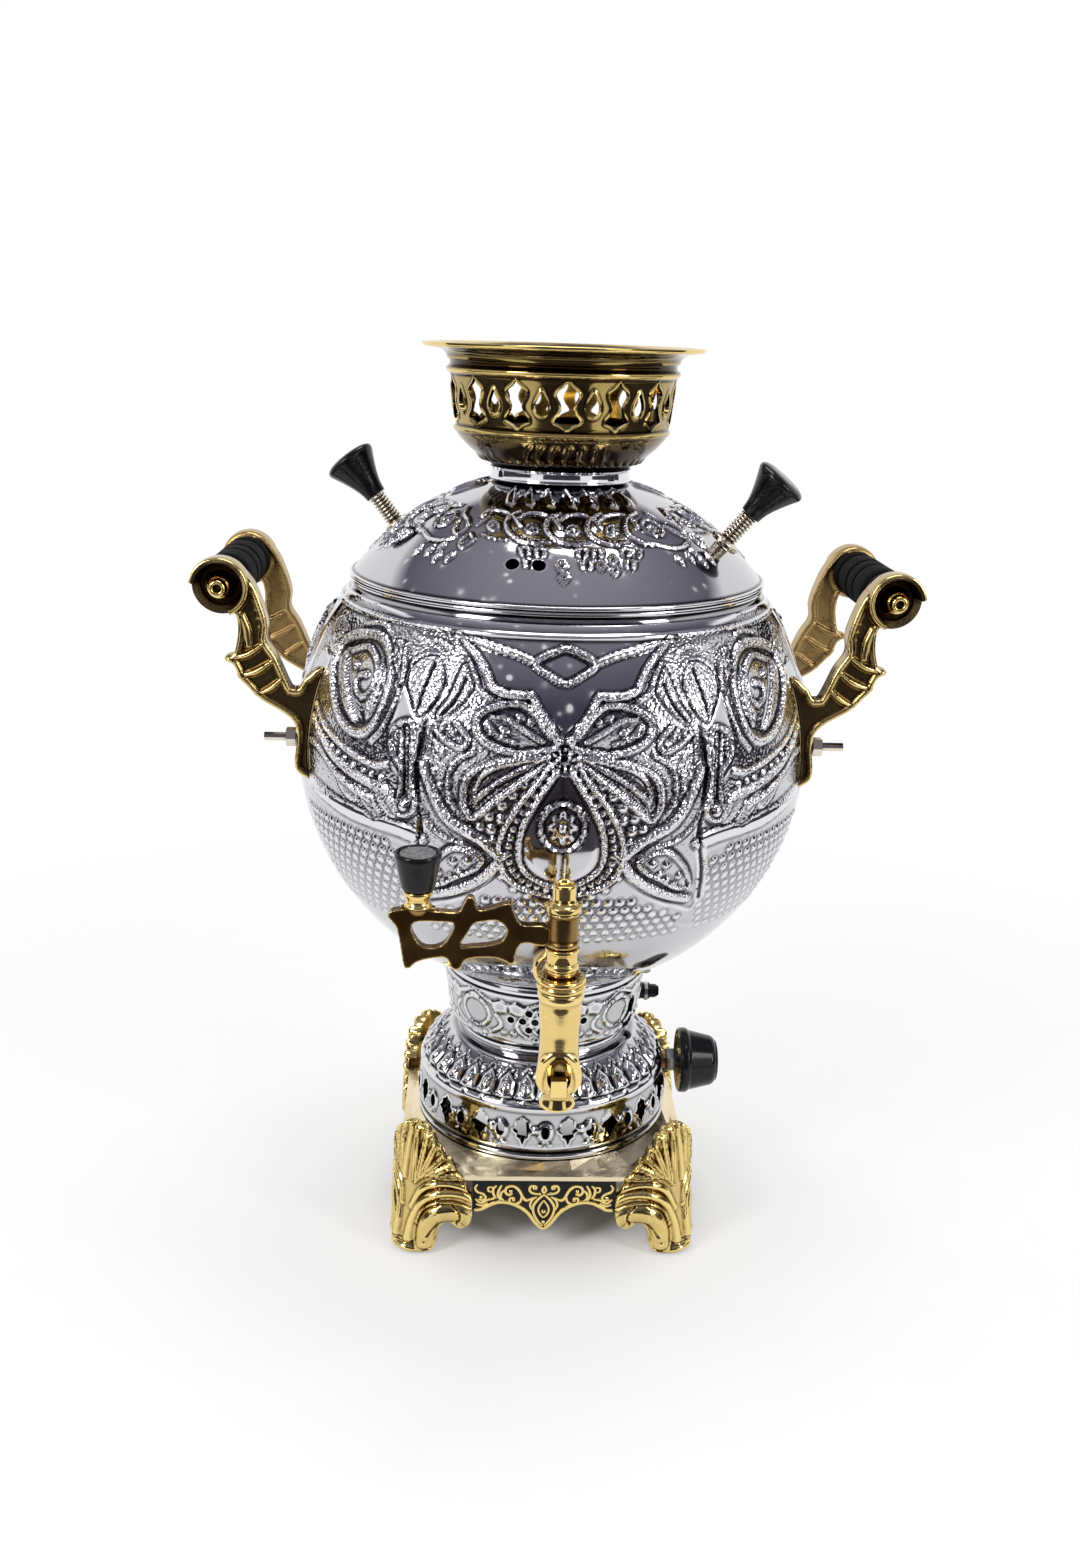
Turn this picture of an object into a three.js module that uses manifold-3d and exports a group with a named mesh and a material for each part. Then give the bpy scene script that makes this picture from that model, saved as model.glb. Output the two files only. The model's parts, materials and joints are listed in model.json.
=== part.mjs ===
// Gas samovar: a round embossed vessel on a pierced foot, with a tap in front, two carrying
// handles, a lift-off lid and a pierced crown that holds a teapot over the flue.
// Lengths are millimetres, +Z is up, the tap points along -Y and the floor is z = 0.

import * as THREE from 'three';
import { mergeGeometries, mergeVertices } from 'three/addons/utils/BufferGeometryUtils.js';
import Module from 'manifold-3d';

const wasm = await Module();
wasm.setup();

const degree = Math.PI / 180;
const fullTurn = 2 * Math.PI;
const halfTurn = Math.PI;
const quarterTurn = Math.PI / 2;

// Driving dimensions

const clearance = 0.3;
const overrun = 5;
const sheet = 1.5;
const mergeDistance = 0.0001;
const flatness = 0.01;

const facets = {
  vessel: 36, crown: 28, skirt: 36, neck: 28, plate: 32, flue: 20, turned: 12, small: 10, hole: 8, hex: 6,
};
const arcSteps = { vesselLow: 6, vesselHigh: 3, vesselInner: 4, lid: 4, lidUnder: 3 };

const plate = {
  half: 77, cornerCut: 26, undersideHeight: 43, edgeHeight: 2.5, rise: 7, seatRadius: 69.5,
  holeRadius: 44,
};
const plateWaistShare = 0.5;
const plateWaistHeightShare = 0.3;

const foot = {
  wingWidth: 34.2, wingDepth: 8, wingInset: 5, overhang: 2, cornerOffset: 7, legRadius: 9,
  legHalfWidth: 10.5, leafRise: 30,
};
const apron = { height: 30, thickness: 2.5, sideGap: 0.5 };

const skirt = { radius: 70, height: 49.7 };
const skirtPitches = 18;
const skirtStar = { width: 11, height: 14 };
const skirtOval = { width: 5.4, height: 7.6 };
const skirtBandShare = 0.36;

const neck = { radius: 54.5, height: 41.5 };
const neckHole = { radius: 2, pitch: 6.7, rowPitch: 5 };
const neckHoleRows = [4, 7, 4];
const neckHoleShare = 0.54;
const neckWindow = { width: 8, height: 10 };
const neckWindowShare = 0.52;
const neckWindowTurn = 61 * degree;

const vessel = { radius: 132, rimRise: 2.7, beadHeight: 2, beadReach: 1.4, lipWidth: 4.8 };
const vesselRimAngle = 128.7 * degree;

const rib = { height: 1.15, root: 1.3, width: 4.6 };
const ribPitchShare = 0.086;
const butterflyTurns = [0, 180].map((turn) => turn * degree);
const scrollPlaces = [[52, -1], [-52, 1], [128, 1], [-128, -1]];
const lidScrollCount = 16;
const lidPetalCount = 21;
const seamFillet = { share: 0.605, width: 3, height: 0.9 };

const flue = { radius: 28, wall: 1, bottomDrop: 4, topGap: 2.8 };

const lid = {
  lift: 4.5, beadHeight: 2, seatGap: 0.4, skirtHeight: 7.6, skirtWall: 1.4, skirtClearance: 0.6, holeGap: 3,
  ventRadius: 3.2,
};
const lidTurn = -13 * degree;
const lidVentTurn = 5 * degree;
const lidVentPitch = 8 * degree;
const lidVentShare = 0.42;
const collar = { wall: 3.5, height: 6.4, beadReach: 1.1 };

const lidKnob = {
  stemLength: 17.5, stemRadius: 3, beadRadius: 4.6, flangeRadius: 7.5, flangeHeight: 3, length: 24.7,
  headRadius: 13.2,
};
const lidKnobTilt = 39.4 * degree;
const lidStemBeads = 3;

const crown = {
  rimRadius: 69, height: 57.2, wall: 1.3, rimFlat: 3.4, sleeveDepth: 14, sleeveWall: 1, sleeveGap: 0.7,
  floorWall: 1.4,
};
const crownPitches = 14;
const crownHoleShares = {
  bandLow: 0.34, bandHigh: 0.745, width: 0.48, height: 0.94, dropWidth: 0.27, dropHeight: 0.52,
};

const tap = {
  length: 61.56, drop: 82, pipeRadius: 7.5, boreRadius: 4, bossRadius: 11, bossLength: 15, barrelRise: 13.6,
  spoutDrop: 44.3, trunkRadius: 9.8, plugSeatDrop: 17, plugSeatRadius: 5.2, plugTopRadius: 5.7,
  flatWidth: 7.4, flatHeight: 12, flatReach: 10.6, flatDrop: 34,
};
const gland = { radius: 10.8, height: 6 };
const plug = {
  height: 42.5, capRadius: 6.3, ringRadius: 7.6, collarHeight: 3.8, stemRadius: 5.7, portRadius: 2.4,
  wellRadius: 3, wellRise: 5,
};
const lever = { length: 68, height: 34.5, thickness: 5.5, gap: 2.2, hubRadius: 7.3 };
const leverHubShares = { low: 0.345, high: 0.79 };
const tapKnob = {
  offset: 62.5, ferruleHeight: 7.6, ferruleRadius: 6.8, height: 17, radius: 10.2, dishDepth: 0.8,
};

const handle = {
  gripReach: 30, gripRise: 90, rootDepth: 20, rootDrop: 6, gripLength: 77.4, armDepth: 12, cupRadius: 14.2,
  cupRimRadius: 13.4, cupDepth: 15, cupWall: 2.6, cupFloor: 3, gripRadius: 12, rodRadius: 2.5,
};
const gripNut = { radius: 7.4, length: 13.2, wall: 3.4 };
const stud = { radius: 2.2, length: 15.5, nutRadius: 4.9, nutLength: 4.6, rise: 16, shank: 4 };

const gasHeightShare = 0.497;
const gasKnob = { radius: 18.4, length: 22, gap: 1.3, hubRadius: 5, recessDepth: 2 };
const collarNut = { radius: 7, length: 5.4 };
const spindle = { radius: 3, valveDepth: 3.5, knobDepth: 6.5 };
const valve = { radius: 8, length: 15.5, noseRadius: 5, sideOffset: 6.5, sideRadius: 4.6, sideReach: 13 };
const venturi = { radius: 6.2, mouthRadius: 8.4, wall: 1.2, burnerGap: 0.6, valveGap: 3 };
const burner = {
  headRise: 38.6, headHeight: 14, headRadius: 31, stemRadius: 9, capRadius: 24, capTopRadius: 19.2,
  capHeight: 3, barWidth: 18, barThickness: 2.5, barEndGap: 3.7,
};
const inlet = {
  noseRadius: 5, noseLength: 18.3, flangeRadius: 7, flangeLength: 4, tailRadius: 4.6, grooveRadius: 3.7,
  tailLength: 26, boreRadius: 2.4, boreDepth: 37.7,
};
const inletBarbs = 3;
const gasPipe = { radius: 2.6, bend: 26 };

const igniterHeightShare = 0.354;
const igniter = {
  offset: 6, radius: 4.6, gap: 0.6, length: 6.8, shankRadius: 3.6, shankLength: 9.4, bandRadius: 5.4,
  bandGap: 3.8, bandLength: 1.8, boreRadius: 4.1, boreDepth: 4.2, buttonRadius: 3.8, buttonLength: 6,
  buttonInset: 0.9, buttonTipRadius: 2.7,
};
const boot = { radius: 5.3, tipRadius: 3.2, length: 12.5, tipLength: 2.6 };
const bootTilt = 147.4 * degree;
const bootTurn = 6 * degree;
const neckScrewShare = 0.74;
const neckScrew = { radius: 2.6, tipRadius: 1.6, edgeLength: 2.8, length: 4.6 };

// Outlines as shares of a radius or width and of a height

const skirtShares = [
  [0.974, 0], [0.987, 0.05], [1, 0.17], [0.965, 0.54], [0.95, 0.63], [0.88, 0.74], [0.786, 0.92],
];
const skirtInnerRows = [0, 2, 3, 5, 6, 7];
const skirtShoulderRow = 5;
const starShares = [
  [0, -0.5], [0.2, -0.2], [0.5, -0.05], [0.26, 0.4], [0, 0.5], [-0.26, 0.4], [-0.5, -0.05], [-0.2, -0.2],
];
const neckShares = [[0.853, 0], [0.853, 0.1], [0.94, 0.19], [0.955, 0.32], [0.99, 0.72], [1, 1]];
const neckInnerRows = [0, 2, 4, 5];
const crownShares = [
  [0.5, 0], [0.638, 0.13], [0.76, 0.28], [0.775, 0.31], [0.764, 0.335], [0.8, 0.745], [0.826, 0.775],
  [0.826, 0.815], [0.812, 0.84], [0.85, 0.93], [1, 0.975],
];
const crownBandRow = 4;
const crownInnerRows = [1, 2, 4, 5, 9];
const chaliceShares = [
  [0, -0.5], [0.5, -0.34], [0.24, -0.06], [0.42, 0.26], [0, 0.5], [-0.42, 0.26], [-0.24, -0.06],
  [-0.5, -0.34],
];
const dropShares = [
  [0, -0.5], [0.4, -0.36], [0.5, -0.12], [0.26, 0.2], [0, 0.5], [-0.26, 0.2], [-0.5, -0.12], [-0.4, -0.36],
];
const wingShares = [
  [1, 0], [0.65, 0], [0.6, 0.15], [0.46, 0.28], [0.2, 0.215], [0.07, 0.24], [0, 0.34], [0, 0.5],
  [0.15, 0.58], [0.47, 0.67], [0.72, 0.83], [1, 0.96],
];
// Each row of the leg: height, distance out along the diagonal, and its two half widths.
const legShares = [
  [0, 1.015, 1.2, 1.15], [0.12, 1.025, 1.25, 1.2], [0.4, 0.995, 0.95, 0.95], [0.75, 0.98, 0.85, 1],
  [0.93, 0.98, 0.6, 0.75], [1, 0.98, 0.2, 0.3],
];
const apronShares = [
  [0, 0], [0.13, 0.13], [0.29, 0.4], [0.58, 0.545], [0.83, 0.46], [0.98, 0.4], [1, 0.68], [1, 1],
];
const lidKnobShares = [
  [0.42, 0], [0.44, 0.12], [0.56, 0.34], [0.8, 0.62], [0.98, 0.8], [1, 0.87], [0.9, 0.95], [0.45, 1],
];
const trunkShares = [
  [0.75, 0], [0.82, 0.04], [0.68, 0.12], [0.72, 0.16], [0.98, 0.24], [1, 0.36], [0.96, 0.46], [0.88, 0.62],
  [0.9, 0.93], [1.06, 0.96], [1.06, 1],
];
const glandShares = [[1, 0], [1, 0.33], [0.91, 0.5], [1, 0.67], [0.66, 1]];
const plugShares = [
  [0.75, 0.02], [0.98, 0.05], [0.98, 0.12], [0.75, 0.15], [0.75, 0.2], [0.98, 0.22], [0.98, 0.27],
  [0.75, 0.3],
];
const leverShares = [
  [0, 0.72], [0.02, 0.785], [0.115, 0.82], [0.45, 0.785], [0.48, 0.915], [0.515, 1], [0.55, 0.93],
  [0.57, 0.81], [0.73, 0.9], [0.78, 0.9], [0.79, 0.75], [0.85, 0.62], [0.93, 0.58], [0.93, 0.35],
  [0.87, 0.385], [0.81, 0.3], [0.8, 0.12], [0.775, 0.1], [0.73, 0.157], [0.62, 0.19], [0.485, 0.157],
  [0.44, 0], [0.4, 0.055], [0.375, 0.177], [0.22, 0.14], [0.16, 0.067], [0.113, 0.01], [0.09, 0.09],
  [0.057, 0.57], [0.025, 0.65],
];
const leverOpeningShares = [
  [[0.15, 0.63], [0.425, 0.63], [0.4, 0.52], [0.363, 0.354], [0.287, 0.296], [0.218, 0.32], [0.171, 0.426]],
  [[0.53, 0.65], [0.71, 0.675], [0.753, 0.54], [0.725, 0.39], [0.46, 0.32], [0.47, 0.417]],
];
const leverSeatRow = 2;
const ferruleShares = [[0.7, 0], [0.56, 0.2], [0.56, 0.4], [1, 0.8], [1, 1]];
const tapKnobShares = [
  [0.64, 0], [0.72, 0.1], [0.86, 0.42], [0.95, 0.72], [1, 0.9], [1, 0.97], [0.95, 1], [0.84, 1],
];
const tapKnobDishShare = 0.82;
const armShares = [
  [0, 0], [0.245, 0], [0.245, 0.23], [0.5, 0.35], [0.61, 0.42], [0.655, 0.45], [0.69, 0.51], [0.766, 0.545],
  [0.695, 0.56], [0.655, 0.65], [0.655, 0.73], [0.7, 0.78], [0.9, 0.84], [0.72, 1], [0.56, 0.92],
  [0.485, 0.82], [0.44, 0.715], [0.45, 0.63], [0.375, 0.55], [0.265, 0.4], [0.2, 0.46], [0.14, 0.53],
  [0, 0.53],
];
const gripShares = [[0.92, 0], [1, 0.06], [1, 0.24], [0.88, 0.28], [1, 0.32], [1, 0.5]];
const gripNutShares = [[1, 0], [1, 0.14], [0.55, 0.72], [0.38, 0.82], [0.34, 1]];
const gasKnobShares = [[0.94, 0], [1, 0.07], [1, 0.18], [0.95, 0.2], [0.74, 0.93], [0.66, 1]];

// Embossed ribs on the vessel and the lid. Each line is drawn on a sphere as [across, up] in shares of
// its radius, counted from the panel's middle and from the height of the sphere's centre.

// One half of the butterfly panel, which the other half mirrors
const butterflyRibs = [
  // curtain
  {
    closed: false,
    line: [
      [0.354, 0.577], [0.322, 0.538], [0.287, 0.496], [0.266, 0.458], [0.245, 0.415], [0.2, 0.399],
      [0.136, 0.395], [0.116, 0.4], [0.095, 0.357], [0.064, 0.311], [0.016, 0.249],
    ],
  },
  // swag
  { closed: false, line: [[0.379, 0.583], [0.302, 0.573], [0.242, 0.558], [0.169, 0.538], [0.102, 0.511]] },
  // wing
  {
    closed: true,
    line: [
      [0.027, 0.237], [0.07, 0.217], [0.133, 0.206], [0.198, 0.21], [0.263, 0.233], [0.3, 0.268],
      [0.297, 0.316], [0.256, 0.347], [0.199, 0.367], [0.143, 0.368], [0.104, 0.341], [0.064, 0.288],
    ],
  },
  // lower wing
  {
    closed: false,
    line: [
      [0.054, 0.196], [0.133, 0.19], [0.213, 0.173], [0.278, 0.148], [0.328, 0.111], [0.345, 0.06],
      [0.344, 0.01], [0.318, -0.03],
    ],
  },
  // petal
  {
    closed: false,
    line: [
      [0.054, 0.181], [0.116, 0.127], [0.18, 0.075], [0.236, 0.03], [0.285, -0.017], [0.31, -0.033],
    ],
  },
  // drop
  {
    closed: false,
    line: [
      [0.046, 0.173], [0.084, 0.112], [0.131, 0.053], [0.17, -0.008], [0.202, -0.07], [0.217, -0.133],
      [0.208, -0.198], [0.182, -0.25], [0.133, -0.284], [0.068, -0.308], [0.015, -0.326],
    ],
  },
  // side band
  {
    closed: false,
    line: [
      [0.5, 0.129], [0.47, 0.061], [0.431, -0.011], [0.386, -0.058], [0.333, -0.083], [0.28, -0.11],
      [0.242, -0.14],
    ],
  },
  // low band
  {
    closed: false,
    line: [
      [0.205, -0.167], [0.25, -0.235], [0.318, -0.299], [0.405, -0.348], [0.485, -0.379],
    ],
  },
  // spike
  {
    closed: true,
    line: [
      [0.272, -0.194], [0.296, -0.163], [0.348, -0.151], [0.402, -0.163], [0.462, -0.236],
      [0.485, -0.314], [0.432, -0.318], [0.36, -0.269], [0.302, -0.233],
    ],
  },
  // leaf
  {
    closed: true,
    line: [
      [0.555, 0.344], [0.572, 0.394], [0.557, 0.455], [0.504, 0.5], [0.441, 0.503], [0.418, 0.455],
      [0.43, 0.392], [0.464, 0.332], [0.518, 0.286],
    ],
  },
  // lobe
  { closed: false, line: [[0.442, 0.282], [0.399, 0.309], [0.348, 0.355], [0.311, 0.414], [0.324, 0.47]] },
];

// A scroll panel, with its right side towards the nearer butterfly
const scrollRibs = [
  // oval
  {
    closed: true,
    line: [
      [0.039, 0.538], [0.136, 0.485], [0.186, 0.402], [0.186, 0.303], [0.148, 0.216], [0.075, 0.186],
      [-0.027, 0.22], [-0.117, 0.303], [-0.167, 0.409], [-0.121, 0.5],
    ],
  },
  // outer arch
  {
    closed: false,
    line: [
      [-0.061, 0.561], [0.045, 0.583], [0.167, 0.53], [0.227, 0.455], [0.242, 0.348], [0.212, 0.235],
    ],
  },
  // inner curl
  {
    closed: false,
    line: [
      [-0.068, 0.462], [0.015, 0.489], [0.091, 0.447], [0.117, 0.375], [0.083, 0.318], [0.03, 0.33],
      [0.019, 0.379],
    ],
  },
  // stem
  {
    closed: true,
    line: [
      [0.273, 0.25], [0.333, 0.265], [0.36, 0.159], [0.371, 0.045], [0.383, -0.023], [0.341, -0.064],
      [0.292, -0.053], [0.314, 0.008], [0.318, 0.106], [0.277, 0.152], [0.258, 0.205],
    ],
  },
  // upper fan
  { closed: false, line: [[-0.182, 0.201], [-0.106, 0.159], [0, 0.125], [0.106, 0.102], [0.197, 0.091]] },
  // middle fan
  {
    closed: false,
    line: [
      [-0.182, 0.148], [-0.061, 0.083], [0.061, 0.045], [0.167, 0.026], [0.25, 0.015],
    ],
  },
  // lower fan
  {
    closed: false,
    line: [
      [-0.182, 0.076], [-0.136, 0.068], [-0.03, 0.023], [0.076, -0.011], [0.167, -0.034],
    ],
  },
  // foot arch
  {
    closed: false,
    line: [
      [-0.182, -0.078], [-0.102, -0.087], [0.029, -0.106], [0.167, -0.114], [0.288, -0.117],
      [0.394, -0.136],
    ],
  },
];

// One scroll of the band on the lid
const lidScrollRibs = [
  // loop
  { closed: false, line: [[-0.08, 1.068], [-0.045, 1.102], [0.008, 1.106], [0.049, 1.076], [0.072, 1.03]] },
  // curl
  { closed: false, line: [[0.072, 1.11], [0.027, 1.053], [0.038, 0.985]] },
];

// One slanted petal round the lid's collar
const lidPetalRibs = [
  // petal
  { closed: false, line: [[0.008, 1.288], [0.026, 1.212], [0.034, 1.159]] },
];

// Seats and heights that follow from the driving dimensions

const plateTopZ = plate.undersideHeight + plate.rise;
const cornerReach = 2 * plate.half - plate.cornerCut;
const wingOuter = plate.half - foot.wingInset;
const wingInner = wingOuter - foot.wingWidth;
const apronHalf = wingInner - apron.sideGap;
const skirtFootRadius = skirt.radius * skirtShares[0][0];
const shoulderX = skirt.radius * skirtShares[skirtShoulderRow][0] - clearance;
const skirtZ = plateTopZ + clearance;
const neckZ = skirtZ + skirt.height + clearance;
const neckFootRadius = neck.radius * neckShares[0][0];
const neckInnerRadius = neck.radius - sheet;
const vesselZ = neckZ + neck.height + clearance;
const centreZ = vesselZ + Math.sqrt(vessel.radius ** 2 - neckInnerRadius ** 2);
const rimRadius = vessel.radius * Math.sin(vesselRimAngle);
const mouthZ = centreZ - vessel.radius * Math.cos(vesselRimAngle) + vessel.rimRise;
const mouthRadius = rimRadius - vessel.lipWidth;
const beadRadius = rimRadius + vessel.beadReach;
const flueHoleRadius = flue.radius + clearance;
const lidCentreZ = centreZ + lid.lift;
const lidHoleRadius = flue.radius + lid.holeGap;
const collarZ = lidCentreZ + Math.sqrt(vessel.radius ** 2 - lidHoleRadius ** 2) + clearance;
const crownZ = collarZ + collar.height + clearance;
const pipeZ = centreZ - tap.drop;
const wallY = Math.sqrt(vessel.radius ** 2 - tap.drop ** 2);
const tapY = wallY + tap.length;
const barrelTopZ = pipeZ + tap.barrelRise;
const glandTopZ = barrelTopZ + clearance + gland.height;
const leverZ = glandTopZ + lever.gap;
const rootX = vessel.radius - handle.rootDepth;
const rootZ = centreZ - handle.rootDrop;
const gripX = vessel.radius + handle.gripReach;
const gripZ = rootZ + handle.gripRise;
const studZ = rootZ + stud.rise;
const armInner = handle.gripLength / 2 + clearance;
const armMiddle = armInner + handle.armDepth / 2;
const gasZ = skirtZ + skirt.height * gasHeightShare;
const valveNoseX = skirt.radius;
const collarNutX = valveNoseX + clearance;
const gasKnobX = collarNutX + collarNut.length + gasKnob.gap;
const flueHoleAngle = Math.asin(flueHoleRadius / vessel.radius);
const barTopZ = plateTopZ + clearance + burner.barThickness;

// Materials, as seen in the photograph

function material(color, roughness, metalness) {
  return new THREE.MeshStandardMaterial({ color, roughness, metalness });
}

const chrome = material(0xc9ccd2, 0.12, 1);
const brass = material(0xc79a3e, 0.22, 1);
const blackPanel = material(0x141210, 0.5, 0.2);
const bakelite = material(0x0c0c0d, 0.25, 0);
const nickel = material(0xb9ac92, 0.25, 1);
const steel = material(0x6d6d72, 0.4, 1);
const castIron = material(0x34322f, 0.7, 0.6);
const rubber = material(0x101010, 0.8, 0);

// Geometry helpers

// One closed body with merged corners and outward faces, from any closed geometry.
function closedBody(source) {
  const bare = new THREE.BufferGeometry();
  bare.setAttribute('position', source.getAttribute('position').clone());
  if (source.index) bare.setIndex(source.index.clone());
  const merged = mergeVertices(bare, mergeDistance);
  const corners = [0, 1, 2].map(() => new THREE.Vector3());
  const index = merged.index.array;
  const kept = [];
  let volume = 0;
  for (let i = 0; i < index.length; i += 3) {
    const [a, b, c] = [index[i], index[i + 1], index[i + 2]];
    if (a === b || b === c || c === a) continue;
    corners.forEach((corner, k) => corner.fromBufferAttribute(merged.attributes.position, index[i + k]));
    volume += corners[0].dot(corners[1].clone().cross(corners[2]));
    kept.push(a, b, c);
  }
  if (volume < 0) {
    for (let i = 0; i < kept.length; i += 3) [kept[i + 1], kept[i + 2]] = [kept[i + 2], kept[i + 1]];
  }
  merged.setIndex(kept);
  return merged;
}

function solidOf(geometry) {
  const body = closedBody(geometry);
  return new wasm.Manifold(new wasm.Mesh({
    numProp: 3,
    vertProperties: new Float32Array(body.attributes.position.array),
    triVerts: new Uint32Array(body.index.array),
  }));
}

// The solid's surface, with the faces that a cut split in one plane joined again.
function geometryOf(solid) {
  const mesh = solid.asOriginal().simplify(flatness).getMesh();
  const geometry = new THREE.BufferGeometry();
  geometry.setAttribute('position', new THREE.BufferAttribute(new Float32Array(mesh.vertProperties), 3));
  geometry.setIndex(Array.from(mesh.triVerts));
  return geometry;
}

function joined(...geometries) {
  return geometryOf(geometries.map(solidOf).reduce((sum, solid) => sum.add(solid)));
}

function cut(geometry, ...cutters) {
  return geometryOf(cutters.map(solidOf).reduce((rest, solid) => rest.subtract(solid), solidOf(geometry)));
}

// Cutters that don't touch each other, as one geometry.
function together(geometries) {
  return mergeGeometries(geometries.map((geometry) => {
    const plain = geometry.index ? geometry.toNonIndexed() : geometry.clone();
    plain.deleteAttribute('normal');
    plain.deleteAttribute('uv');
    return plain;
  }));
}

// A turned body about +Z from [radius, z] points that start and end on the axis.
function turned(points, segments) {
  const profile = points.map(([radius, z]) => new THREE.Vector2(radius, z));
  return closedBody(new THREE.LatheGeometry(profile, segments).rotateX(quarterTurn));
}

// A turned body that fills a profile from its foot to its top.
function filled(profile, segments) {
  const last = profile[profile.length - 1];
  return turned([[0, profile[0][1]], ...profile, [0, last[1]]], segments);
}

// A turned ring about +Z whose profile closes on itself.
function ring(points, segments) {
  return turned([...points, points[0]], segments);
}

function rod(radius, low, high, segments) {
  return filled([[radius, low], [radius, high]], segments);
}

function tube(radius, innerRadius, low, high, segments) {
  return ring([[innerRadius, low], [radius, low], [radius, high], [innerRadius, high]], segments);
}

// Shares of a width and a height, as [x, z] points from a corner.
function scaled(shares, width, height, x = 0, z = 0) {
  return shares.map(([u, v]) => [x + u * width, z + v * height]);
}

// The radius that a profile of shares has at a share of its height.
function radiusAt(shares, radius, heightShare) {
  const next = shares.findIndex((share) => share[1] > heightShare);
  const [[lowRadius, low], [highRadius, high]] = [shares[next - 1], shares[next]];
  return radius * (lowRadius + ((highRadius - lowRadius) * (heightShare - low)) / (high - low));
}

// Points moved sideways by a wall, towards the axis for a profile that runs upwards.
function inset(points, wall) {
  return points.map((point, i) => {
    const before = points[Math.max(i - 1, 0)];
    const after = points[Math.min(i + 1, points.length - 1)];
    const along = new THREE.Vector2(after[0] - before[0], after[1] - before[1]).normalize();
    return [point[0] - along.y * wall, point[1] + along.x * wall];
  });
}

// Chosen rows of a profile's inner face, from its top down.
function innerFace(outer, wall, rows) {
  const face = inset(outer, wall);
  return rows.map((row) => face[row]).reverse();
}

// A shape from [x, y] points, wound anticlockwise so that holes cut in it stay open.
function shapeOf(points) {
  const outline = points.map(([x, y]) => new THREE.Vector2(x, y));
  return new THREE.Shape(THREE.ShapeUtils.isClockWise(outline) ? outline.reverse() : outline);
}

function ellipsePoints(width, height, count) {
  return Array.from({ length: count }, (_, i) => {
    const angle = (fullTurn * i) / count;
    return [(Math.cos(angle) * width) / 2, (Math.sin(angle) * height) / 2];
  });
}

// An outline in X and Z, pushed along -Y from a start to an end distance in front of the axis.
function slab(shape, near, far) {
  const solid = new THREE.ExtrudeGeometry(shape, { depth: far - near, bevelEnabled: false });
  return solid.rotateX(quarterTurn).translate(0, -near, 0);
}

// A hole cutter whose outline is centred on height z and faces outwards at an angle from -Y.
function radialCutter(points, z, near, far, angle) {
  return slab(shapeOf(points), near, far).translate(0, 0, z).rotateZ(angle);
}

// The same cutter at evenly spaced angles; the offset is a share of the pitch.
function cutterRing(points, z, near, far, count, offset) {
  return Array.from({ length: count }, (_, i) =>
    radialCutter(points, z, near, far, (fullTurn * (i + offset)) / count));
}

// The side faces between rings of equal length, each joined to the next.
function bands(rings, closed) {
  const count = rings[0].length;
  const index = [];
  for (let r = 0; r < (closed ? rings.length : rings.length - 1); r += 1) {
    const next = (r + 1) % rings.length;
    for (let i = 0; i < count; i += 1) {
      const j = (i + 1) % count;
      const [a, b, c, d] = [r * count + i, r * count + j, next * count + j, next * count + i];
      index.push(a, b, c, a, c, d);
    }
  }
  return index;
}

function bodyOf(rings, index) {
  const geometry = new THREE.BufferGeometry();
  const positions = rings.flat().flatMap((point) => point.toArray());
  geometry.setAttribute('position', new THREE.Float32BufferAttribute(positions, 3));
  geometry.setIndex(index);
  return closedBody(geometry);
}

// A closed body between rings; the last ring joins the first.
function ringLoop(rings) {
  return bodyOf(rings, bands(rings, true));
}

// A closed body between rings, with a flat cap on the first and the last.
function closedLoft(rings) {
  const count = rings[0].length;
  const last = (rings.length - 1) * count;
  const index = bands(rings, false);
  for (let i = 1; i + 1 < count; i += 1) {
    index.push(0, i + 1, i, last, last + i, last + i + 1);
  }
  return bodyOf(rings, index);
}

function named(name, geometry, finish) {
  const mesh = new THREE.Mesh(closedBody(geometry), finish);
  mesh.name = name;
  return mesh;
}

function placed(object, x, y, z) {
  object.position.set(x, y, z);
  return object;
}

// Vessel

// Points on a sphere about the vessel's axis, at angles counted from its lowest point.
function sphereArc(radius, from, to, steps, middleZ) {
  return Array.from({ length: steps + 1 }, (_, i) => {
    const angle = from + ((to - from) * i) / steps;
    return [radius * Math.sin(angle), middleZ - radius * Math.cos(angle)];
  });
}

// The vessel's outer profile from the flue's hole to the rim, grown by a margin.
function vesselProfile(margin) {
  const radius = vessel.radius + margin;
  return [
    ...sphereArc(radius, flueHoleAngle, quarterTurn, arcSteps.vesselLow, centreZ),
    ...sphereArc(radius, quarterTurn, vesselRimAngle, arcSteps.vesselHigh, centreZ).slice(1),
  ];
}

function vesselEnvelope() {
  return filled(vesselProfile(clearance), facets.vessel);
}

// A point over the vessel's sphere, from shares drawn on a panel that is turned from the front.
function onSphere(across, up, turn, over, middleZ) {
  const radius = vessel.radius + over;
  const longitude = turn + across / Math.cos(up);
  const reach = radius * Math.cos(up);
  return new THREE.Vector3(
    reach * Math.sin(longitude), -reach * Math.cos(longitude), middleZ + radius * Math.sin(up));
}

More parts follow.
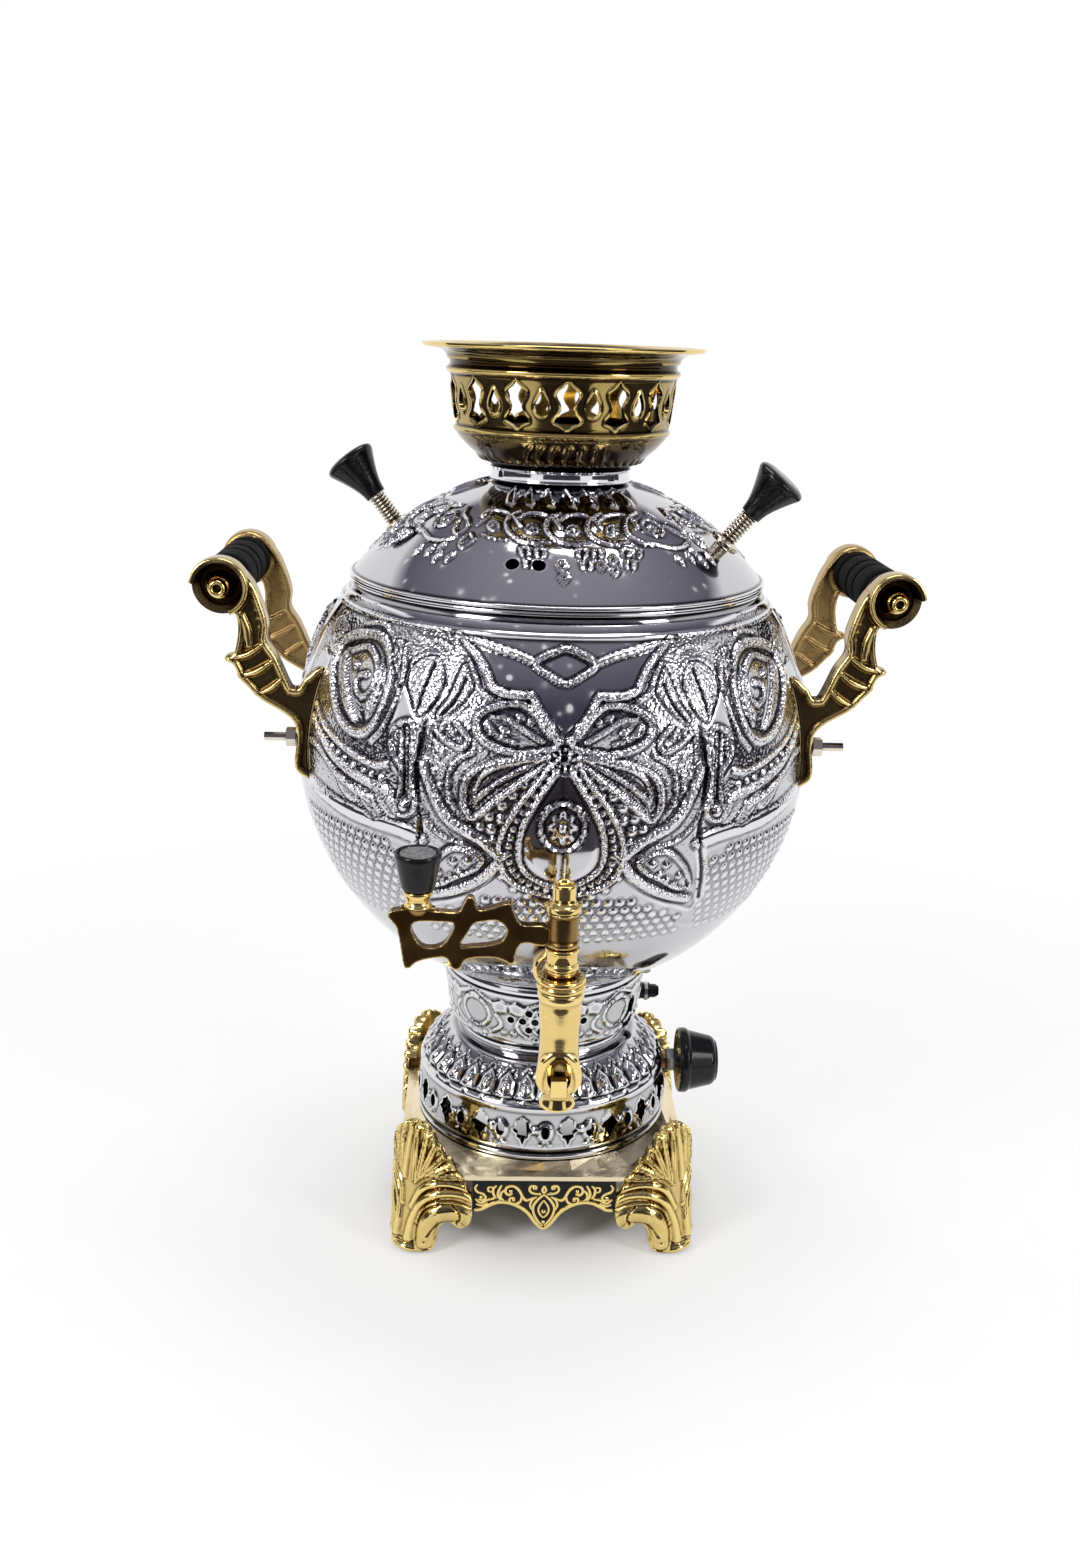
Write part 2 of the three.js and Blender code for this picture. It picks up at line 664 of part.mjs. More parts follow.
// A rib with a sharp crest along a line on the sphere.
function ribSolid({ line, closed }, side, turn, middleZ) {
  const corners = line.map(([across, up]) => new THREE.Vector3(across * side, up, 0));
  const curve = new THREE.CatmullRomCurve3(corners, closed, 'centripetal');
  const steps = Math.max(1, Math.round(curve.getLength() / ribPitchShare));
  const half = rib.width / 2 / vessel.radius;
  const sections = Array.from({ length: closed ? steps : steps + 1 }, (_, i) => {
    const at = curve.getPointAt(i / steps);
    const along = curve.getTangentAt(i / steps);
    const [aside, rise] = [-along.y * half, along.x * half];
    return [
      onSphere(at.x - aside, at.y - rise, turn, -rib.root, middleZ),
      onSphere(at.x, at.y, turn, rib.height, middleZ),
      onSphere(at.x + aside, at.y + rise, turn, -rib.root, middleZ),
    ];
  });
  return solidOf(closed ? ringLoop(sections) : closedLoft(sections));
}

function vesselRibs() {
  const butterflies = butterflyTurns.flatMap((turn) => [1, -1].flatMap((side) =>
    butterflyRibs.map((drawn) => ribSolid(drawn, side, turn, centreZ))));
  const scrolls = scrollPlaces.flatMap(([turn, side]) =>
    scrollRibs.map((drawn) => ribSolid(drawn, side, turn * degree, centreZ)));
  return [...butterflies, ...scrolls];
}

function lidRibs() {
  const scrolls = Array.from({ length: lidScrollCount }, (_, i) => lidScrollRibs.map((drawn) =>
    ribSolid(drawn, 1, (fullTurn * (i + 0.5)) / lidScrollCount, lidCentreZ)));
  const petals = Array.from({ length: lidPetalCount }, (_, i) => lidPetalRibs.map((drawn) =>
    ribSolid(drawn, 1, (fullTurn * i) / lidPetalCount, lidCentreZ)));
  return [...scrolls, ...petals].flat();
}

// A low rounded ring under the vessel's smooth upper band.
function seamFilletRing() {
  const up = seamFillet.share;
  const half = seamFillet.width / 2 / vessel.radius;
  const points = [[up - half, -rib.root], [up, seamFillet.height], [up + half, -rib.root]].map(([angle, over]) => [
    (vessel.radius + over) * Math.cos(angle),
    centreZ + (vessel.radius + over) * Math.sin(angle),
  ]);
  return solidOf(ring(points, facets.vessel));
}

function vesselShell() {
  const innerRadius = vessel.radius - sheet;
  const innerLow = Math.asin(flueHoleRadius / innerRadius);
  const rim = [
    [beadRadius, mouthZ - vessel.beadHeight],
    [beadRadius, mouthZ],
    [mouthRadius, mouthZ],
    [mouthRadius, mouthZ - sheet],
  ];
  const inner = sphereArc(innerRadius, vesselRimAngle, innerLow, arcSteps.vesselInner, centreZ);
  const shell = ring([...vesselProfile(0), ...rim, ...inner], facets.vessel);
  const tapHole = rod(tap.boreRadius, 0, vessel.radius, facets.small)
    .rotateX(quarterTurn).translate(0, 0, pipeZ);
  const embossed = wasm.Manifold.union([solidOf(shell), seamFilletRing(), ...vesselRibs()]);
  return named('vessel_shell', geometryOf(embossed.subtract(solidOf(tapHole))), chrome);
}

function flueTube() {
  const low = centreZ - vessel.radius * Math.cos(flueHoleAngle) - flue.bottomDrop;
  const tubeBody = tube(flue.radius, flue.radius - flue.wall, low, crownZ - flue.topGap, facets.flue);
  return named('flue_tube', tubeBody, steel);
}

// Lid, its collar and its two knobs, which lift together

function lidDome() {
  const seamZ = mouthZ + lid.seatGap;
  const beadTopZ = seamZ + lid.beadHeight;
  const innerRadius = vessel.radius - sheet;
  const skirtRadius = mouthRadius - lid.skirtClearance;
  const skirtInner = skirtRadius - lid.skirtWall;
  const rimAngle = halfTurn - Math.acos((beadTopZ - lidCentreZ) / vessel.radius);
  const holeAngle = halfTurn - Math.asin(lidHoleRadius / vessel.radius);
  const innerHole = halfTurn - Math.asin(lidHoleRadius / innerRadius);
  const innerRim = halfTurn - Math.asin(skirtInner / innerRadius);
  const shell = ring([
    [skirtInner, seamZ - lid.skirtHeight],
    [skirtRadius, seamZ - lid.skirtHeight],
    [skirtRadius, seamZ],
    [beadRadius, seamZ],
    [beadRadius, beadTopZ],
    ...sphereArc(vessel.radius, rimAngle, holeAngle, arcSteps.lid, lidCentreZ),
    ...sphereArc(innerRadius, innerHole, innerRim, arcSteps.lidUnder, lidCentreZ),
  ], facets.vessel);
  const ventAngle = rimAngle + (holeAngle - rimAngle) * lidVentShare;
  const vents = [0, 1].map((i) => rod(lid.ventRadius, 0, vessel.radius + overrun, facets.hole)
    .rotateX(ventAngle)
    .rotateZ(lidVentTurn - lidVentPitch * i)
    .translate(0, 0, lidCentreZ));
  const embossed = wasm.Manifold.union([solidOf(shell), ...lidRibs()]);
  const pierced = vents.map(solidOf).reduce((rest, vent) => rest.subtract(vent), embossed);
  return named('lid_dome', geometryOf(pierced), chrome);
}

function lidCollar() {
  const radius = lidHoleRadius + collar.wall;
  return named('lid_collar', ring([
    [lidHoleRadius, collarZ],
    [radius, collarZ],
    [radius + collar.beadReach, collarZ + collar.height / 2],
    [radius, collarZ + collar.height],
    [lidHoleRadius, collarZ + collar.height],
  ], facets.flue), chrome);
}

// The stem's beads alternate between two radii along its length.
function lidStem(name) {
  const low = vessel.radius + clearance;
  const neckLow = low + lidKnob.flangeHeight;
  const step = (lidKnob.stemLength - lidKnob.flangeHeight) / (2 * lidStemBeads);
  const beads = Array.from({ length: lidStemBeads }, (_, i) => [
    [lidKnob.beadRadius, neckLow + step * (2 * i + 1)],
    [lidKnob.stemRadius, neckLow + step * (2 * i + 2)],
  ]);
  return named(name, filled([
    [lidKnob.flangeRadius, low],
    [lidKnob.flangeRadius, low + lidKnob.flangeHeight / 2],
    [lidKnob.stemRadius, neckLow],
    ...beads.flat(),
  ], facets.hole), nickel);
}

function lidKnobHead(name) {
  const low = vessel.radius + clearance + lidKnob.stemLength + clearance;
  const profile = scaled(lidKnobShares, lidKnob.headRadius, lidKnob.length, 0, low);
  return named(name, filled(profile, facets.turned), bakelite);
}

function lidGroup() {
  const group = new THREE.Group();
  group.add(lidDome(), lidCollar());
  for (const [side, turn] of [['right', quarterTurn], ['left', -quarterTurn]]) {
    const knob = placed(new THREE.Group(), 0, 0, lidCentreZ);
    knob.rotation.set(lidKnobTilt, 0, turn, 'ZYX');
    knob.add(lidStem(`lid_stem_${side}`), lidKnobHead(`lid_knob_${side}`));
    group.add(knob);
  }
  group.rotation.z = lidTurn;
  return group;
}

// Crown: the pierced gallery that carries the teapot, on a sleeve that drops into the flue

function crownGallery() {
  const outer = scaled(crownShares, crown.rimRadius, crown.height, 0, crownZ);
  const topZ = crownZ + crown.height;
  const sleeveRadius = flue.radius - flue.wall - crown.sleeveGap;
  const sleeveInner = sleeveRadius - crown.sleeveWall;
  const shell = ring([
    ...outer,
    [crown.rimRadius, topZ],
    [crown.rimRadius - crown.rimFlat, topZ],
    ...innerFace(outer, crown.wall, crownInnerRows),
    [sleeveInner, crownZ + crown.floorWall],
    [sleeveInner, crownZ - crown.sleeveDepth],
    [sleeveRadius, crownZ - crown.sleeveDepth],
    [sleeveRadius, crownZ],
  ], facets.crown).rotateZ(halfTurn / facets.crown);

  const { bandLow, bandHigh, width, height, dropWidth, dropHeight } = crownHoleShares;
  const bandHeight = (bandHigh - bandLow) * crown.height;
  const bandZ = crownZ + ((bandHigh + bandLow) / 2) * crown.height;
  const bandRadius = crown.rimRadius * crownShares[crownBandRow][0];
  const pitch = (fullTurn * bandRadius) / crownPitches;
  const chalice = scaled(chaliceShares, pitch * width, bandHeight * height);
  const drop = scaled(dropShares, pitch * dropWidth, bandHeight * dropHeight);
  const near = bandRadius - overrun;
  return named('crown_gallery', cut(shell, together([
    ...cutterRing(chalice, bandZ, near, crown.rimRadius, crownPitches, 0),
    ...cutterRing(drop, bandZ, near, crown.rimRadius, crownPitches, 1 / 2),
  ])), brass);
}

// Neck and skirt: the pierced foot round the burner

function neckRing() {
  const outer = scaled(neckShares, neck.radius, neck.height, 0, neckZ);
  const shell = ring([...outer, ...innerFace(outer, sheet, neckInnerRows)], facets.neck);
  const near = neckFootRadius - overrun;
  const far = neck.radius + overrun;
  const rowZ = neckZ + neck.height * neckHoleShare;
  const turn = neckHole.pitch / neck.radius;
  const round = ellipsePoints(2 * neckHole.radius, 2 * neckHole.radius, facets.hex);
  const holes = neckHoleRows.flatMap((count, row) => Array.from({ length: count }, (_, i) =>
    radialCutter(round, rowZ + (row - 1) * neckHole.rowPitch, near, far, (i - (count - 1) / 2) * turn)));
  const oval = ellipsePoints(neckWindow.width, neckWindow.height, facets.hole);
  const windowZ = neckZ + neck.height * neckWindowShare;
  holes.push(radialCutter(oval, windowZ, near, far, neckWindowTurn));
  const igniterHole = rod(igniter.shankRadius + clearance, near, far, facets.small)
    .rotateY(quarterTurn).translate(0, igniter.offset, neckZ + neck.height * igniterHeightShare);
  return named('neck_ring', cut(shell, together(holes), igniterHole), chrome);
}

function skirtShell() {
  const outer = scaled(skirtShares, skirt.radius, skirt.height, 0, skirtZ);
  outer.push([neckFootRadius, skirtZ + skirt.height]);
  const shell = ring([...outer, ...innerFace(outer, sheet, skirtInnerRows)], facets.skirt)
    .rotateZ(halfTurn / facets.skirt);
  const near = neckFootRadius;
  const far = skirt.radius + overrun;
  const bandZ = skirtZ + skirt.height * skirtBandShare;
  const star = scaled(starShares, skirtStar.width, skirtStar.height);
  const oval = ellipsePoints(skirtOval.width, skirtOval.height, facets.hex);
  const pierced = together([
    ...cutterRing(star, bandZ, near, far, skirtPitches, 1 / 2),
    ...cutterRing(oval, bandZ, near, far, skirtPitches, 0),
  ]);
  const valveHole = rod(valve.noseRadius + clearance, near, far, facets.small)
    .rotateY(quarterTurn).translate(0, 0, gasZ);
  const inletHole = rod(inlet.noseRadius + clearance, near, far, facets.small)
    .rotateX(-quarterTurn).translate(0, 0, gasZ);
  return named('skirt_shell', cut(shell, pierced, valveHole, inletHole), chrome);
}

// Base: a square plate on four leaf feet, with a shaped apron between each pair

// A ring that blends from a circle to the plate's square with cut corners.
function plateRing(radius, squareness, margin, z) {
  const half = plate.half - margin;
  const corner = cornerReach - margin;
  return Array.from({ length: facets.plate }, (_, i) => {
    const angle = (fullTurn * i) / facets.plate;
    const [c, s] = [Math.abs(Math.cos(angle)), Math.abs(Math.sin(angle))];
    const square = Math.min(half / Math.max(c, s), corner / (c + s));
    const reach = radius * (1 - squareness) + square * squareness;
    return new THREE.Vector3(reach * Math.cos(angle), reach * Math.sin(angle), z);
  });
}

function basePlate() {
  const low = plate.undersideHeight;
  const edgeZ = low + plate.edgeHeight;
  const underZ = plateTopZ - plate.edgeHeight;
  const waistZ = edgeZ + (plateTopZ - edgeZ) * plateWaistHeightShare;
  return named('base_plate', ringLoop([
    plateRing(0, 1, 0, low),
    plateRing(0, 1, 0, edgeZ),
    plateRing(plate.seatRadius, plateWaistShare, 0, waistZ),
    plateRing(plate.seatRadius, 0, 0, plateTopZ),
    plateRing(plate.holeRadius, 0, 0, plateTopZ),
    plateRing(plate.holeRadius, 0, 0, underZ),
    plateRing(plate.seatRadius, 0, 0, underZ),
    plateRing(0, 1, 2 * plate.edgeHeight, low),
  ]), brass);
}

// The space that the plate takes between the feet, with the usual clearance round it.
function plateSpace(height) {
  const half = plate.half + clearance;
  const reach = cornerReach + clearance - half;
  const outline = shapeOf([
    [half, -reach], [half, reach], [reach, half], [-reach, half],
    [-half, reach], [-half, -reach], [-reach, -half], [reach, -half],
  ]);
  return slab(outline, 0, height).rotateX(-quarterTurn).translate(0, 0, plate.undersideHeight - clearance);
}

// One foot for the corner at +X and -Y.
function footGeometry() {
  const height = plate.undersideHeight + foot.leafRise;
  const diagonal = cornerReach / Math.SQRT2 + foot.cornerOffset;
  const up = new THREE.Vector3(0, 0, 1);
  const rings = legShares.map(([rise, out, radial, across]) =>
    ellipsePoints(2 * foot.legRadius * radial, 2 * foot.legHalfWidth * across, facets.hole)
      .map(([x, y]) => new THREE.Vector3(x + diagonal * out, y, rise * height)
        .applyAxisAngle(up, -quarterTurn / 2)));
  const wingFront = plate.half + foot.overhang;
  const outline = scaled(wingShares, foot.wingWidth, height, wingInner);
  const frontWing = slab(shapeOf(outline), wingFront - foot.wingDepth, wingFront);
  const mirror = new THREE.Matrix4().makeScale(1, -1, 1);
  const sideWing = closedBody(frontWing.clone().rotateZ(quarterTurn).applyMatrix4(mirror));
  return cut(joined(closedLoft(rings), frontWing, sideWing), plateSpace(height));
}

function feet() {
  const geometry = footGeometry();
  return ['front_right', 'back_right', 'back_left', 'front_left'].map((corner, i) => {
    const mesh = named(`foot_${corner}`, geometry, brass);
    mesh.rotation.z = quarterTurn * i;
    return mesh;
  });
}

function aprons() {
  const top = plate.undersideHeight - clearance;
  const right = scaled(apronShares, apronHalf, apron.height, 0, top - apron.height);
  const left = right.slice(1).reverse().map(([x, z]) => [-x, z]);
  const geometry = slab(shapeOf([...right, ...left]), plate.half - apron.thickness, plate.half);
  return ['front', 'right', 'back', 'left'].map((side, i) => {
    const mesh = named(`apron_${side}`, geometry, blackPanel);
    mesh.rotation.z = quarterTurn * i;
    return mesh;
  });
}

// Tap: the body is fixed, and the plug, its lever and the lever's knob turn together

function tapBoss() {
  const far = wallY + tap.bossLength;
  const boss = rod(tap.bossRadius, 0, far, facets.turned).rotateX(quarterTurn).translate(0, 0, pipeZ);
  const bore = rod(tap.pipeRadius + clearance, 0, far + overrun, facets.turned)
    .rotateX(quarterTurn).translate(0, 0, pipeZ);
  return named('tap_boss', cut(boss, vesselEnvelope(), bore), chrome);
}

// The tap's body is made round its own upright axis, with its pipe running back to the vessel.
function tapBody() {
  const spoutZ = pipeZ - tap.spoutDrop;
  const plugSeatZ = pipeZ - tap.plugSeatDrop;
  const flatZ = pipeZ - tap.flatDrop;
  const trunk = filled(
    scaled(trunkShares, tap.trunkRadius, barrelTopZ - spoutZ, 0, spoutZ), facets.turned);
  const pipe = rod(tap.pipeRadius, 0, tap.length + tap.bossRadius, facets.turned)
    .rotateX(-quarterTurn).translate(0, 0, pipeZ);
  const flat = new THREE.BoxGeometry(tap.flatWidth, tap.flatReach, tap.flatHeight)
    .translate(0, -tap.flatReach / 2, flatZ + tap.flatHeight / 2);
  const plugBore = filled([
    [tap.plugSeatRadius, plugSeatZ],
    [tap.plugTopRadius, barrelTopZ],
    [tap.plugTopRadius, barrelTopZ + overrun],
  ], facets.turned);
  const spoutBore = rod(tap.boreRadius, spoutZ - overrun, plugSeatZ + overrun, facets.small);
  const pipeBore = rod(tap.boreRadius, 0, tapY, facets.small).rotateX(-quarterTurn).translate(0, 0, pipeZ);
  const vesselWall = vesselEnvelope().translate(0, tapY, 0);
  const body = cut(joined(trunk, pipe, flat), vesselWall, plugBore, spoutBore, pipeBore);
  return placed(named('tap_body', body, brass), 0, -tapY, 0);
}

function tapGland() {
  const low = barrelTopZ + clearance;
  const bore = tap.plugTopRadius;
  const outer = scaled(glandShares, gland.radius, gland.height, 0, low);
  const body = ring([[bore, low], ...outer, [bore, low + gland.height]], facets.turned);
  return placed(named('tap_gland', body, brass), 0, -tapY, 0);
}

function tapPlug() {
  const high = glandTopZ + plug.height;
  const seatZ = pipeZ - tap.plugSeatDrop + clearance;
  const collarLow = leverZ + lever.height * leverHubShares.high + clearance;
  const collarHigh = collarLow + plug.collarHeight;
  const stemLow = leverZ + lever.height * leverHubShares.low - clearance;
  const body = filled([
    [tap.plugSeatRadius - clearance, seatZ],
    [tap.plugTopRadius - clearance, barrelTopZ],
    [tap.plugTopRadius - clearance, glandTopZ],
    ...scaled(plugShares, plug.ringRadius, plug.height, 0, glandTopZ),
    [plug.stemRadius, stemLow],
    [plug.stemRadius, collarLow],
    [plug.ringRadius, collarLow],
    [plug.ringRadius, collarHigh],
    [plug.capRadius, collarHigh],
    [plug.capRadius, high],
  ], facets.turned);
  const well = rod(plug.wellRadius, seatZ - overrun, pipeZ + plug.wellRise, facets.small);
  const port = rod(plug.portRadius, 0, tap.plugTopRadius + overrun, facets.hole)
    .rotateY(quarterTurn).translate(0, 0, pipeZ);
  return named('tap_plug', cut(body, well, port), brass);
}

// The lever lies along -X at rest, cast with an eye that fits round the plug.
function tapLever() {
  const reach = lever.length + lever.hubRadius;
  const outlineAt = (shares) => scaled(shares, reach, lever.height, -reach, leverZ);
  const shape = shapeOf(outlineAt(leverShares));
  shape.holes = leverOpeningShares.map((opening) =>
    new THREE.Path(outlineAt(opening).map(([x, z]) => new THREE.Vector2(x, z))));
  const blade = slab(shape, -lever.thickness / 2, lever.thickness / 2);
  const hubLow = leverZ + lever.height * leverHubShares.low;
  const hubHigh = leverZ + lever.height * leverHubShares.high;
  const hub = rod(lever.hubRadius, hubLow, hubHigh, facets.turned);
  const eye = rod(plug.stemRadius + clearance, leverZ - overrun, hubHigh + overrun, facets.turned);
  return named('tap_lever', cut(joined(blade, hub), eye), brass);
}

function tapFerrule(low) {
  const profile = scaled(ferruleShares, tapKnob.ferruleRadius, tapKnob.ferruleHeight, 0, low);
  return named('tap_ferrule', filled(profile, facets.small), brass);
}

function tapKnobHead(low) {
  const dishZ = low + tapKnob.height - tapKnob.dishDepth;
  return named('tap_knob', filled([
    ...scaled(tapKnobShares, tapKnob.radius, tapKnob.height, 0, low),
    [tapKnob.radius * tapKnobDishShare, dishZ],
  ], facets.turned), bakelite);
}

function tapKey() {
  const key = placed(new THREE.Group(), 0, -tapY, 0);
  const ferruleZ = leverZ + lever.height * leverShares[leverSeatRow][1] + clearance;
  const knobZ = ferruleZ + tapKnob.ferruleHeight + clearance;
  const knob = placed(new THREE.Group(), -tapKnob.offset, 0, 0);
  knob.add(tapFerrule(ferruleZ), tapKnobHead(knobZ));
  key.add(tapPlug(), tapLever(), knob);
  return key;
}

// Handles: on each side two cast arms, a grip on a rod between them, and the nuts that hold them

// A right front arm: its outline stands in X and Z, and its cup opens forwards round the grip's rod.
function armGeometry() {
  const reach = gripX + handle.cupRadius - rootX;
  const rise = handle.gripRise + handle.gripRadius;
  const outline = scaled(armShares, reach, rise, rootX, rootZ);
  const arm = slab(shapeOf(outline), armInner, armInner + handle.armDepth);
  const rim = armInner + handle.cupDepth;
  const atGrip = (geometry) => geometry.rotateX(quarterTurn).translate(gripX, 0, gripZ);
  const cup = atGrip(filled([
    [handle.cupRadius, armInner],
    [handle.cupRadius, rim - handle.cupWall],
    [handle.cupRimRadius, rim],
  ], facets.turned));
  const pocketRadius = handle.cupRimRadius - handle.cupWall;
  const pocket = atGrip(rod(pocketRadius, armInner + handle.cupFloor, rim + overrun, facets.turned));
  const rodHole = atGrip(rod(handle.rodRadius + clearance, armInner - overrun, rim, facets.hole));
  const studHole = rod(stud.radius + clearance, 0, gripX, facets.hole)
    .rotateY(quarterTurn).translate(0, -armMiddle, studZ);
  return cut(joined(arm, cup), vesselEnvelope(), pocket, rodHole, studHole);
}

// The grip swells between two grooves and is the same from either end.
function gripBody(name) {
  const half = handle.gripLength / 2;
  const bore = handle.rodRadius + clearance;
  const low = scaled(gripShares, handle.gripRadius, 2 * half, 0, -half);
  const high = low.slice(0, -1).reverse().map(([radius, z]) => [radius, -z]);
  return named(name, ring([[bore, -half], ...low, ...high, [bore, half]], facets.turned), bakelite);
}

function gripNutBody(name) {
  const low = armInner + handle.cupFloor + clearance;
  const body = filled(scaled(gripNutShares, gripNut.radius, gripNut.length, 0, low), facets.hole);
  const boreEnd = low + gripNut.length - gripNut.wall;
  const bore = rod(handle.rodRadius + clearance, low - overrun, boreEnd, facets.hole);
  return named(name, cut(body, bore), brass);
}

function armStud(name) {
  const padX = rootX + (gripX + handle.cupRadius - rootX) * armShares[1][0] + clearance;
  const body = joined(
    rod(stud.radius, padX - stud.shank, padX + stud.length, facets.hole),
    rod(stud.nutRadius, padX, padX + stud.nutLength, facets.hex),
  ).rotateY(quarterTurn);
  return named(name, body, brass);
}

function handleGroup(side, ends) {
  const group = new THREE.Group();
  const arm = armGeometry();
  const mirror = new THREE.Matrix4().makeScale(1, -1, 1);
  const rodHalf = armInner + handle.cupFloor + gripNut.length - gripNut.wall - clearance;
  const axle = rod(handle.rodRadius, -rodHalf, rodHalf, facets.hole);
  const grip = placed(new THREE.Group(), gripX, 0, gripZ);
  grip.rotation.x = quarterTurn;
  grip.add(gripBody(`handle_grip_${side}`), named(`grip_rod_${side}`, axle, steel));
  group.add(grip);
  ends.forEach((end, i) => {
    const nut = placed(gripNutBody(`grip_nut_${side}_${end}`), gripX, 0, gripZ);
    nut.rotation.x = i === 0 ? quarterTurn : -quarterTurn;
    const armBody = i === 0 ? arm : arm.clone().applyMatrix4(mirror);
    const across = i === 0 ? -armMiddle : armMiddle;
    group.add(
      named(`handle_arm_${side}_${end}`, armBody, brass),
      nut,
      placed(armStud(`handle_stud_${side}_${end}`), 0, across, studZ),
    );
  });
  return group;
}

// Burner: gas comes in at the back, passes the valve on the right and burns under the flue

function gasKnobBody() {
  const body = filled(scaled(gasKnobShares, gasKnob.radius, gasKnob.length), facets.turned);
  const bore = rod(spindle.radius + clearance, -overrun, spindle.knobDepth + clearance, facets.small);
  const recess = rod(gasKnob.hubRadius, -overrun, gasKnob.recessDepth, facets.small);
  return placed(named('gas_knob', cut(body, bore, recess), bakelite), 0, 0, gasKnobX);
}

// The valve, its nut, the spindle, the knob and the mixing tube share one axis along +X.
function valveGroup() {
  const group = placed(new THREE.Group(), 0, 0, gasZ);
  group.rotation.y = quarterTurn;
  const innerX = shoulderX - valve.length;
  const spindleX = shoulderX - spindle.valveDepth;
  const boreRadius = spindle.radius + clearance;
  const side = rod(valve.sideRadius, 0, valve.sideReach, facets.small)
    .rotateX(-quarterTurn).translate(0, 0, shoulderX - valve.sideOffset);
  const block = joined(filled([
    [valve.noseRadius, innerX],
    [valve.radius, innerX + valve.noseRadius],
    [valve.radius, shoulderX],
    [valve.noseRadius, shoulderX],
    [valve.noseRadius, valveNoseX],
  ], facets.small), side);
  const bore = rod(boreRadius, spindleX - clearance, valveNoseX + overrun, facets.small);
  const nut = tube(collarNut.radius, boreRadius, collarNutX, collarNutX + collarNut.length, facets.small);
  const spindleBody = rod(spindle.radius, spindleX, gasKnobX + spindle.knobDepth, facets.small);
  const venturiLow = burner.stemRadius + venturi.burnerGap;
  const venturiHigh = innerX - venturi.valveGap;
  group.add(
    named('gas_valve', cut(block, bore), brass),
    named('gas_collar_nut', nut, steel),
    named('gas_spindle', spindleBody, steel),
    gasKnobBody(),
    named('gas_venturi', ring([
      [venturi.radius - venturi.wall, venturiLow],
      [venturi.radius, venturiLow],
      [venturi.radius, venturiHigh - venturi.mouthRadius],
      [venturi.mouthRadius, venturiHigh],
      [venturi.mouthRadius - venturi.wall, venturiHigh],
      [venturi.radius - venturi.wall, venturiHigh - venturi.mouthRadius],
    ], facets.small), castIron),
  );
  return group;
}

function burnerHead() {
  const low = barTopZ + clearance;
  const headZ = low + burner.headRise;
  const capZ = headZ + burner.headHeight;
  return named('burner_head', filled([
    [burner.stemRadius, low],
    [burner.stemRadius, headZ - burner.headHeight / 2],
    [burner.headRadius, headZ],
    [burner.headRadius, capZ],
    [burner.capRadius, capZ],
    [burner.capTopRadius, capZ + burner.capHeight],
  ], facets.flue), castIron);
}

function burnerBar() {
  const length = 2 * (skirtFootRadius - sheet - burner.barEndGap);
  const bar = new THREE.BoxGeometry(burner.barWidth, length, burner.barThickness);
  return placed(named('burner_bar', bar, steel), 0, 0, barTopZ - burner.barThickness / 2);
}

// The inlet passes through the skirt and ends in a tail whose barbs hold the hose.
function gasInlet() {
  const flangeY = skirt.radius + clearance;
  const tailY = flangeY + inlet.flangeLength;
  const endY = tailY + inlet.tailLength;
  const barb = inlet.tailLength / (inletBarbs + 1);
  const barbs = Array.from({ length: inletBarbs }, (_, i) => [
    [inlet.grooveRadius, tailY + barb * (i + 1 / 2)],
    [inlet.tailRadius, tailY + barb * (i + 1)],
  ]);
  const body = filled([
    [inlet.noseRadius, flangeY - inlet.noseLength],
    [inlet.noseRadius, flangeY],
    [inlet.flangeRadius, flangeY],
    [inlet.flangeRadius, tailY],
    ...barbs.flat(),
    [inlet.grooveRadius, endY],
  ], facets.small);
  const channel = rod(inlet.boreRadius, endY - inlet.boreDepth, endY + overrun, facets.hole);
  const mesh = placed(named('gas_inlet', cut(body, channel), brass), 0, 0, gasZ);
  mesh.rotation.x = -quarterTurn;
  return mesh;
}

// The pipe runs forward from the inlet and bends across to the valve's side port.
function gasPipeRun() {
  const portX = shoulderX - valve.sideOffset;
  const from = new THREE.Vector3(0, skirt.radius - inlet.noseLength, 0);
  const to = new THREE.Vector3(portX, valve.sideReach + clearance, 0);
  const path = new THREE.CubicBezierCurve3(
    from,
    from.clone().add(new THREE.Vector3(0, -gasPipe.bend / 2, 0)),
    to.clone().add(new THREE.Vector3(0, gasPipe.bend, 0)),
    to,
  );
  const section = shapeOf(ellipsePoints(2 * gasPipe.radius, 2 * gasPipe.radius, facets.hole));
  const pipe = new THREE.ExtrudeGeometry(section, { extrudePath: path, steps: facets.hole });
  return placed(named('gas_pipe', pipe, brass), 0, 0, gasZ);
}

// Igniter: a push button in a body that passes through the neck, and the boot over its lead

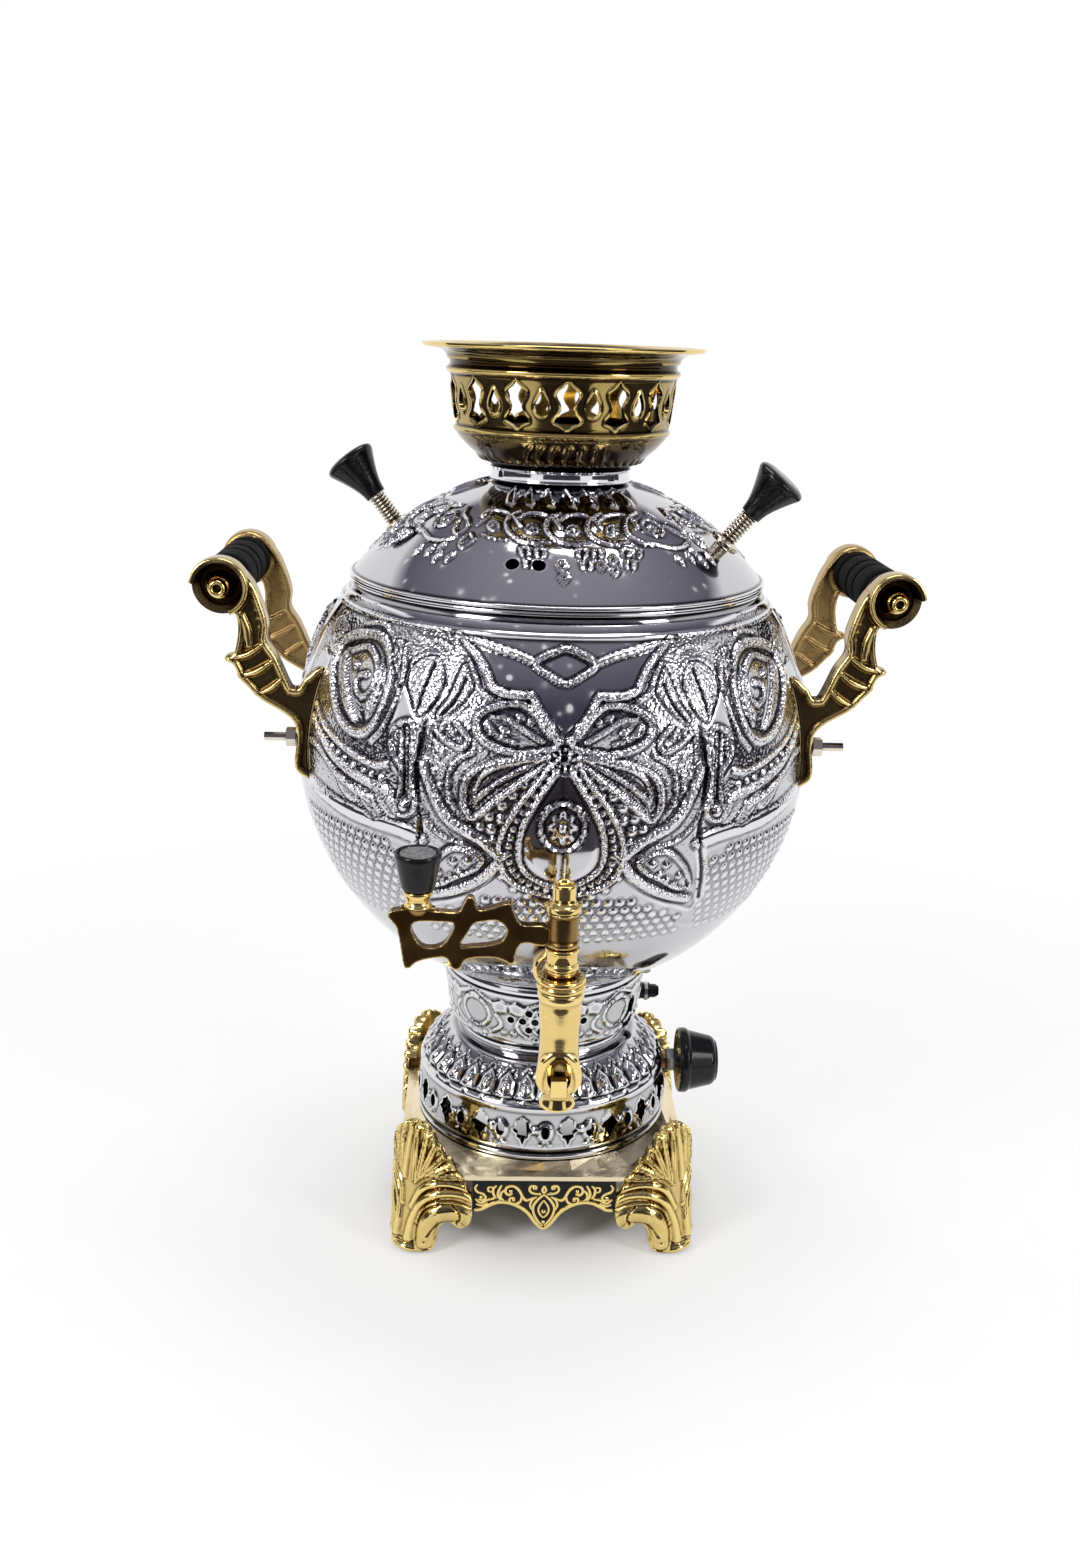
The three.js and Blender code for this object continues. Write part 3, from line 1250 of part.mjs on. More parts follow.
function igniterGroup() {
  const group = placed(new THREE.Group(), 0, igniter.offset, neckZ + neck.height * igniterHeightShare);
  group.rotation.y = quarterTurn;
  const bodyX = radiusAt(neckShares, neck.radius, igniterHeightShare) + igniter.gap;
  const mouthX = bodyX + igniter.length;
  const bandX = bodyX + igniter.bandGap;
  const buttonX = mouthX - igniter.buttonInset;
  const buttonEnd = buttonX + igniter.buttonLength;
  const bore = rod(igniter.boreRadius, mouthX - igniter.boreDepth, mouthX + overrun, facets.small);
  const body = cut(filled([
    [igniter.shankRadius, bodyX - igniter.shankLength],
    [igniter.shankRadius, bodyX],
    [igniter.radius, bodyX],
    [igniter.radius, mouthX],
  ], facets.small), bore);
  const band = tube(
    igniter.bandRadius, igniter.radius + clearance, bandX, bandX + igniter.bandLength, facets.small);
  const button = filled([
    [igniter.buttonRadius, buttonX],
    [igniter.buttonRadius, buttonEnd - igniter.buttonRadius / 2],
    [igniter.buttonTipRadius, buttonEnd],
  ], facets.small);
  group.add(
    named('igniter_body', body, bakelite),
    named('igniter_band', band, nickel),
    named('igniter_button', button, bakelite),
  );
  return group;
}

function leadBoot() {
  const high = vessel.radius + boot.length;
  const body = filled([
    [boot.radius, vessel.radius - overrun],
    [boot.radius, high - boot.tipLength],
    [boot.tipRadius, high],
  ], facets.small).rotateX(bootTilt).rotateZ(quarterTurn + bootTurn).translate(0, 0, centreZ);
  return named('igniter_boot', cut(body, vesselEnvelope()), rubber);
}

function neckScrewHead() {
  const low = radiusAt(neckShares, neck.radius, neckScrewShare) + clearance;
  const mesh = named('neck_screw', filled([
    [neckScrew.radius, low],
    [neckScrew.radius, low + neckScrew.edgeLength],
    [neckScrew.tipRadius, low + neckScrew.length],
  ], facets.hole), steel);
  mesh.rotation.y = quarterTurn;
  return placed(mesh, 0, 0, neckZ + neck.height * neckScrewShare);
}

// Assembly

const samovar = new THREE.Group();
samovar.add(
  vesselShell(), flueTube(), lidGroup(), crownGallery(),
  neckRing(), skirtShell(), basePlate(), ...feet(), ...aprons(),
  tapBoss(), tapBody(), tapGland(), tapKey(),
  handleGroup('right', ['front', 'back']),
  valveGroup(), burnerHead(), burnerBar(), gasInlet(), gasPipeRun(),
  igniterGroup(), leadBoot(), neckScrewHead(),
);
const leftHandle = handleGroup('left', ['back', 'front']);
leftHandle.rotation.z = halfTurn;
samovar.add(leftHandle);

// The part's origin is on the floor, under the middle of the whole object.
const middle = new THREE.Box3().setFromObject(samovar, true).getCenter(new THREE.Vector3());
samovar.position.set(-middle.x, -middle.y, 0);

export default samovar;
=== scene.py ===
"""Looks of a gas samovar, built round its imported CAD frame.

Sizes in the classes are millimetres, +Z is up, the tap points along -Y and the floor is z = 0.
Meshes are made in metres in the frame's own place, so that every object stays at the origin.
"""
from __future__ import annotations

import json
import logging
import math
from dataclasses import dataclass, field
from enum import Enum
from typing import Callable, Iterator, Sequence

import bmesh
import bpy
import numpy as np
from mathutils import Matrix, Vector

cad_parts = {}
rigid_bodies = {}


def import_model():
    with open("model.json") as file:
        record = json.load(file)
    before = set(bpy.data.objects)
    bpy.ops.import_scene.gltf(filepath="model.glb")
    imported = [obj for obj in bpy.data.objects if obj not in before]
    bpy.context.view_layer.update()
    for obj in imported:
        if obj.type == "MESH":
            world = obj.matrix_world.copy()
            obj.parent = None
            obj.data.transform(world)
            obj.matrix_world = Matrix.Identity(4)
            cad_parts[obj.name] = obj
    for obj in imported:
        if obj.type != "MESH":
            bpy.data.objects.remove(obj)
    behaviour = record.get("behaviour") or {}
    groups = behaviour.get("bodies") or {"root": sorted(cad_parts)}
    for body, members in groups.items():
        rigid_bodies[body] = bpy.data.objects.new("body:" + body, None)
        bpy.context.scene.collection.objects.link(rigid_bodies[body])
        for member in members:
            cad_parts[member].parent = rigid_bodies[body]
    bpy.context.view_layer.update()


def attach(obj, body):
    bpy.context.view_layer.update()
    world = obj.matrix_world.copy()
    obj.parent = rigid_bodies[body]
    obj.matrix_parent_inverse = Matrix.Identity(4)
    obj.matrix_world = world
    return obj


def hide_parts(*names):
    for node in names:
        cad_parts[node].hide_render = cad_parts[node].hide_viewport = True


LOG = logging.getLogger("samovar")
MM = 0.001
FULL_TURN = 2 * math.pi
AXIS_Y = 21.9004
IMAGE_WIDTH, IMAGE_HEIGHT = 1080, 1552
SMOOTH_ANGLE = math.radians(38)
# Turns of a shape's own +Z to the front, -Y, and to the right, +X.
TO_FRONT = Matrix.Rotation(math.pi / 2, 4, "X")
TO_RIGHT = Matrix.Rotation(math.pi / 2, 4, "Y")

Points = Sequence[tuple[float, float]]
Color = tuple[float, float, float]
Range = tuple[float, float]
Socket = bpy.types.NodeSocket
Piece = bpy.types.Object


class Slot(Enum):
    """Material slots of the record."""

    CHROME = "chrome"
    BRASS = "brass"
    PANEL = "black_panel"
    BAKELITE = "bakelite"
    NICKEL = "nickel"
    STEEL = "steel"
    IRON = "cast_iron"
    RUBBER = "rubber"


class Body(Enum):
    """Bodies of the frame."""

    FIXED = "samovar_body"
    LID = "lid"
    CROWN = "crown"
    TAP_KEY = "tap_key"
    GAS = "gas_control"


# Finishes


class NodeSheet:
    """Nodes of a material or a world, with short calls for what the finishes use."""

    def __init__(self, name: str, world: bool = False) -> None:
        """Starts an empty material or world.

        Args:
            name: its name.
            world: makes a world.
        """
        self.owner = (bpy.data.worlds if world else bpy.data.materials).new(name)
        self.owner.use_nodes = True
        self.tree = self.owner.node_tree
        self.tree.nodes.clear()
        self.output = self.add("OutputWorld" if world else "OutputMaterial")
        self.place = self.add("TexCoord").outputs["Generated" if world else "Object"]
        if not world:
            self.shader = self.add("BsdfPrincipled")
            self.tree.links.new(self.shader.outputs[0], self.output.inputs[0])

    def fill(self, node: bpy.types.Node, inputs: dict[str | int, object]) -> None:
        """Sets or links a node's inputs.

        Args:
            node: the node.
            inputs: a value or a socket for each input.
        """
        for key, value in inputs.items():
            if isinstance(value, Socket):
                self.tree.links.new(value, node.inputs[key])
            else:
                node.inputs[key].default_value = value

    def add(self, kind: str, inputs: dict[str | int, object] | None = None,
            **settings: object) -> bpy.types.Node:
        """Adds a node.

        Args:
            kind: its type, without ShaderNode.
            inputs: a value or a socket for each input.
            **settings: its other settings.

        Returns:
            The node.
        """
        node = self.tree.nodes.new(f"ShaderNode{kind}")
        for name, value in settings.items():
            setattr(node, name, value)
        self.fill(node, inputs or {})
        return node

    def noise(self, scale: float, detail: float = 3.0, stretch: Color = (1, 1, 1)) -> Socket:
        """Adds soft noise in object space.

        Args:
            scale: features per metre.
            detail: octaves.
            stretch: scale along each axis, for brushed or drawn metal.

        Returns:
            The noise value's socket.
        """
        mapping = self.add("Mapping", {"Scale": stretch, "Vector": self.place})
        inputs = {"Scale": scale, "Detail": detail, "Vector": mapping.outputs[0]}
        return self.add("TexNoise", inputs).outputs["Fac"]

    def cells(self, scale: float) -> Socket:
        """Adds rounded cells of a scale per metre, for punched and cast texture."""
        inputs = {"Scale": scale, "Vector": self.place}
        return self.add("TexVoronoi", inputs, feature="SMOOTH_F1").outputs["Distance"]

    def ramp(self, value: Socket, low: float, high: float, start: float = 0.0,
             end: float = 1.0) -> Socket:
        """Maps a value from low and high to start and end, held at both ends."""
        inputs = {"From Min": low, "From Max": high, "To Min": start, "To Max": end, "Value": value}
        return self.add("MapRange", inputs).outputs["Result"]

    def maths(self, operation: str, first: Socket, second: Socket) -> Socket:
        """Joins two sockets' values by one of the Math node's operations."""
        return self.add("Math", {0: first, 1: second}, operation=operation).outputs[0]

    def blend(self, value: Socket | float, first: Socket | Color, second: Socket | Color,
              mode: str = "MIX") -> Socket:
        """Blends two colours by a value.

        Args:
            value: the blend, 0 to 1.
            first: colour at 0.
            second: colour at 1.
            mode: the Mix node's blend type.

        Returns:
            The colour's socket.
        """
        ends = {key: end if isinstance(end, Socket) else (*end, 1)
                for key, end in (("A", first), ("B", second))}
        return self.add("Mix", {"Factor": value, **ends}, data_type="RGBA",
                        blend_type=mode).outputs["Result"]

    def open_metal(self, shade_pointiness: Range, reach: float, open_at: Range) -> Socket:
        """Masks painted shade: 0 in the mesh's hollows and recesses, 1 on its open edges and faces.

        Args:
            shade_pointiness: pointiness of a fully shaded hollow and of an unshaded edge.
            reach: how far off a wall still counts, in millimetres.
            open_at: openness that gives 0 and 1.

        Returns:
            The value's socket.
        """
        # Painted shade: concave pointiness and ambient occlusion darken hollows, recesses and
        # hidden faces.
        wear_and_shade = self.ramp(self.add("NewGeometry").outputs["Pointiness"], *shade_pointiness)
        shelter = self.add("AmbientOcclusion", {"Distance": reach * MM}, samples=6)
        return self.maths("MULTIPLY", wear_and_shade, self.ramp(shelter.outputs["AO"], *open_at))

    def bump(self, height: Socket, depth: float, below: Socket | None = None) -> Socket:
        """Turns a height, some millimetres deep, into a normal on top of the one below."""
        inputs = {"Distance": depth * MM, "Strength": 1.0, "Height": height}
        return self.add("Bump", inputs | ({"Normal": below} if below else {})).outputs[0]


@dataclass(frozen=True)
class Metal:
    """A polished, cast or brushed metal, with painted shade in its hollows."""

    slot: Slot
    color: Color
    hollow_shade: Color
    rough: Range
    wave: float = 0.0
    grain: float = 0.0
    stretch: Color = (1, 1, 1)
    punched: bool = False
    reach: float = 5.0
    shade_pointiness: Range = (0.44, 0.5)
    open_at: Range = (0.35, 0.85)
    grain_scale: float = 900.0
    punch_scale: float = 760.0
    punch_depth: float = 0.8

    def build(self, name: str) -> bpy.types.Material:
        """Builds the metal's nodes.

        Args:
            name: the material's name.

        Returns:
            The material.
        """
        sheet = NodeSheet(name)
        # Mask of the painted shade: 0 in hollows and hidden faces, 1 on open faces.
        unshaded = sheet.open_metal(self.shade_pointiness, self.reach, self.open_at)
        stain = sheet.ramp(sheet.noise(90, 4), 0.35, 0.7, *self.rough)
        normal = sheet.bump(sheet.noise(55, 2), self.wave) if self.wave else None
        if self.grain:
            height = sheet.noise(self.grain_scale, 4, self.stretch)
            normal = sheet.bump(height, self.grain, normal)
        if self.punched:
            mask = sheet.add("Attribute", attribute_name="punch").outputs["Fac"]
            height = sheet.maths("MULTIPLY", sheet.cells(self.punch_scale), mask)
            normal = sheet.bump(height, self.punch_depth, normal)
        # Base colour blends from the painted shade's dark colour to the metal's own colour.
        sheet.fill(sheet.shader, {"Metallic": 1.0, "Roughness": stain,
                                  "Base Color": sheet.blend(unshaded, self.hollow_shade, self.color)})
        if normal:
            sheet.fill(sheet.shader, {"Normal": normal})
        return sheet.owner


@dataclass(frozen=True)
class Moulded:
    """A moulded black plastic, rubber or paint."""

    slot: Slot
    color: Color
    wear_and_shade: Color
    rough: Range
    shine: float = 0.3
    coat: float = 0.0
    grain: float = 0.05

    def build(self, name: str) -> bpy.types.Material:
        """Builds the plastic's nodes.

        Args:
            name: the material's name.

        Returns:
            The material.
        """
        sheet = NodeSheet(name)
        dust = sheet.noise(260, 5)
        sheet.fill(sheet.shader, {
            "Specular IOR Level": self.shine, "Coat Weight": self.coat, "Coat Roughness": 0.06,
            "Base Color": sheet.blend(sheet.ramp(dust, 0.45, 0.8), self.color, self.wear_and_shade),
            "Roughness": sheet.ramp(dust, 0.3, 0.75, *self.rough),
            "Normal": sheet.bump(sheet.noise(1400, 3), self.grain)})
        return sheet.owner


class Finish(Enum):
    """The finishes."""

    # Each metal's second colour is painted shade, laid into its hollows by pointiness and ambient
    # occlusion. On the embossed chrome this near-black painted shade darkens the relief's hollows
    # and part of its flats.
    EMBOSSED_CHROME = Metal(
        Slot.CHROME, (0.76, 0.76, 0.79), (0.05, 0.045, 0.055), (0.05, 0.12), wave=0.05,
        punched=True, reach=4.0, shade_pointiness=(0.475, 0.51))
    # Painted shade, near black, fills the neck's and skirt's insides and hidden faces, found by
    # ambient occlusion over 150 mm.
    FOOT_CHROME = Metal(
        Slot.CHROME, (0.74, 0.74, 0.76), (0.012, 0.011, 0.013), (0.05, 0.12), wave=0.05,
        reach=150.0, shade_pointiness=(0.475, 0.512), open_at=(0.22, 0.42))
    PLAIN_CHROME = Metal(
        Slot.CHROME, (0.80, 0.81, 0.85), (0.35, 0.34, 0.38), (0.04, 0.09), wave=0.03)
    POLISHED_BRASS = Metal(
        Slot.BRASS, (0.86, 0.64, 0.24), (0.30, 0.15, 0.03), (0.06, 0.14), wave=0.05, reach=8.0)
    # Painted shade darkens the crown's inside, which the openings show.
    CROWN_BRASS = Metal(
        Slot.BRASS, (0.84, 0.63, 0.23), (0.035, 0.018, 0.006), (0.06, 0.14), wave=0.05,
        reach=60.0, shade_pointiness=(0.475, 0.52), open_at=(0.66, 0.92))
    CAST_BRASS = Metal(
        Slot.BRASS, (0.90, 0.70, 0.27), (0.14, 0.06, 0.012), (0.09, 0.2), wave=0.12, grain=0.04,
        shade_pointiness=(0.44, 0.525))
    ARM_BRASS = Metal(
        Slot.BRASS, (0.90, 0.69, 0.29), (0.10, 0.05, 0.012), (0.1, 0.2), wave=0.1, grain=0.04,
        reach=20.0, shade_pointiness=(0.475, 0.54), open_at=(0.4, 0.85))
    TAP_BRASS = Metal(
        Slot.BRASS, (0.90, 0.68, 0.27), (0.12, 0.055, 0.012), (0.07, 0.15), wave=0.06,
        grain=0.02, shade_pointiness=(0.46, 0.51))
    BRUSHED_BRASS = Metal(
        Slot.BRASS, (0.50, 0.34, 0.14), (0.14, 0.07, 0.02), (0.22, 0.38), grain=0.08,
        stretch=(1, 1, 9), reach=14.0)
    # Painted shadow, near black, covers the base plate where the vessel and skirt hide it, found by
    # ambient occlusion over 150 mm.
    SATIN_BRASS_PLATE = Metal(
        Slot.BRASS, (0.84, 0.72, 0.48), (0.03, 0.02, 0.01), (0.12, 0.28), wave=0.05, grain=0.03,
        stretch=(1, 8, 1), reach=150.0, open_at=(0.04, 0.16))
    LEVER_BRASS = Metal(
        Slot.BRASS, (0.90, 0.66, 0.28), (0.17, 0.085, 0.022), (0.14, 0.28), wave=0.1,
        grain=0.08, shade_pointiness=(0.495, 0.555))
    WARM_NICKEL = Metal(Slot.NICKEL, (0.74, 0.68, 0.56), (0.3, 0.25, 0.18), (0.1, 0.2))
    PLAIN_STEEL = Metal(
        Slot.STEEL, (0.40, 0.40, 0.42), (0.15, 0.15, 0.16), (0.25, 0.42), grain=0.04)
    ROUGH_IRON = Metal(
        Slot.IRON, (0.12, 0.115, 0.11), (0.05, 0.045, 0.04), (0.55, 0.8), grain=0.2)
    BLACK_BAKELITE = Moulded(
        Slot.BAKELITE, (0.006, 0.006, 0.007), (0.014, 0.014, 0.016), (0.1, 0.2), 0.2, 0.12)
    GRIP_BAKELITE = Moulded(
        Slot.BAKELITE, (0.004, 0.004, 0.004), (0.008, 0.008, 0.008), (0.5, 0.65), 0.02)
    DISHED_CAP = Moulded(
        Slot.BAKELITE, (0.13, 0.13, 0.135), (0.22, 0.22, 0.22), (0.2, 0.34), 0.4, 0.2)
    BLACK_PAINT = Moulded(
        Slot.PANEL, (0.009, 0.008, 0.007), (0.02, 0.017, 0.014), (0.3, 0.5), 0.2, grain=0.12)
    BLACK_RUBBER = Moulded(
        Slot.RUBBER, (0.010, 0.010, 0.010), (0.025, 0.025, 0.025), (0.5, 0.7), 0.2, grain=0.15)


# Mesh tools


def smooth_path(points: Points, spacing: float, closed: bool = False) -> np.ndarray:
    """Runs a smooth curve through points and cuts it evenly.

    Args:
        points: points of any dimension.
        spacing: distance between the results.
        closed: joins the last point to the first.

    Returns:
        An array of points.
    """
    base = np.asarray(points, float)
    if closed:
        padded = np.vstack([base[-1], base, base[0], base[1]])
    else:
        padded = np.vstack([2 * base[0] - base[1], base, 2 * base[-1] - base[-2]])
    out = []
    for i in range(len(padded) - 3):
        a, b, c, d = padded[i:i + 4]
        steps = max(1, int(np.linalg.norm(c - b) / spacing))
        t = (np.arange(steps) / steps)[:, None]
        out.append(0.5 * (2 * b + (c - a) * t + (2 * a - 5 * b + 4 * c - d) * t ** 2
                          + (3 * b - a - 3 * c + d) * t ** 3))
    if not closed:
        out.append(base[-1:])
    return np.vstack(out)


def path_distance(u: np.ndarray, v: np.ndarray, path: np.ndarray, closed: bool) -> np.ndarray:
    """Measures how far points are from a path.

    Args:
        u: first coordinates.
        v: second coordinates.
        path: the path's corners.
        closed: counts the span from its end to its start.

    Returns:
        The distances.
    """
    ends = np.roll(path, -1, 0) if closed else path[1:]
    best = np.full(u.shape, np.inf)
    for (ax, ay), (bx, by) in zip(path, ends):
        dx, dy = bx - ax, by - ay
        t = np.clip(((u - ax) * dx + (v - ay) * dy) / (dx * dx + dy * dy + 1e-12), 0, 1)
        np.minimum(best, (u - ax - t * dx) ** 2 + (v - ay - t * dy) ** 2, out=best)
    return np.sqrt(best)


def inside(u: np.ndarray, v: np.ndarray, path: np.ndarray) -> np.ndarray:
    """Tells which points lie inside a closed path.

    Args:
        u: first coordinates.
        v: second coordinates.
        path: the path's corners.

    Returns:
        True for each point inside.
    """
    hit = np.zeros(u.shape, bool)
    for (ax, ay), (bx, by) in zip(path, np.roll(path, -1, 0)):
        if ay != by:
            hit ^= ((ay > v) != (by > v)) & (u < (bx - ax) * (v - ay) / (by - ay) + ax)
    return hit


def even_angles(count: int) -> np.ndarray:
    """Gives evenly spaced angles of a full turn."""
    return np.arange(count) * FULL_TURN / count


def oval(across: float, up: float, count: int, x: float = 0.0,
         y: float = 0.0) -> list[tuple[float, float]]:
    """Gives the corners of an oval with these half sizes round (x, y)."""
    return [(x + across * math.cos(a), y + up * math.sin(a)) for a in even_angles(count)]


def mirrored(points: Sequence[Sequence[float]]) -> list[tuple[float, ...]]:
    """Mirrors points to the other side of x = 0."""
    return [(-p[0], *p[1:]) for p in points]


def outward_normals(path: np.ndarray) -> np.ndarray:
    """Gives unit normals to the right of a path of [x, y] points."""
    step = np.gradient(path, axis=0)
    step /= np.linalg.norm(step, axis=1)[:, None]
    return np.stack([step[:, 1], -step[:, 0]], 1)


@dataclass
class Relief:
    """Heights drawn over a sheet, in millimetres of the sheet's own u and v.

    Ridges take the highest of what overlaps; areas and grooves shape the ground under them.
    """

    u: np.ndarray
    v: np.ndarray
    flip: bool = False
    ridges: np.ndarray = field(init=False)
    ground: np.ndarray = field(init=False)
    punch: np.ndarray = field(init=False)

    def __post_init__(self) -> None:
        """Starts with a flat sheet."""
        self.grid = self.u.shape
        self.u, self.v = self.u.ravel(), self.v.ravel()
        self.ridges, self.ground, self.punch = (np.zeros(self.u.shape) for _ in range(3))

    def both_sides(self) -> Iterator[bool]:
        """Draws what a loop over it holds as written, then mirrored to the other side of u = 0."""
        for self.flip in (False, True):
            yield self.flip
        self.flip = False

    def near(self, points: Points, spacing: float, margin: float,
             closed: bool = False) -> tuple[np.ndarray, np.ndarray]:
        """Lays a smooth path on the sheet.

        Args:
            points: the path's points, mirrored where the sheet is flipped.
            spacing: distance between its corners.
            margin: how far round it the sheet matters.
            closed: joins its ends.

        Returns:
            The path, and flat indices of the sheet's points near it.
        """
        points = mirrored(points) if self.flip else points
        path = smooth_path(points, spacing, closed) if len(points) > 1 else np.array(points)
        low, high = path.min(0) - margin, path.max(0) + margin
        return path, np.flatnonzero((self.u > low[0]) & (self.u < high[0])
                                    & (self.v > low[1]) & (self.v < high[1]))

    def ridge(self, points: Points, width: float, rise: float, punch: float = 0.0,
              closed: bool = False) -> None:
        """Draws a rounded ridge, or a groove where rise is negative.

        Args:
            points: the ridge's line.
            width: its width.
            rise: its height.
            punch: how much of the punched texture lies on it.
            closed: joins its ends.
        """
        path, pick = self.near(points, 2.0, width, closed)
        gap = path_distance(self.u[pick], self.v[pick], path, closed)
        shape = np.clip(1 - (gap / (width / 2)) ** 2, 0, 1)
        shape = np.sqrt(shape) * (0.6 + 0.4 * shape)
        if rise > 0:
            self.ridges[pick] = np.maximum(self.ridges[pick], rise * shape)
        else:
            self.ground[pick] = np.minimum(self.ground[pick], rise * shape)
        self.punch[pick] = np.maximum(self.punch[pick], punch * np.clip(2 * shape, 0, 1))

    def area(self, points: Points, rise: float, edge: float, punch: float = 0.0) -> None:
        """Raises or sinks the inside of an outline with a soft edge.

        Args:
            points: the outline.
            rise: its height inside.
            edge: width of the slope.
            punch: how much of the punched texture lies in it.
        """
        path, pick = self.near(points, 3.0, edge, True)
        u, v = self.u[pick], self.v[pick]
        depth = path_distance(u, v, path, True) * np.where(inside(u, v, path), 1, -1)
        share = np.clip(0.5 + depth / edge, 0, 1)
        share = share * share * (3 - 2 * share)
        self.ground[pick] = self.ground[pick] * (1 - share) + rise * share
        self.punch[pick] = self.punch[pick] * (1 - share) + punch * share

    def dome(self, centre: Sequence[float], radius: float, rise: float) -> None:
        """Raises a round bead, or sinks a dimple.

        Args:
            centre: its middle.
            radius: its radius.
            rise: its height.
        """
        path, pick = self.near([tuple(centre)], 1.0, radius)
        reach = (self.u[pick] - path[0, 0]) ** 2 + (self.v[pick] - path[0, 1]) ** 2
        shape = np.clip(1 - reach / radius ** 2, 0, 1)
        self.ridges[pick] = np.maximum(self.ridges[pick], rise * np.sqrt(shape))
        self.punch[pick] *= 1 - np.clip(2 * shape, 0, 1)

    def beads(self, points: Points, pitch: float, radius: float, rise: float,
              closed: bool = False) -> None:
        """Sets beads of a radius and a rise along a line, at a pitch."""
        for spot in smooth_path(points, pitch, closed):
            self.dome(spot, radius, rise)

    def heights(self) -> np.ndarray:
        """Gives the sheet's final heights."""
        return (self.ground + self.ridges).reshape(self.grid)


def link_piece(name: str, mesh: bpy.types.Mesh) -> Piece:
    """Makes a mesh an object of the scene."""
    piece = bpy.data.objects.new(name, mesh)
    bpy.context.scene.collection.objects.link(piece)
    return piece


def new_piece(name: str, verts: np.ndarray, faces: Sequence[Sequence[int]] | np.ndarray,
              punch: np.ndarray | None = None) -> Piece:
    """Makes a mesh object from corners in millimetres.

    Args:
        name: the piece's name.
        verts: corners, in millimetres.
        faces: corner numbers of each face.
        punch: value of the punched texture at each corner.

    Returns:
        The object.
    """
    mesh = bpy.data.meshes.new(name)
    corners = (np.asarray(verts, float) * MM).tolist()
    mesh.from_pydata(corners, [], [tuple(map(int, f)) for f in faces])
    if punch is not None:
        layer = mesh.attributes.new("punch", "FLOAT", "POINT")
        layer.data.foreach_set("value", np.asarray(punch, np.float32))
    return link_piece(name, mesh)


def shade(piece: Piece, angle: float = SMOOTH_ANGLE) -> None:
    """Shades a piece smooth, with its edges over an angle kept sharp."""
    piece.data.shade_smooth()
    piece.data.set_sharp_from_angle(angle=angle)


def face_outwards(piece: Piece) -> None:
    """Turns all faces of a closed piece outwards.

    Args:
        piece: the object.
    """
    mesh = bmesh.new()
    mesh.from_mesh(piece.data)
    bmesh.ops.recalc_face_normals(mesh, faces=mesh.faces[:])
    mesh.to_mesh(piece.data)
    mesh.free()


def move(piece: Piece, place: Matrix) -> Piece:
    """Moves a piece's mesh.

    Args:
        piece: the object.
        place: where it goes, in millimetres.

    Returns:
        The object.
    """
    scaled = place.copy()
    scaled.translation *= MM
    piece.data.transform(scaled)
    return piece


def grid_faces(rows: int, columns: int, loop_rows: bool, loop_columns: bool) -> np.ndarray:
    """Gives the faces of a grid of corners.

    Args:
        rows: number of rows.
        columns: corners in a row.
        loop_rows: joins the last row to the first.
        loop_columns: joins each row's ends.

    Returns:
        An array of four corner numbers per face.
    """
    r = np.arange(rows if loop_rows else rows - 1)
    c = np.arange(columns if loop_columns else columns - 1)
    r, c = (a.ravel() for a in np.meshgrid(r, c, indexing="ij"))
    down, right = (r + 1) % rows * columns, (c + 1) % columns
    return np.stack([r * columns + c, r * columns + right, down + right, down + c], 1)


def rounded(profile: Points, radius: float, closed: bool = False) -> list[tuple[float, float]]:
    """Rounds the corners of a profile.

    Args:
        profile: the profile's corners.
        radius: how far from a corner the rounding starts, at most.
        closed: rounds the first and last corner too.

    Returns:
        The new profile.
    """
    points = [np.array(p, float) for p in profile]
    count, steps = len(points), 3
    out: list[tuple[float, float]] = []
    for i, corner in enumerate(points):
        if not closed and i in (0, count - 1):
            out.append(tuple(corner))
            continue
        a, b = points[i - 1] - corner, points[(i + 1) % count] - corner
        la, lb = np.linalg.norm(a), np.linalg.norm(b)
        cut = min(radius, 0.45 * la, 0.45 * lb)
        start, end = corner + a / la * cut, corner + b / lb * cut
        for s in range(steps + 1):
            t = s / steps
            out.append(tuple((1 - t) ** 2 * start + 2 * t * (1 - t) * corner + t * t * end))
    return out


def turned(name: str, profile: Points, segments: int, place: Matrix,
           rounding: float = 0.0) -> Piece:
    """Turns a profile round +Z, closed by the axis where it starts and ends there.

    Args:
        name: the piece's name.
        profile: [radius, z] corners; it closes on itself where it doesn't start on the axis.
        segments: facets round.
        place: where the turned shape goes, in millimetres.
        rounding: how far the profile's corners are rounded.

    Returns:
        The object.
    """
    on_axis = profile[0][0] < 1e-6
    if rounding:
        profile = rounded(profile, rounding, not on_axis)
    body = np.array(profile[1:-1] if on_axis else profile, float)
    angle = even_angles(segments)
    ring = np.stack([np.cos(angle), np.sin(angle)], 1)
    verts = np.concatenate([np.concatenate([ring * r, np.full((segments, 1), z)], 1)
                            for r, z in body])
    faces = grid_faces(len(body), segments, not on_axis, True).tolist()
    if on_axis:
        low, high, last = len(verts), len(verts) + 1, (len(body) - 1) * segments
        verts = np.vstack([verts, [0, 0, profile[0][1]], [0, 0, profile[-1][1]]])
        for i in range(segments):
            j = (i + 1) % segments
            faces += [(low, j, i), (high, last + i, last + j)]
    piece = move(new_piece(name, verts, faces), place)
    shade(piece)
    return piece


def drill(radius: float, near: float, far: float, segments: int, place: Matrix) -> Piece:
    """Makes a round cutter between two heights of its own +Z."""
    profile = [(0, near), (radius, near), (radius, far), (0, far)]
    return turned("cutter", profile, segments, place)


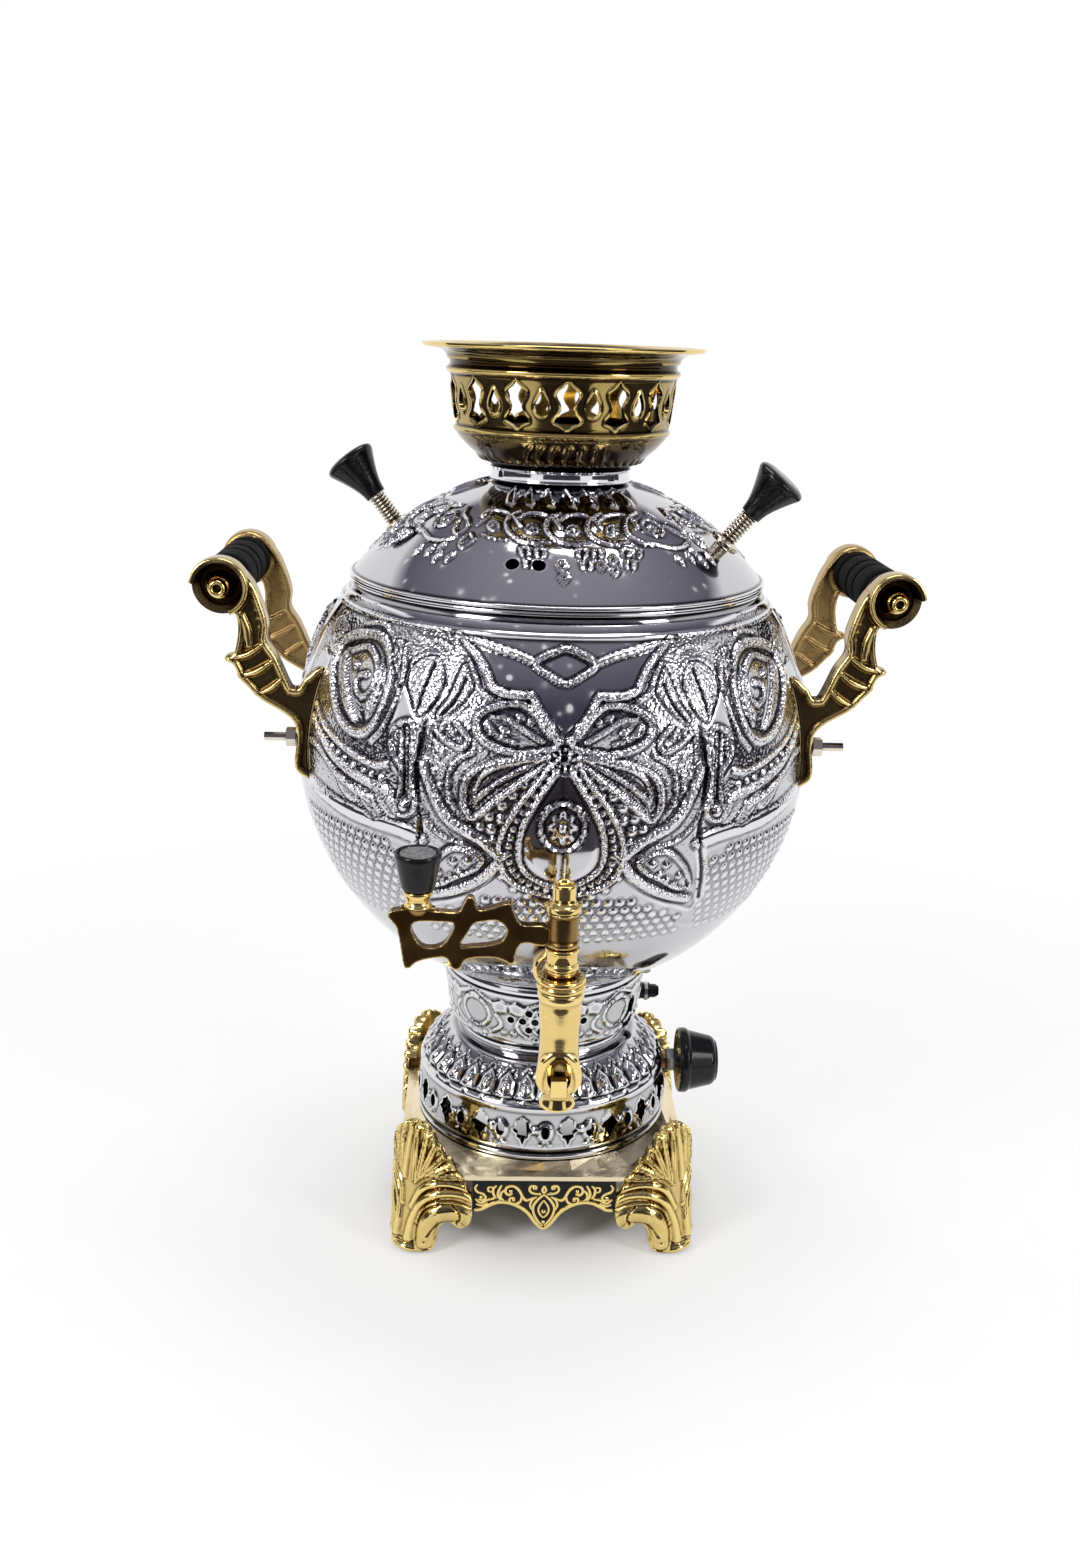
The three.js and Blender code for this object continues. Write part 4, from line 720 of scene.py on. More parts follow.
def prism(name: str, outline: Points | np.ndarray, low: float, high: float,
          bevel: float = 0.0, holes: Sequence[Points | np.ndarray] = ()) -> Piece:
    """Extrudes an outline with holes along +Z, with rounded edges.

    Args:
        name: the piece's name.
        outline: [x, y] corners.
        low: lowest z.
        high: highest z.
        bevel: size of the rounded edge.
        holes: outlines of the holes.

    Returns:
        The object.
    """
    mesh = bmesh.new()
    edges = []
    for path in (outline, *holes):
        corners = [mesh.verts.new((float(x) * MM, float(y) * MM, low * MM)) for x, y in path]
        edges += [mesh.edges.new((a, b)) for a, b in zip(corners, corners[1:] + corners[:1])]
    bmesh.ops.triangle_fill(mesh, use_beauty=True, use_dissolve=False, edges=edges)
    made = bmesh.ops.extrude_face_region(mesh, geom=mesh.faces[:])
    top = [v for v in made["geom"] if isinstance(v, bmesh.types.BMVert)]
    bmesh.ops.translate(mesh, verts=top, vec=(0, 0, (high - low) * MM))
    bmesh.ops.recalc_face_normals(mesh, faces=mesh.faces[:])
    if bevel:
        rims = []
        for edge in mesh.edges:
            first, second = (face.normal for face in edge.link_faces)
            if abs(first.z) + abs(second.z) > 0.9 and abs(first.dot(second)) < 0.5:
                rims.append(edge)
        bmesh.ops.bevel(mesh, geom=rims, offset=bevel * MM, segments=2, profile=0.6,
                        affect="EDGES", clamp_overlap=True)
    data = bpy.data.meshes.new(name)
    mesh.to_mesh(data)
    mesh.free()
    piece = link_piece(name, data)
    shade(piece)
    return piece


def apply_modifier(piece: Piece, kind: str, **settings: object) -> None:
    """Applies a modifier to a piece's mesh.

    Args:
        piece: the object.
        kind: the modifier's type.
        **settings: its settings.
    """
    modifier = piece.modifiers.new(kind, kind)
    for name, value in settings.items():
        setattr(modifier, name, value)
    graph = bpy.context.evaluated_depsgraph_get()
    mesh = bpy.data.meshes.new_from_object(piece.evaluated_get(graph))
    piece.modifiers.clear()
    old, piece.data = piece.data, mesh
    bpy.data.meshes.remove(old)


def merge(pieces: Sequence[Piece]) -> Piece:
    """Puts several meshes into the first one.

    Args:
        pieces: the objects; all but the first are removed.

    Returns:
        The first object.
    """
    mesh = bmesh.new()
    for piece in pieces:
        mesh.from_mesh(piece.data)
    mesh.to_mesh(pieces[0].data)
    mesh.free()
    for piece in pieces[1:]:
        bpy.data.objects.remove(piece)
    return pieces[0]


def carve(piece: Piece, cutters: Sequence[Piece], operation: str = "DIFFERENCE") -> None:
    """Cuts pieces out of a piece, or joins them to it.

    Args:
        piece: the object that stays.
        cutters: the other objects, which are removed.
        operation: the Boolean modifier's operation.
    """
    cutter = merge(cutters)
    apply_modifier(piece, "BOOLEAN", operation=operation, object=cutter, solver="MANIFOLD")
    bpy.data.objects.remove(cutter)
    shade(piece)


def cast(shapes: Sequence[Piece], voxel: float, rounds: int) -> Piece:
    """Melts overlapping shapes into one casting.

    Args:
        shapes: the shapes.
        voxel: size of the finest detail, in millimetres.
        rounds: how often it is smoothed.

    Returns:
        The first object, which is the casting.
    """
    piece = merge(shapes)
    apply_modifier(piece, "REMESH", mode="VOXEL", voxel_size=voxel * MM)
    apply_modifier(piece, "SMOOTH", factor=0.5, iterations=rounds)
    shade(piece, math.pi)
    return piece


class Workshop:
    """Dresses finished pieces and puts them on the frame."""

    def __init__(self) -> None:
        """Starts with no material and no piece."""
        self.paints: dict[Finish, bpy.types.Material] = {}
        self.count = 0

    def paint(self, finish: Finish) -> bpy.types.Material:
        """Gives a finish's material, built when a piece first asks for it."""
        if finish not in self.paints:
            self.paints[finish] = finish.value.build(finish.name.lower())
        return self.paints[finish]

    def place(self, piece: Piece, finish: Finish, *nodes: str, body: Body = Body.FIXED) -> None:
        """Gives a piece its finish and its body.

        Args:
            piece: the object.
            finish: its finish.
            *nodes: CAD nodes that it stands for.
            body: the body it rides on.
        """
        piece.data.materials.clear()
        piece.data.materials.append(self.paint(finish))
        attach(piece, body.value)
        if nodes:
            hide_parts(*nodes)
        self.count += 1
        LOG.info("%s: %d faces, %s", piece.name, len(piece.data.polygons), finish.name)

    def dress(self, finish: Finish, *names: str) -> None:
        """Gives CAD nodes whose shape is right a finish.

        Args:
            finish: their finish.
            *names: the nodes to dress.
        """
        for name in names:
            for material_slot in bpy.data.objects[name].material_slots:
                material_slot.link = "OBJECT"
                material_slot.material = self.paint(finish)
            LOG.info("%s: kept, %s", name, finish.name)


@dataclass
class Part:
    """A sub-assembly, which builds, dresses and places its pieces in the workshop."""

    shop: Workshop


def on_axis(z: float = 0.0, y: float = 0.0) -> Matrix:
    """Gives a place relative to the vessel's upright axis, in millimetres."""
    return Matrix.Translation((0, AXIS_Y + y, z))


# Sheet metal: turned shells with embossed outer faces


def embossed_shell(name: str, outer: np.ndarray, inner: Points, angles: np.ndarray,
                   heights: np.ndarray, punch: np.ndarray | None = None) -> Piece:
    """Builds a closed shell round the vessel's axis, with a relief on its outer face.

    Args:
        name: the piece's name.
        outer: [radius, z] rows of the outer face, upwards.
        inner: the same of the inner face, downwards.
        angles: angle of each column from the front, positive towards +X.
        heights: relief of each outer row and column, in millimetres.
        punch: punched texture of each outer row and column.

    Returns:
        The object.
    """
    columns = len(angles)
    normal = outward_normals(outer)
    back = np.array(inner, float)
    radius, height = (np.vstack([outer[:, k:k + 1] + normal[:, k:k + 1] * heights,
                                 np.repeat(back[:, k:k + 1], columns, 1)]) for k in (0, 1))
    verts = np.stack([radius * np.sin(angles), AXIS_Y - radius * np.cos(angles), height], -1)
    if punch is not None:
        punch = np.vstack([punch, np.zeros((len(back), columns))]).ravel()
    faces = grid_faces(len(radius), columns, True, True)
    piece = new_piece(name, verts.reshape(-1, 3), faces, punch)
    shade(piece)
    return piece


def sphere_rows(radius: float, low: float, high: float, spacing: float,
                middle: float) -> np.ndarray:
    """Gives [radius, z] rows on a sphere between two latitudes; middle is its middle height."""
    latitude = np.linspace(low, high, max(2, int(radius * (high - low) / spacing)))
    return np.stack([radius * np.cos(latitude), middle + radius * np.sin(latitude)], 1)


def wrapped(angles: np.ndarray, middle: float) -> np.ndarray:
    """Gives angles relative to a middle one, within half a turn."""
    return (angles - middle + math.pi) % FULL_TURN - math.pi


def stronger(first: np.ndarray, second: np.ndarray) -> np.ndarray:
    """Takes the height that departs more from the plain sheet."""
    return np.where(np.abs(first) > np.abs(second), first, second)


@dataclass
class Panel:
    """A drawn panel's place on a sphere: its middle's angle and its half width, in radians."""

    draw: Callable[[Relief], None]
    middle: float
    reach: float
    sign: int = 1


def lay_panels(radius: float, latitude: np.ndarray, angles: np.ndarray,
               panels: Sequence[Panel]) -> tuple[np.ndarray, np.ndarray]:
    """Draws panels over a sphere.

    Args:
        radius: the sphere's radius.
        latitude: latitude of each row.
        angles: angle of each column.
        panels: the panels; a sign of -1 mirrors one.

    Returns:
        Heights and punched texture of each row and column.
    """
    v = np.repeat(radius * latitude[:, None], len(angles), 1)
    heights, punch = np.zeros(v.shape), np.zeros(v.shape)
    for panel in panels:
        turn = wrapped(angles, panel.middle)
        pick = np.flatnonzero(np.abs(turn) < panel.reach)
        across = radius * (turn[pick] * panel.sign)[None, :] * np.cos(latitude)[:, None]
        sheet = Relief(across, v[:, pick])
        panel.draw(sheet)
        heights[:, pick] = stronger(sheet.heights(), heights[:, pick])
        punch[:, pick] = np.maximum(punch[:, pick], sheet.punch.reshape(sheet.grid))
    return heights, punch


@dataclass
class Vessel(Part):
    """The round embossed vessel: a butterfly panel front and back, scrolls on each quarter."""

    radius: float = 132.0
    middle: float = 262.99
    hole_radius: float = 28.3
    rim_latitude: float = math.radians(38.7)
    rim_rise: float = 2.7
    bead_height: float = 2.0
    bead_reach: float = 1.4
    lip_width: float = 4.8
    wall: float = 1.5
    front_step: float = math.radians(0.4)
    back_step: float = math.radians(0.85)
    front_half: float = math.radians(78)
    row_spacing: float = 0.92
    bare_edge: float = 1.5

    def butterfly(self, sheet: Relief) -> None:
        """Draws the front panel.

        Args:
            sheet: its relief, with u = 0 on the tap's axis.
        """
        ground = [(46.7, 79), (42.5, 72), (37.9, 66), (35, 60.5), (32, 54), (26, 51), (18, 50.5),
            (15, 51), (12, 46), (8, 40), (1, 30), (1, -46), (27, -24), (34, -36), (43, -44),
            (58, -53), (70, -55), (67, -10), (69, 10), (67, 30), (74, 50), (84, 62), (88, 79)]
        curtain = [(46.7, 76.1), (42.5, 71), (37.9, 65.5), (35.1, 60.4), (32.3, 54.8), (26.4, 52.7),
            (17.9, 52.1), (15.3, 52.8), (12.6, 47.1), (8.4, 41.1), (2.1, 32.9)]
        wing = [(3.6, 31.3), (9.3, 28.6), (17.6, 27.2), (26.1, 27.7), (34.7, 30.7), (39.6, 35.4),
            (39.2, 41.7), (33.8, 45.8), (26.3, 48.5), (18.9, 48.6), (13.7, 45), (8.4, 38)]
        petal = [(9.2, 25.2), (19.6, 19.7), (29.1, 13.8), (36.6, 7.7), (39.8, 4.1), (40.4, 8),
            (37.7, 15.1), (31.3, 20), (20.7, 23.3)]
        outer = [(6.1, 22.9), (11.1, 14.8), (17.3, 7), (22.4, -1), (26.6, -9.2), (28.6, -17.6),
            (27.5, -26.2), (24, -33), (17.5, -37.5), (9, -40.7), (2, -43)]
        inner = [(3.4, 19.8), (8.5, 11.7), (13.5, 2.8), (17.6, -5.2), (19.6, -14.5), (19.2, -23),
            (16.2, -29.1), (10.5, -33.5), (2, -36.5)]
        middle = [(5.2, 21), (10, 12.8), (15.6, 4.6), (20.2, -3.4), (23.2, -12), (24.1, -20.3),
            (22, -28), (17.3, -33.5), (10.5, -37.2), (2, -39.7)]
        spike = [(35.9, -25.6), (39.1, -21.5), (46, -19.9), (53, -21.5), (61, -31.1), (64, -41.5),
            (57, -42), (47.5, -35.5), (39.8, -30.8)]
        side = [(66, 17), (62, 8), (56.9, -1.4), (51, -7.6), (44, -11), (37, -14.5), (31.9, -18.5),
            (27.5, -22.5)]
        leaf = [(73.2, 45.4), (75.5, 52), (73.5, 60), (66.5, 66), (58.2, 66.4), (55.2, 60),
            (56.7, 51.7), (61.3, 43.8), (68.4, 37.7)]
        lobe = [(42.8, 62), (41.1, 54.6), (46, 46.8), (52.7, 40.8), (58.4, 37.2), (60, 41),
            (54, 49), (50, 58), (46, 66)]
        curl = [(84.4, 71.4), (77.4, 71.2), (74, 65.5), (76, 57.7), (79.6, 49.7), (83.7, 56.5),
            (85.6, 63.8)]
        for _ in sheet.both_sides():
            sheet.area(ground, -0.7, 2, 0.4)
            sheet.area([(0, 22), (8, 11), (17, -6), (18.5, -20), (12, -31), (0, -35)], 0.5, 9,
                0)
            sheet.ridge([(50, 77), (39.8, 75.7), (32, 73.6), (22.3, 71), (13.4, 67.4)], 3.4, 1.1,
                0.5)
            sheet.area(wing, -1.5, 3, 0.1)
            sheet.ridge(curtain, 4.2, 1.7, 0.8)
            sheet.ridge([(44, 67), (41, 60), (38.5, 53.5), (33, 50.3)], 2.6, 1, 0.7)
            sheet.ridge(wing, 3.8, 1.6, 0.8, True)
            sheet.ridge([(33, 43), (25, 41.5), (17, 36.5), (10, 32.6)], 2, 1, 0.6)
            sheet.ridge([(35, 39), (30, 34), (22, 31.2)], 1.8, 0.8, 0.6)
            for spot, size in (((20, 42.5), 1.8), ((27, 36), 2.2), ((15, 41), 1.4),
                ((33, 35.5), 1.6)):
                sheet.dome(spot, size, 1.3)
            sheet.ridge([(7.1, 25.9), (17.6, 25.1), (28.1, 22.8), (36.7, 19.5), (43.3, 14.6),
                (45.6, 7.9), (45.4, 1.3), (42, -3.9)], 3.8, 1.6, 0.9)
            sheet.ridge([(41, 26), (48, 22), (52.5, 15), (53, 7), (50, 0)], 2.4, 1, 0.7)
            sheet.area(petal, 0.9, 3, 0.1)
            sheet.ridge(petal, 2.2, 1.1, 0.6, True)
            sheet.ridge([(13, 23), (24, 18.3), (33, 12.5), (38, 7)], 1.6, -0.9, 0)
            sheet.ridge([(7.1, 23.9), (15.3, 16.8), (23.7, 9.9), (31.1, 3.9), (37.6, -2.3),
                (40.9, -4.4)], 3, 1.4, 0.9)
            for spot, size in (((12.6, 17.2), 1.4), ((17.2, 13), 1.7), ((22.6, 8.2), 2),
                ((27.5, 3.2), 2.2), ((33.2, -2.3), 2.2), ((27.5, -3.4), 2.1), ((32, -8.7), 2.3),
                ((37.5, -8), 2), ((31, -14), 1.9)):
                sheet.dome(spot, size, 1.5)
            sheet.ridge(outer, 3.2, 1.8, 0.8)
            sheet.ridge(inner, 3.2, 1.8, 0.8)
            sheet.beads(middle, 3.5, 1.6, 1.4)
            sheet.ridge(side, 6.4, 1.8, 1)
            sheet.ridge([(70.5, 6), (65.5, -6), (59, -13), (52, -16.5), (44, -18), (37, -21)], 2,
                1, 0.6)
            sheet.ridge([(27, -22), (33, -31), (42, -39.5), (53.5, -46), (64, -50)], 6, 1.8, 1)
            sheet.beads([(51, 19), (52.6, 11), (52, 3)], 5.4, 1.9, 1.4)
            sheet.beads([(56, 24), (60, 15), (57, 9)], 5, 1.5, 1.2)
            sheet.area(spike, 0.4, 2, 0.2)
            sheet.ridge(spike, 2.8, 1.5, 0.7, True)
            sheet.beads([(43, -26), (50, -27), (57, -34)], 5.2, 1.7, 1.5)
            sheet.beads([(47, -31.5), (55, -38.5)], 5, 1.5, 1.4)
            sheet.ridge([(65.2, 36.8), (67.5, 21.6), (69, 7.3), (67.5, -4.8), (67, -15.5),
                (71, -33), (72, -51)], 3.4, -1.4)
            sheet.ridge([(62.5, 34), (63.4, 24)], 2.6, 1.4, 0.8)
            for shape in (leaf, lobe, curl):
                sheet.area(shape, 1.5, 4.5, 0.9)
                sheet.ridge(shape, 1.6, -1, 0, True)
            sheet.ridge([(70, 40), (66.5, 50), (61, 63)], 1.8, -1.3)
            sheet.ridge([(57, 40), (50, 48), (45, 58)], 1.6, -1.2)
            sheet.ridge([(82, 54), (80, 62), (79, 69)], 1.6, -1)
            sheet.ridge([(50, 38), (44, 32), (46, 27), (53, 29), (60, 34)], 2.8, 1.3, 0.8)
            sheet.beads([(50.5, 33.5), (56, 34.5)], 5, 1.7, 1.3)
            sheet.ridge([(53, 71), (60, 74), (68, 73.5), (73, 76)], 2.2, 1.1, 0.8)
            sheet.area([(2.2, 30), (4.6, 33), (5.2, 38), (3, 35)], 1.2, 1.4, 0)
            for row in range(6):
                line = -46.5 - 5.0 * row
                for k in range(11):
                    spot = ((k + 0.5 * (row % 2)) * 5.7, line - 0.02 * (k * 5.7 - 20) * (row < 2))
                    if spot[1] < -24 - 0.62 * spot[0] and spot[0] < 62:
                        sheet.dome(spot, 2.1 - 0.12 * row, 1.1 - 0.1 * row)
            for spot in ((7, -46), (14.5, -42), (21, -38.5), (26.5, -32)):
                sheet.dome(spot, 1.8, 1.2)
        rhombus = [(13.4, 67.4), (6, 72.2), (0, 74.3), (-6, 72.2), (-13.4, 67.4), (-6.5, 61.8),
            (0, 58.6), (6.5, 61.8)]
        sheet.area(rhombus, -0.9, 3)
        sheet.ridge(rhombus, 3.2, 1.4, 0.6, True)
        ring = oval(9.8, 11.2, 16, 0, -5.5)
        sheet.area(ring, 0.9, 1.6)
        sheet.ridge(ring, 2, 2, 0, True)
        sheet.beads(ring, 2.4, 0.9, 2.6, True)
        for a in even_angles(8):
            tip = (6.6 * math.cos(a), -5.5 + 7.6 * math.sin(a))
            wide = [(2.6 * math.cos(a + d) * k, -5.5 + 2.9 * math.sin(a + d) * k) for d,
                k in ((-0.5, 1.4), (0.5, 1.4))]
            sheet.area([(1.5 * math.cos(a), -5.5 + 1.5 * math.sin(a)), wide[0], tip, wide[1]], 1.9,
                1.3)
        sheet.dome((0, -5.5), 1.9, 2.2)
        for a in even_angles(9):
            sheet.dome((4.5 * math.cos(a), 25.2 + 4.5 * math.sin(a)), 1.3, 1.5)
        button = oval(2.4, 2.4, 10, 0, 25.2)
        sheet.area([(2.6 * x, 25.2 + 2.6 * (y - 25.2)) for x, y in button], -1, 2)
        sheet.ridge(button, 1.4, 1.6, 0, True)

    def cartouche(self, sheet: Relief) -> None:
        """Draws a quarter panel.

        Args:
            sheet: its relief, whose +u side lies towards the nearer butterfly.
        """
        oval = [(5.2, 71), (18, 64), (24.5, 53), (24.5, 40), (19.6, 28.5), (9.9, 24.5), (-3.6, 29),
            (-15.5, 40), (-22, 54), (-16, 66)]
        stem = [(36, 33), (44, 35), (47.5, 21), (49, 6), (50.5, -3), (45, -8.5), (38.5, -7),
            (41.5, 1), (42, 14), (36.5, 20), (34, 27)]
        rib = [(-44, 20), (-30, 22), (-20, 18), (-8, 11), (8, 6), (22, 3.4), (33, 2), (39, -5)]
        sheet.area([(-46, 78), (34, 79), (32, 60), (33, 40), (32, 20), (52, -4), (48, -12),
            (10, -10), (-46, -5)], -0.6, 2.5, 0.4)
        sheet.area(oval, -1.3, 3, 0.2)
        sheet.ridge(oval, 5.5, 1.9, 0.7, True)
        sheet.ridge([(-8, 74), (6, 77), (22, 70), (30, 60), (32, 46), (28, 31), (22, 23)], 3, 1.3,
            0.8)
        sheet.ridge([(-9, 61), (2, 64.5), (12, 59), (15.5, 49.5), (11, 42), (4, 43.5), (2.5, 50),
            (8, 52)], 3.6, 1.7, 0.7)
        for shape in ([(-13, 60), (-7, 50), (1, 39), (8, 29.5), (-1, 33), (-11, 43), (-17, 54)],
            [(15, 60), (20, 52), (20, 42), (16, 33), (13, 38), (16, 48)], [(-40, 72), (-28, 74),
            (-23, 66), (-30, 60), (-38, 63)], [(-42, 55), (-32, 56), (-26, 46), (-32, 36),
            (-41, 42)], [(14, 1), (24, -1.5), (31, -10), (25, -13), (17, -8)],
            [(25, 2.5), (34, -1), (41, -9), (36, -12), (28, -6)], [(-4, 4), (8, 2), (16, -6),
            (10, -10), (0, -5)]):
            sheet.area(shape, 1.5, 3.5, 0.8)
            sheet.ridge(shape, 1.3, -0.9, 0, True)
        sheet.dome((-2, 55), 2.4, 1.7)
        sheet.beads([(-8, 68), (0, 70.5), (9, 69)], 4.4, 1.3, 1.2)
        sheet.area(stem, 0.8, 2.5, 0.4)
        sheet.ridge(stem, 2.6, 1.5, 0.8, True)
        sheet.ridge([(40, 33), (43, 18), (44.5, 2)], 1.6, -0.9)
        sheet.dome((44.5, -3.5), 2.6, 1.9)
        sheet.ridge(rib, 6, 1.7, 1)
        sheet.ridge([(-44, 9), (-30, 11), (-18, 9), (-4, 3), (10, -1.5), (22, -4.5)], 4, 1.3, 0.9)
        sheet.ridge([(-30, 29), (-14, 21), (0, 16.5), (14, 13.5), (26, 12), (33, 14)], 3.6, 1.3,
            0.8)
        sheet.beads([(-26, 24.5), (-12, 16.5), (4, 10.8), (18, 8.2), (30, 7)], 5.2, 1.5, 1.4)
        arch = [(-50, -8), (-32, -9), (-13.4, -11.5), (3.8, -14), (22, -15), (38, -15.5), (52, -18)]
        sheet.ridge(arch, 8, 1.3)
        sheet.area([(-46, -17), (4, -22), (50, -27), (54, -60), (20, -72), (-20, -72), (-40, -55)],
            -0.25, 4)
        for row in range(10):
            for k in range(20):
                spot = ((k - 9.5 + 0.5 * (row % 2)) * 5.9 + 4, -24.5 - 5.3 * row)
                limit = 50 - 0.45 * max(0, -spot[1] - 30)
                within = -46 + 0.3 * (-spot[1] - 20) < spot[0] < limit
                if within and spot[1] < -21.5 - 0.07 * (spot[0] + 10):
                    sheet.dome(spot, 2.0 - 0.07 * row, 1.1 - 0.07 * row)

    def handle_panel(self, sheet: Relief) -> None:
        """Draws the leaf that stands behind each pair of handle arms.

        Args:
            sheet: its relief.
        """
        for _ in sheet.both_sides():
            sheet.area([(0, 70), (14, 62), (24, 45), (30, 30), (18, 26), (8, 30), (0, 40)], 1.3,
                4, 0.8)
            sheet.ridge([(2, 66), (10, 52), (22, 36)], 1.8, -1.2)
            sheet.ridge([(0, 22), (12, 16), (24, 6), (30, -6)], 4, 1.3, 0.8)
            sheet.beads([(6, 12), (16, 4), (22, -6)], 5.4, 1.9, 1.2)
        sheet.ridge([(0, 74), (0, 40), (0, 10), (0, -12)], 3, 1.2, 0.6)

    def relief(self, latitude: np.ndarray, angles: np.ndarray) -> tuple[np.ndarray, np.ndarray]:
        """Draws all panels over the sphere, and holds the back inside the CAD's reach.

        Args:
            latitude: latitude of each row.
            angles: angle of each column.

        Returns:
            Heights and punched texture of each row and column.
        """
        places = [(self.handle_panel, 0.62, (90, 1), (-90, 1)),
                  (self.cartouche, 0.95, (52, -1), (-52, 1), (128, 1), (-128, -1)),
                  (self.butterfly, 0.9, (0, 1), (180, 1))]
        panels = [Panel(draw, math.radians(degrees), reach, sign)
                  for draw, reach, *spots in places for degrees, sign in spots]
        heights, punch = lay_panels(self.radius, latitude, angles, panels)
        v = self.radius * latitude[:, None]
        for level, width, rise in ((79.8, 2.6, 0.9), (86.6, 1.6, -0.5)):
            heights += rise * np.sqrt(np.clip(1 - ((v - level) / (width / 2)) ** 2, 0, 1))
        bare = self.bare(latitude, angles)
        heights *= 1 - bare
        behind = -np.cos(latitude)[:, None] * np.cos(angles)[None, :]
        heights = heights - 0.8 * np.clip((behind - 0.985) / 0.015, 0, 1)
        room = self.radius / np.maximum(behind, 0.5) - self.radius
        heights = np.where(behind > 0.5, np.minimum(heights, room), heights)
        return heights, punch * (bare < 0.5)

    def bare(self, latitude: np.ndarray, angles: np.ndarray) -> np.ndarray:
        """Finds where the arms and the tap's boss sit, so that the sheet stays plain there.

        Args:
            latitude: latitude of each row.
            angles: angle of each column.

        Returns:
            1 under a seated part, 0 elsewhere.
        """
        across = self.radius * np.cos(latitude)[:, None] * np.sin(angles)[None, :]
        ahead = self.radius * np.cos(latitude)[:, None] * np.cos(angles)[None, :]
        z = self.radius * np.sin(latitude)[:, None]
        arm = np.clip((8.6 - np.abs(np.abs(ahead) - 45)) / self.bare_edge, 0, 1)
        arm = arm * (np.abs(across) > 60)
        arm = arm * np.clip((32 - np.abs(z - 21)) / self.bare_edge, 0, 1)
        boss = np.clip((13.5 - np.hypot(across, z + 82)) / self.bare_edge, 0, 1) * (ahead > 0)
        return np.maximum(arm, boss)

    def build(self) -> None:
        """Builds and places the vessel."""
        low = -math.acos(self.hole_radius / self.radius)
        outer = sphere_rows(self.radius, low, self.rim_latitude, self.row_spacing, self.middle)
        latitude = np.arcsin(np.clip((outer[:, 1] - self.middle) / self.radius, -1, 1))
        angles = np.concatenate([
            np.arange(-self.front_half, self.front_half, self.front_step),
            np.arange(self.front_half, FULL_TURN - self.front_half, self.back_step)])
        heights, punch = self.relief(latitude, angles)
        edge, top = outer[-1] + (0, self.rim_rise)
        bead, mouth = edge + self.bead_reach, edge - self.lip_width
        rim = rounded([(bead - 1, top - self.bead_height), (bead, top - self.bead_height),
                       (bead, top), (mouth, top), (mouth, top - self.wall)], 0.8)[1:]
        radius = self.radius - self.wall
        low = -math.acos(self.hole_radius / radius)
        back = sphere_rows(radius, low, self.rim_latitude - 0.03, 9.0, self.middle)[::-1]
        piece = embossed_shell("vessel_embossed", outer, np.vstack([rim, back]), angles,
                               heights, punch)
        self.shop.place(piece, Finish.EMBOSSED_CHROME, "vessel_shell")


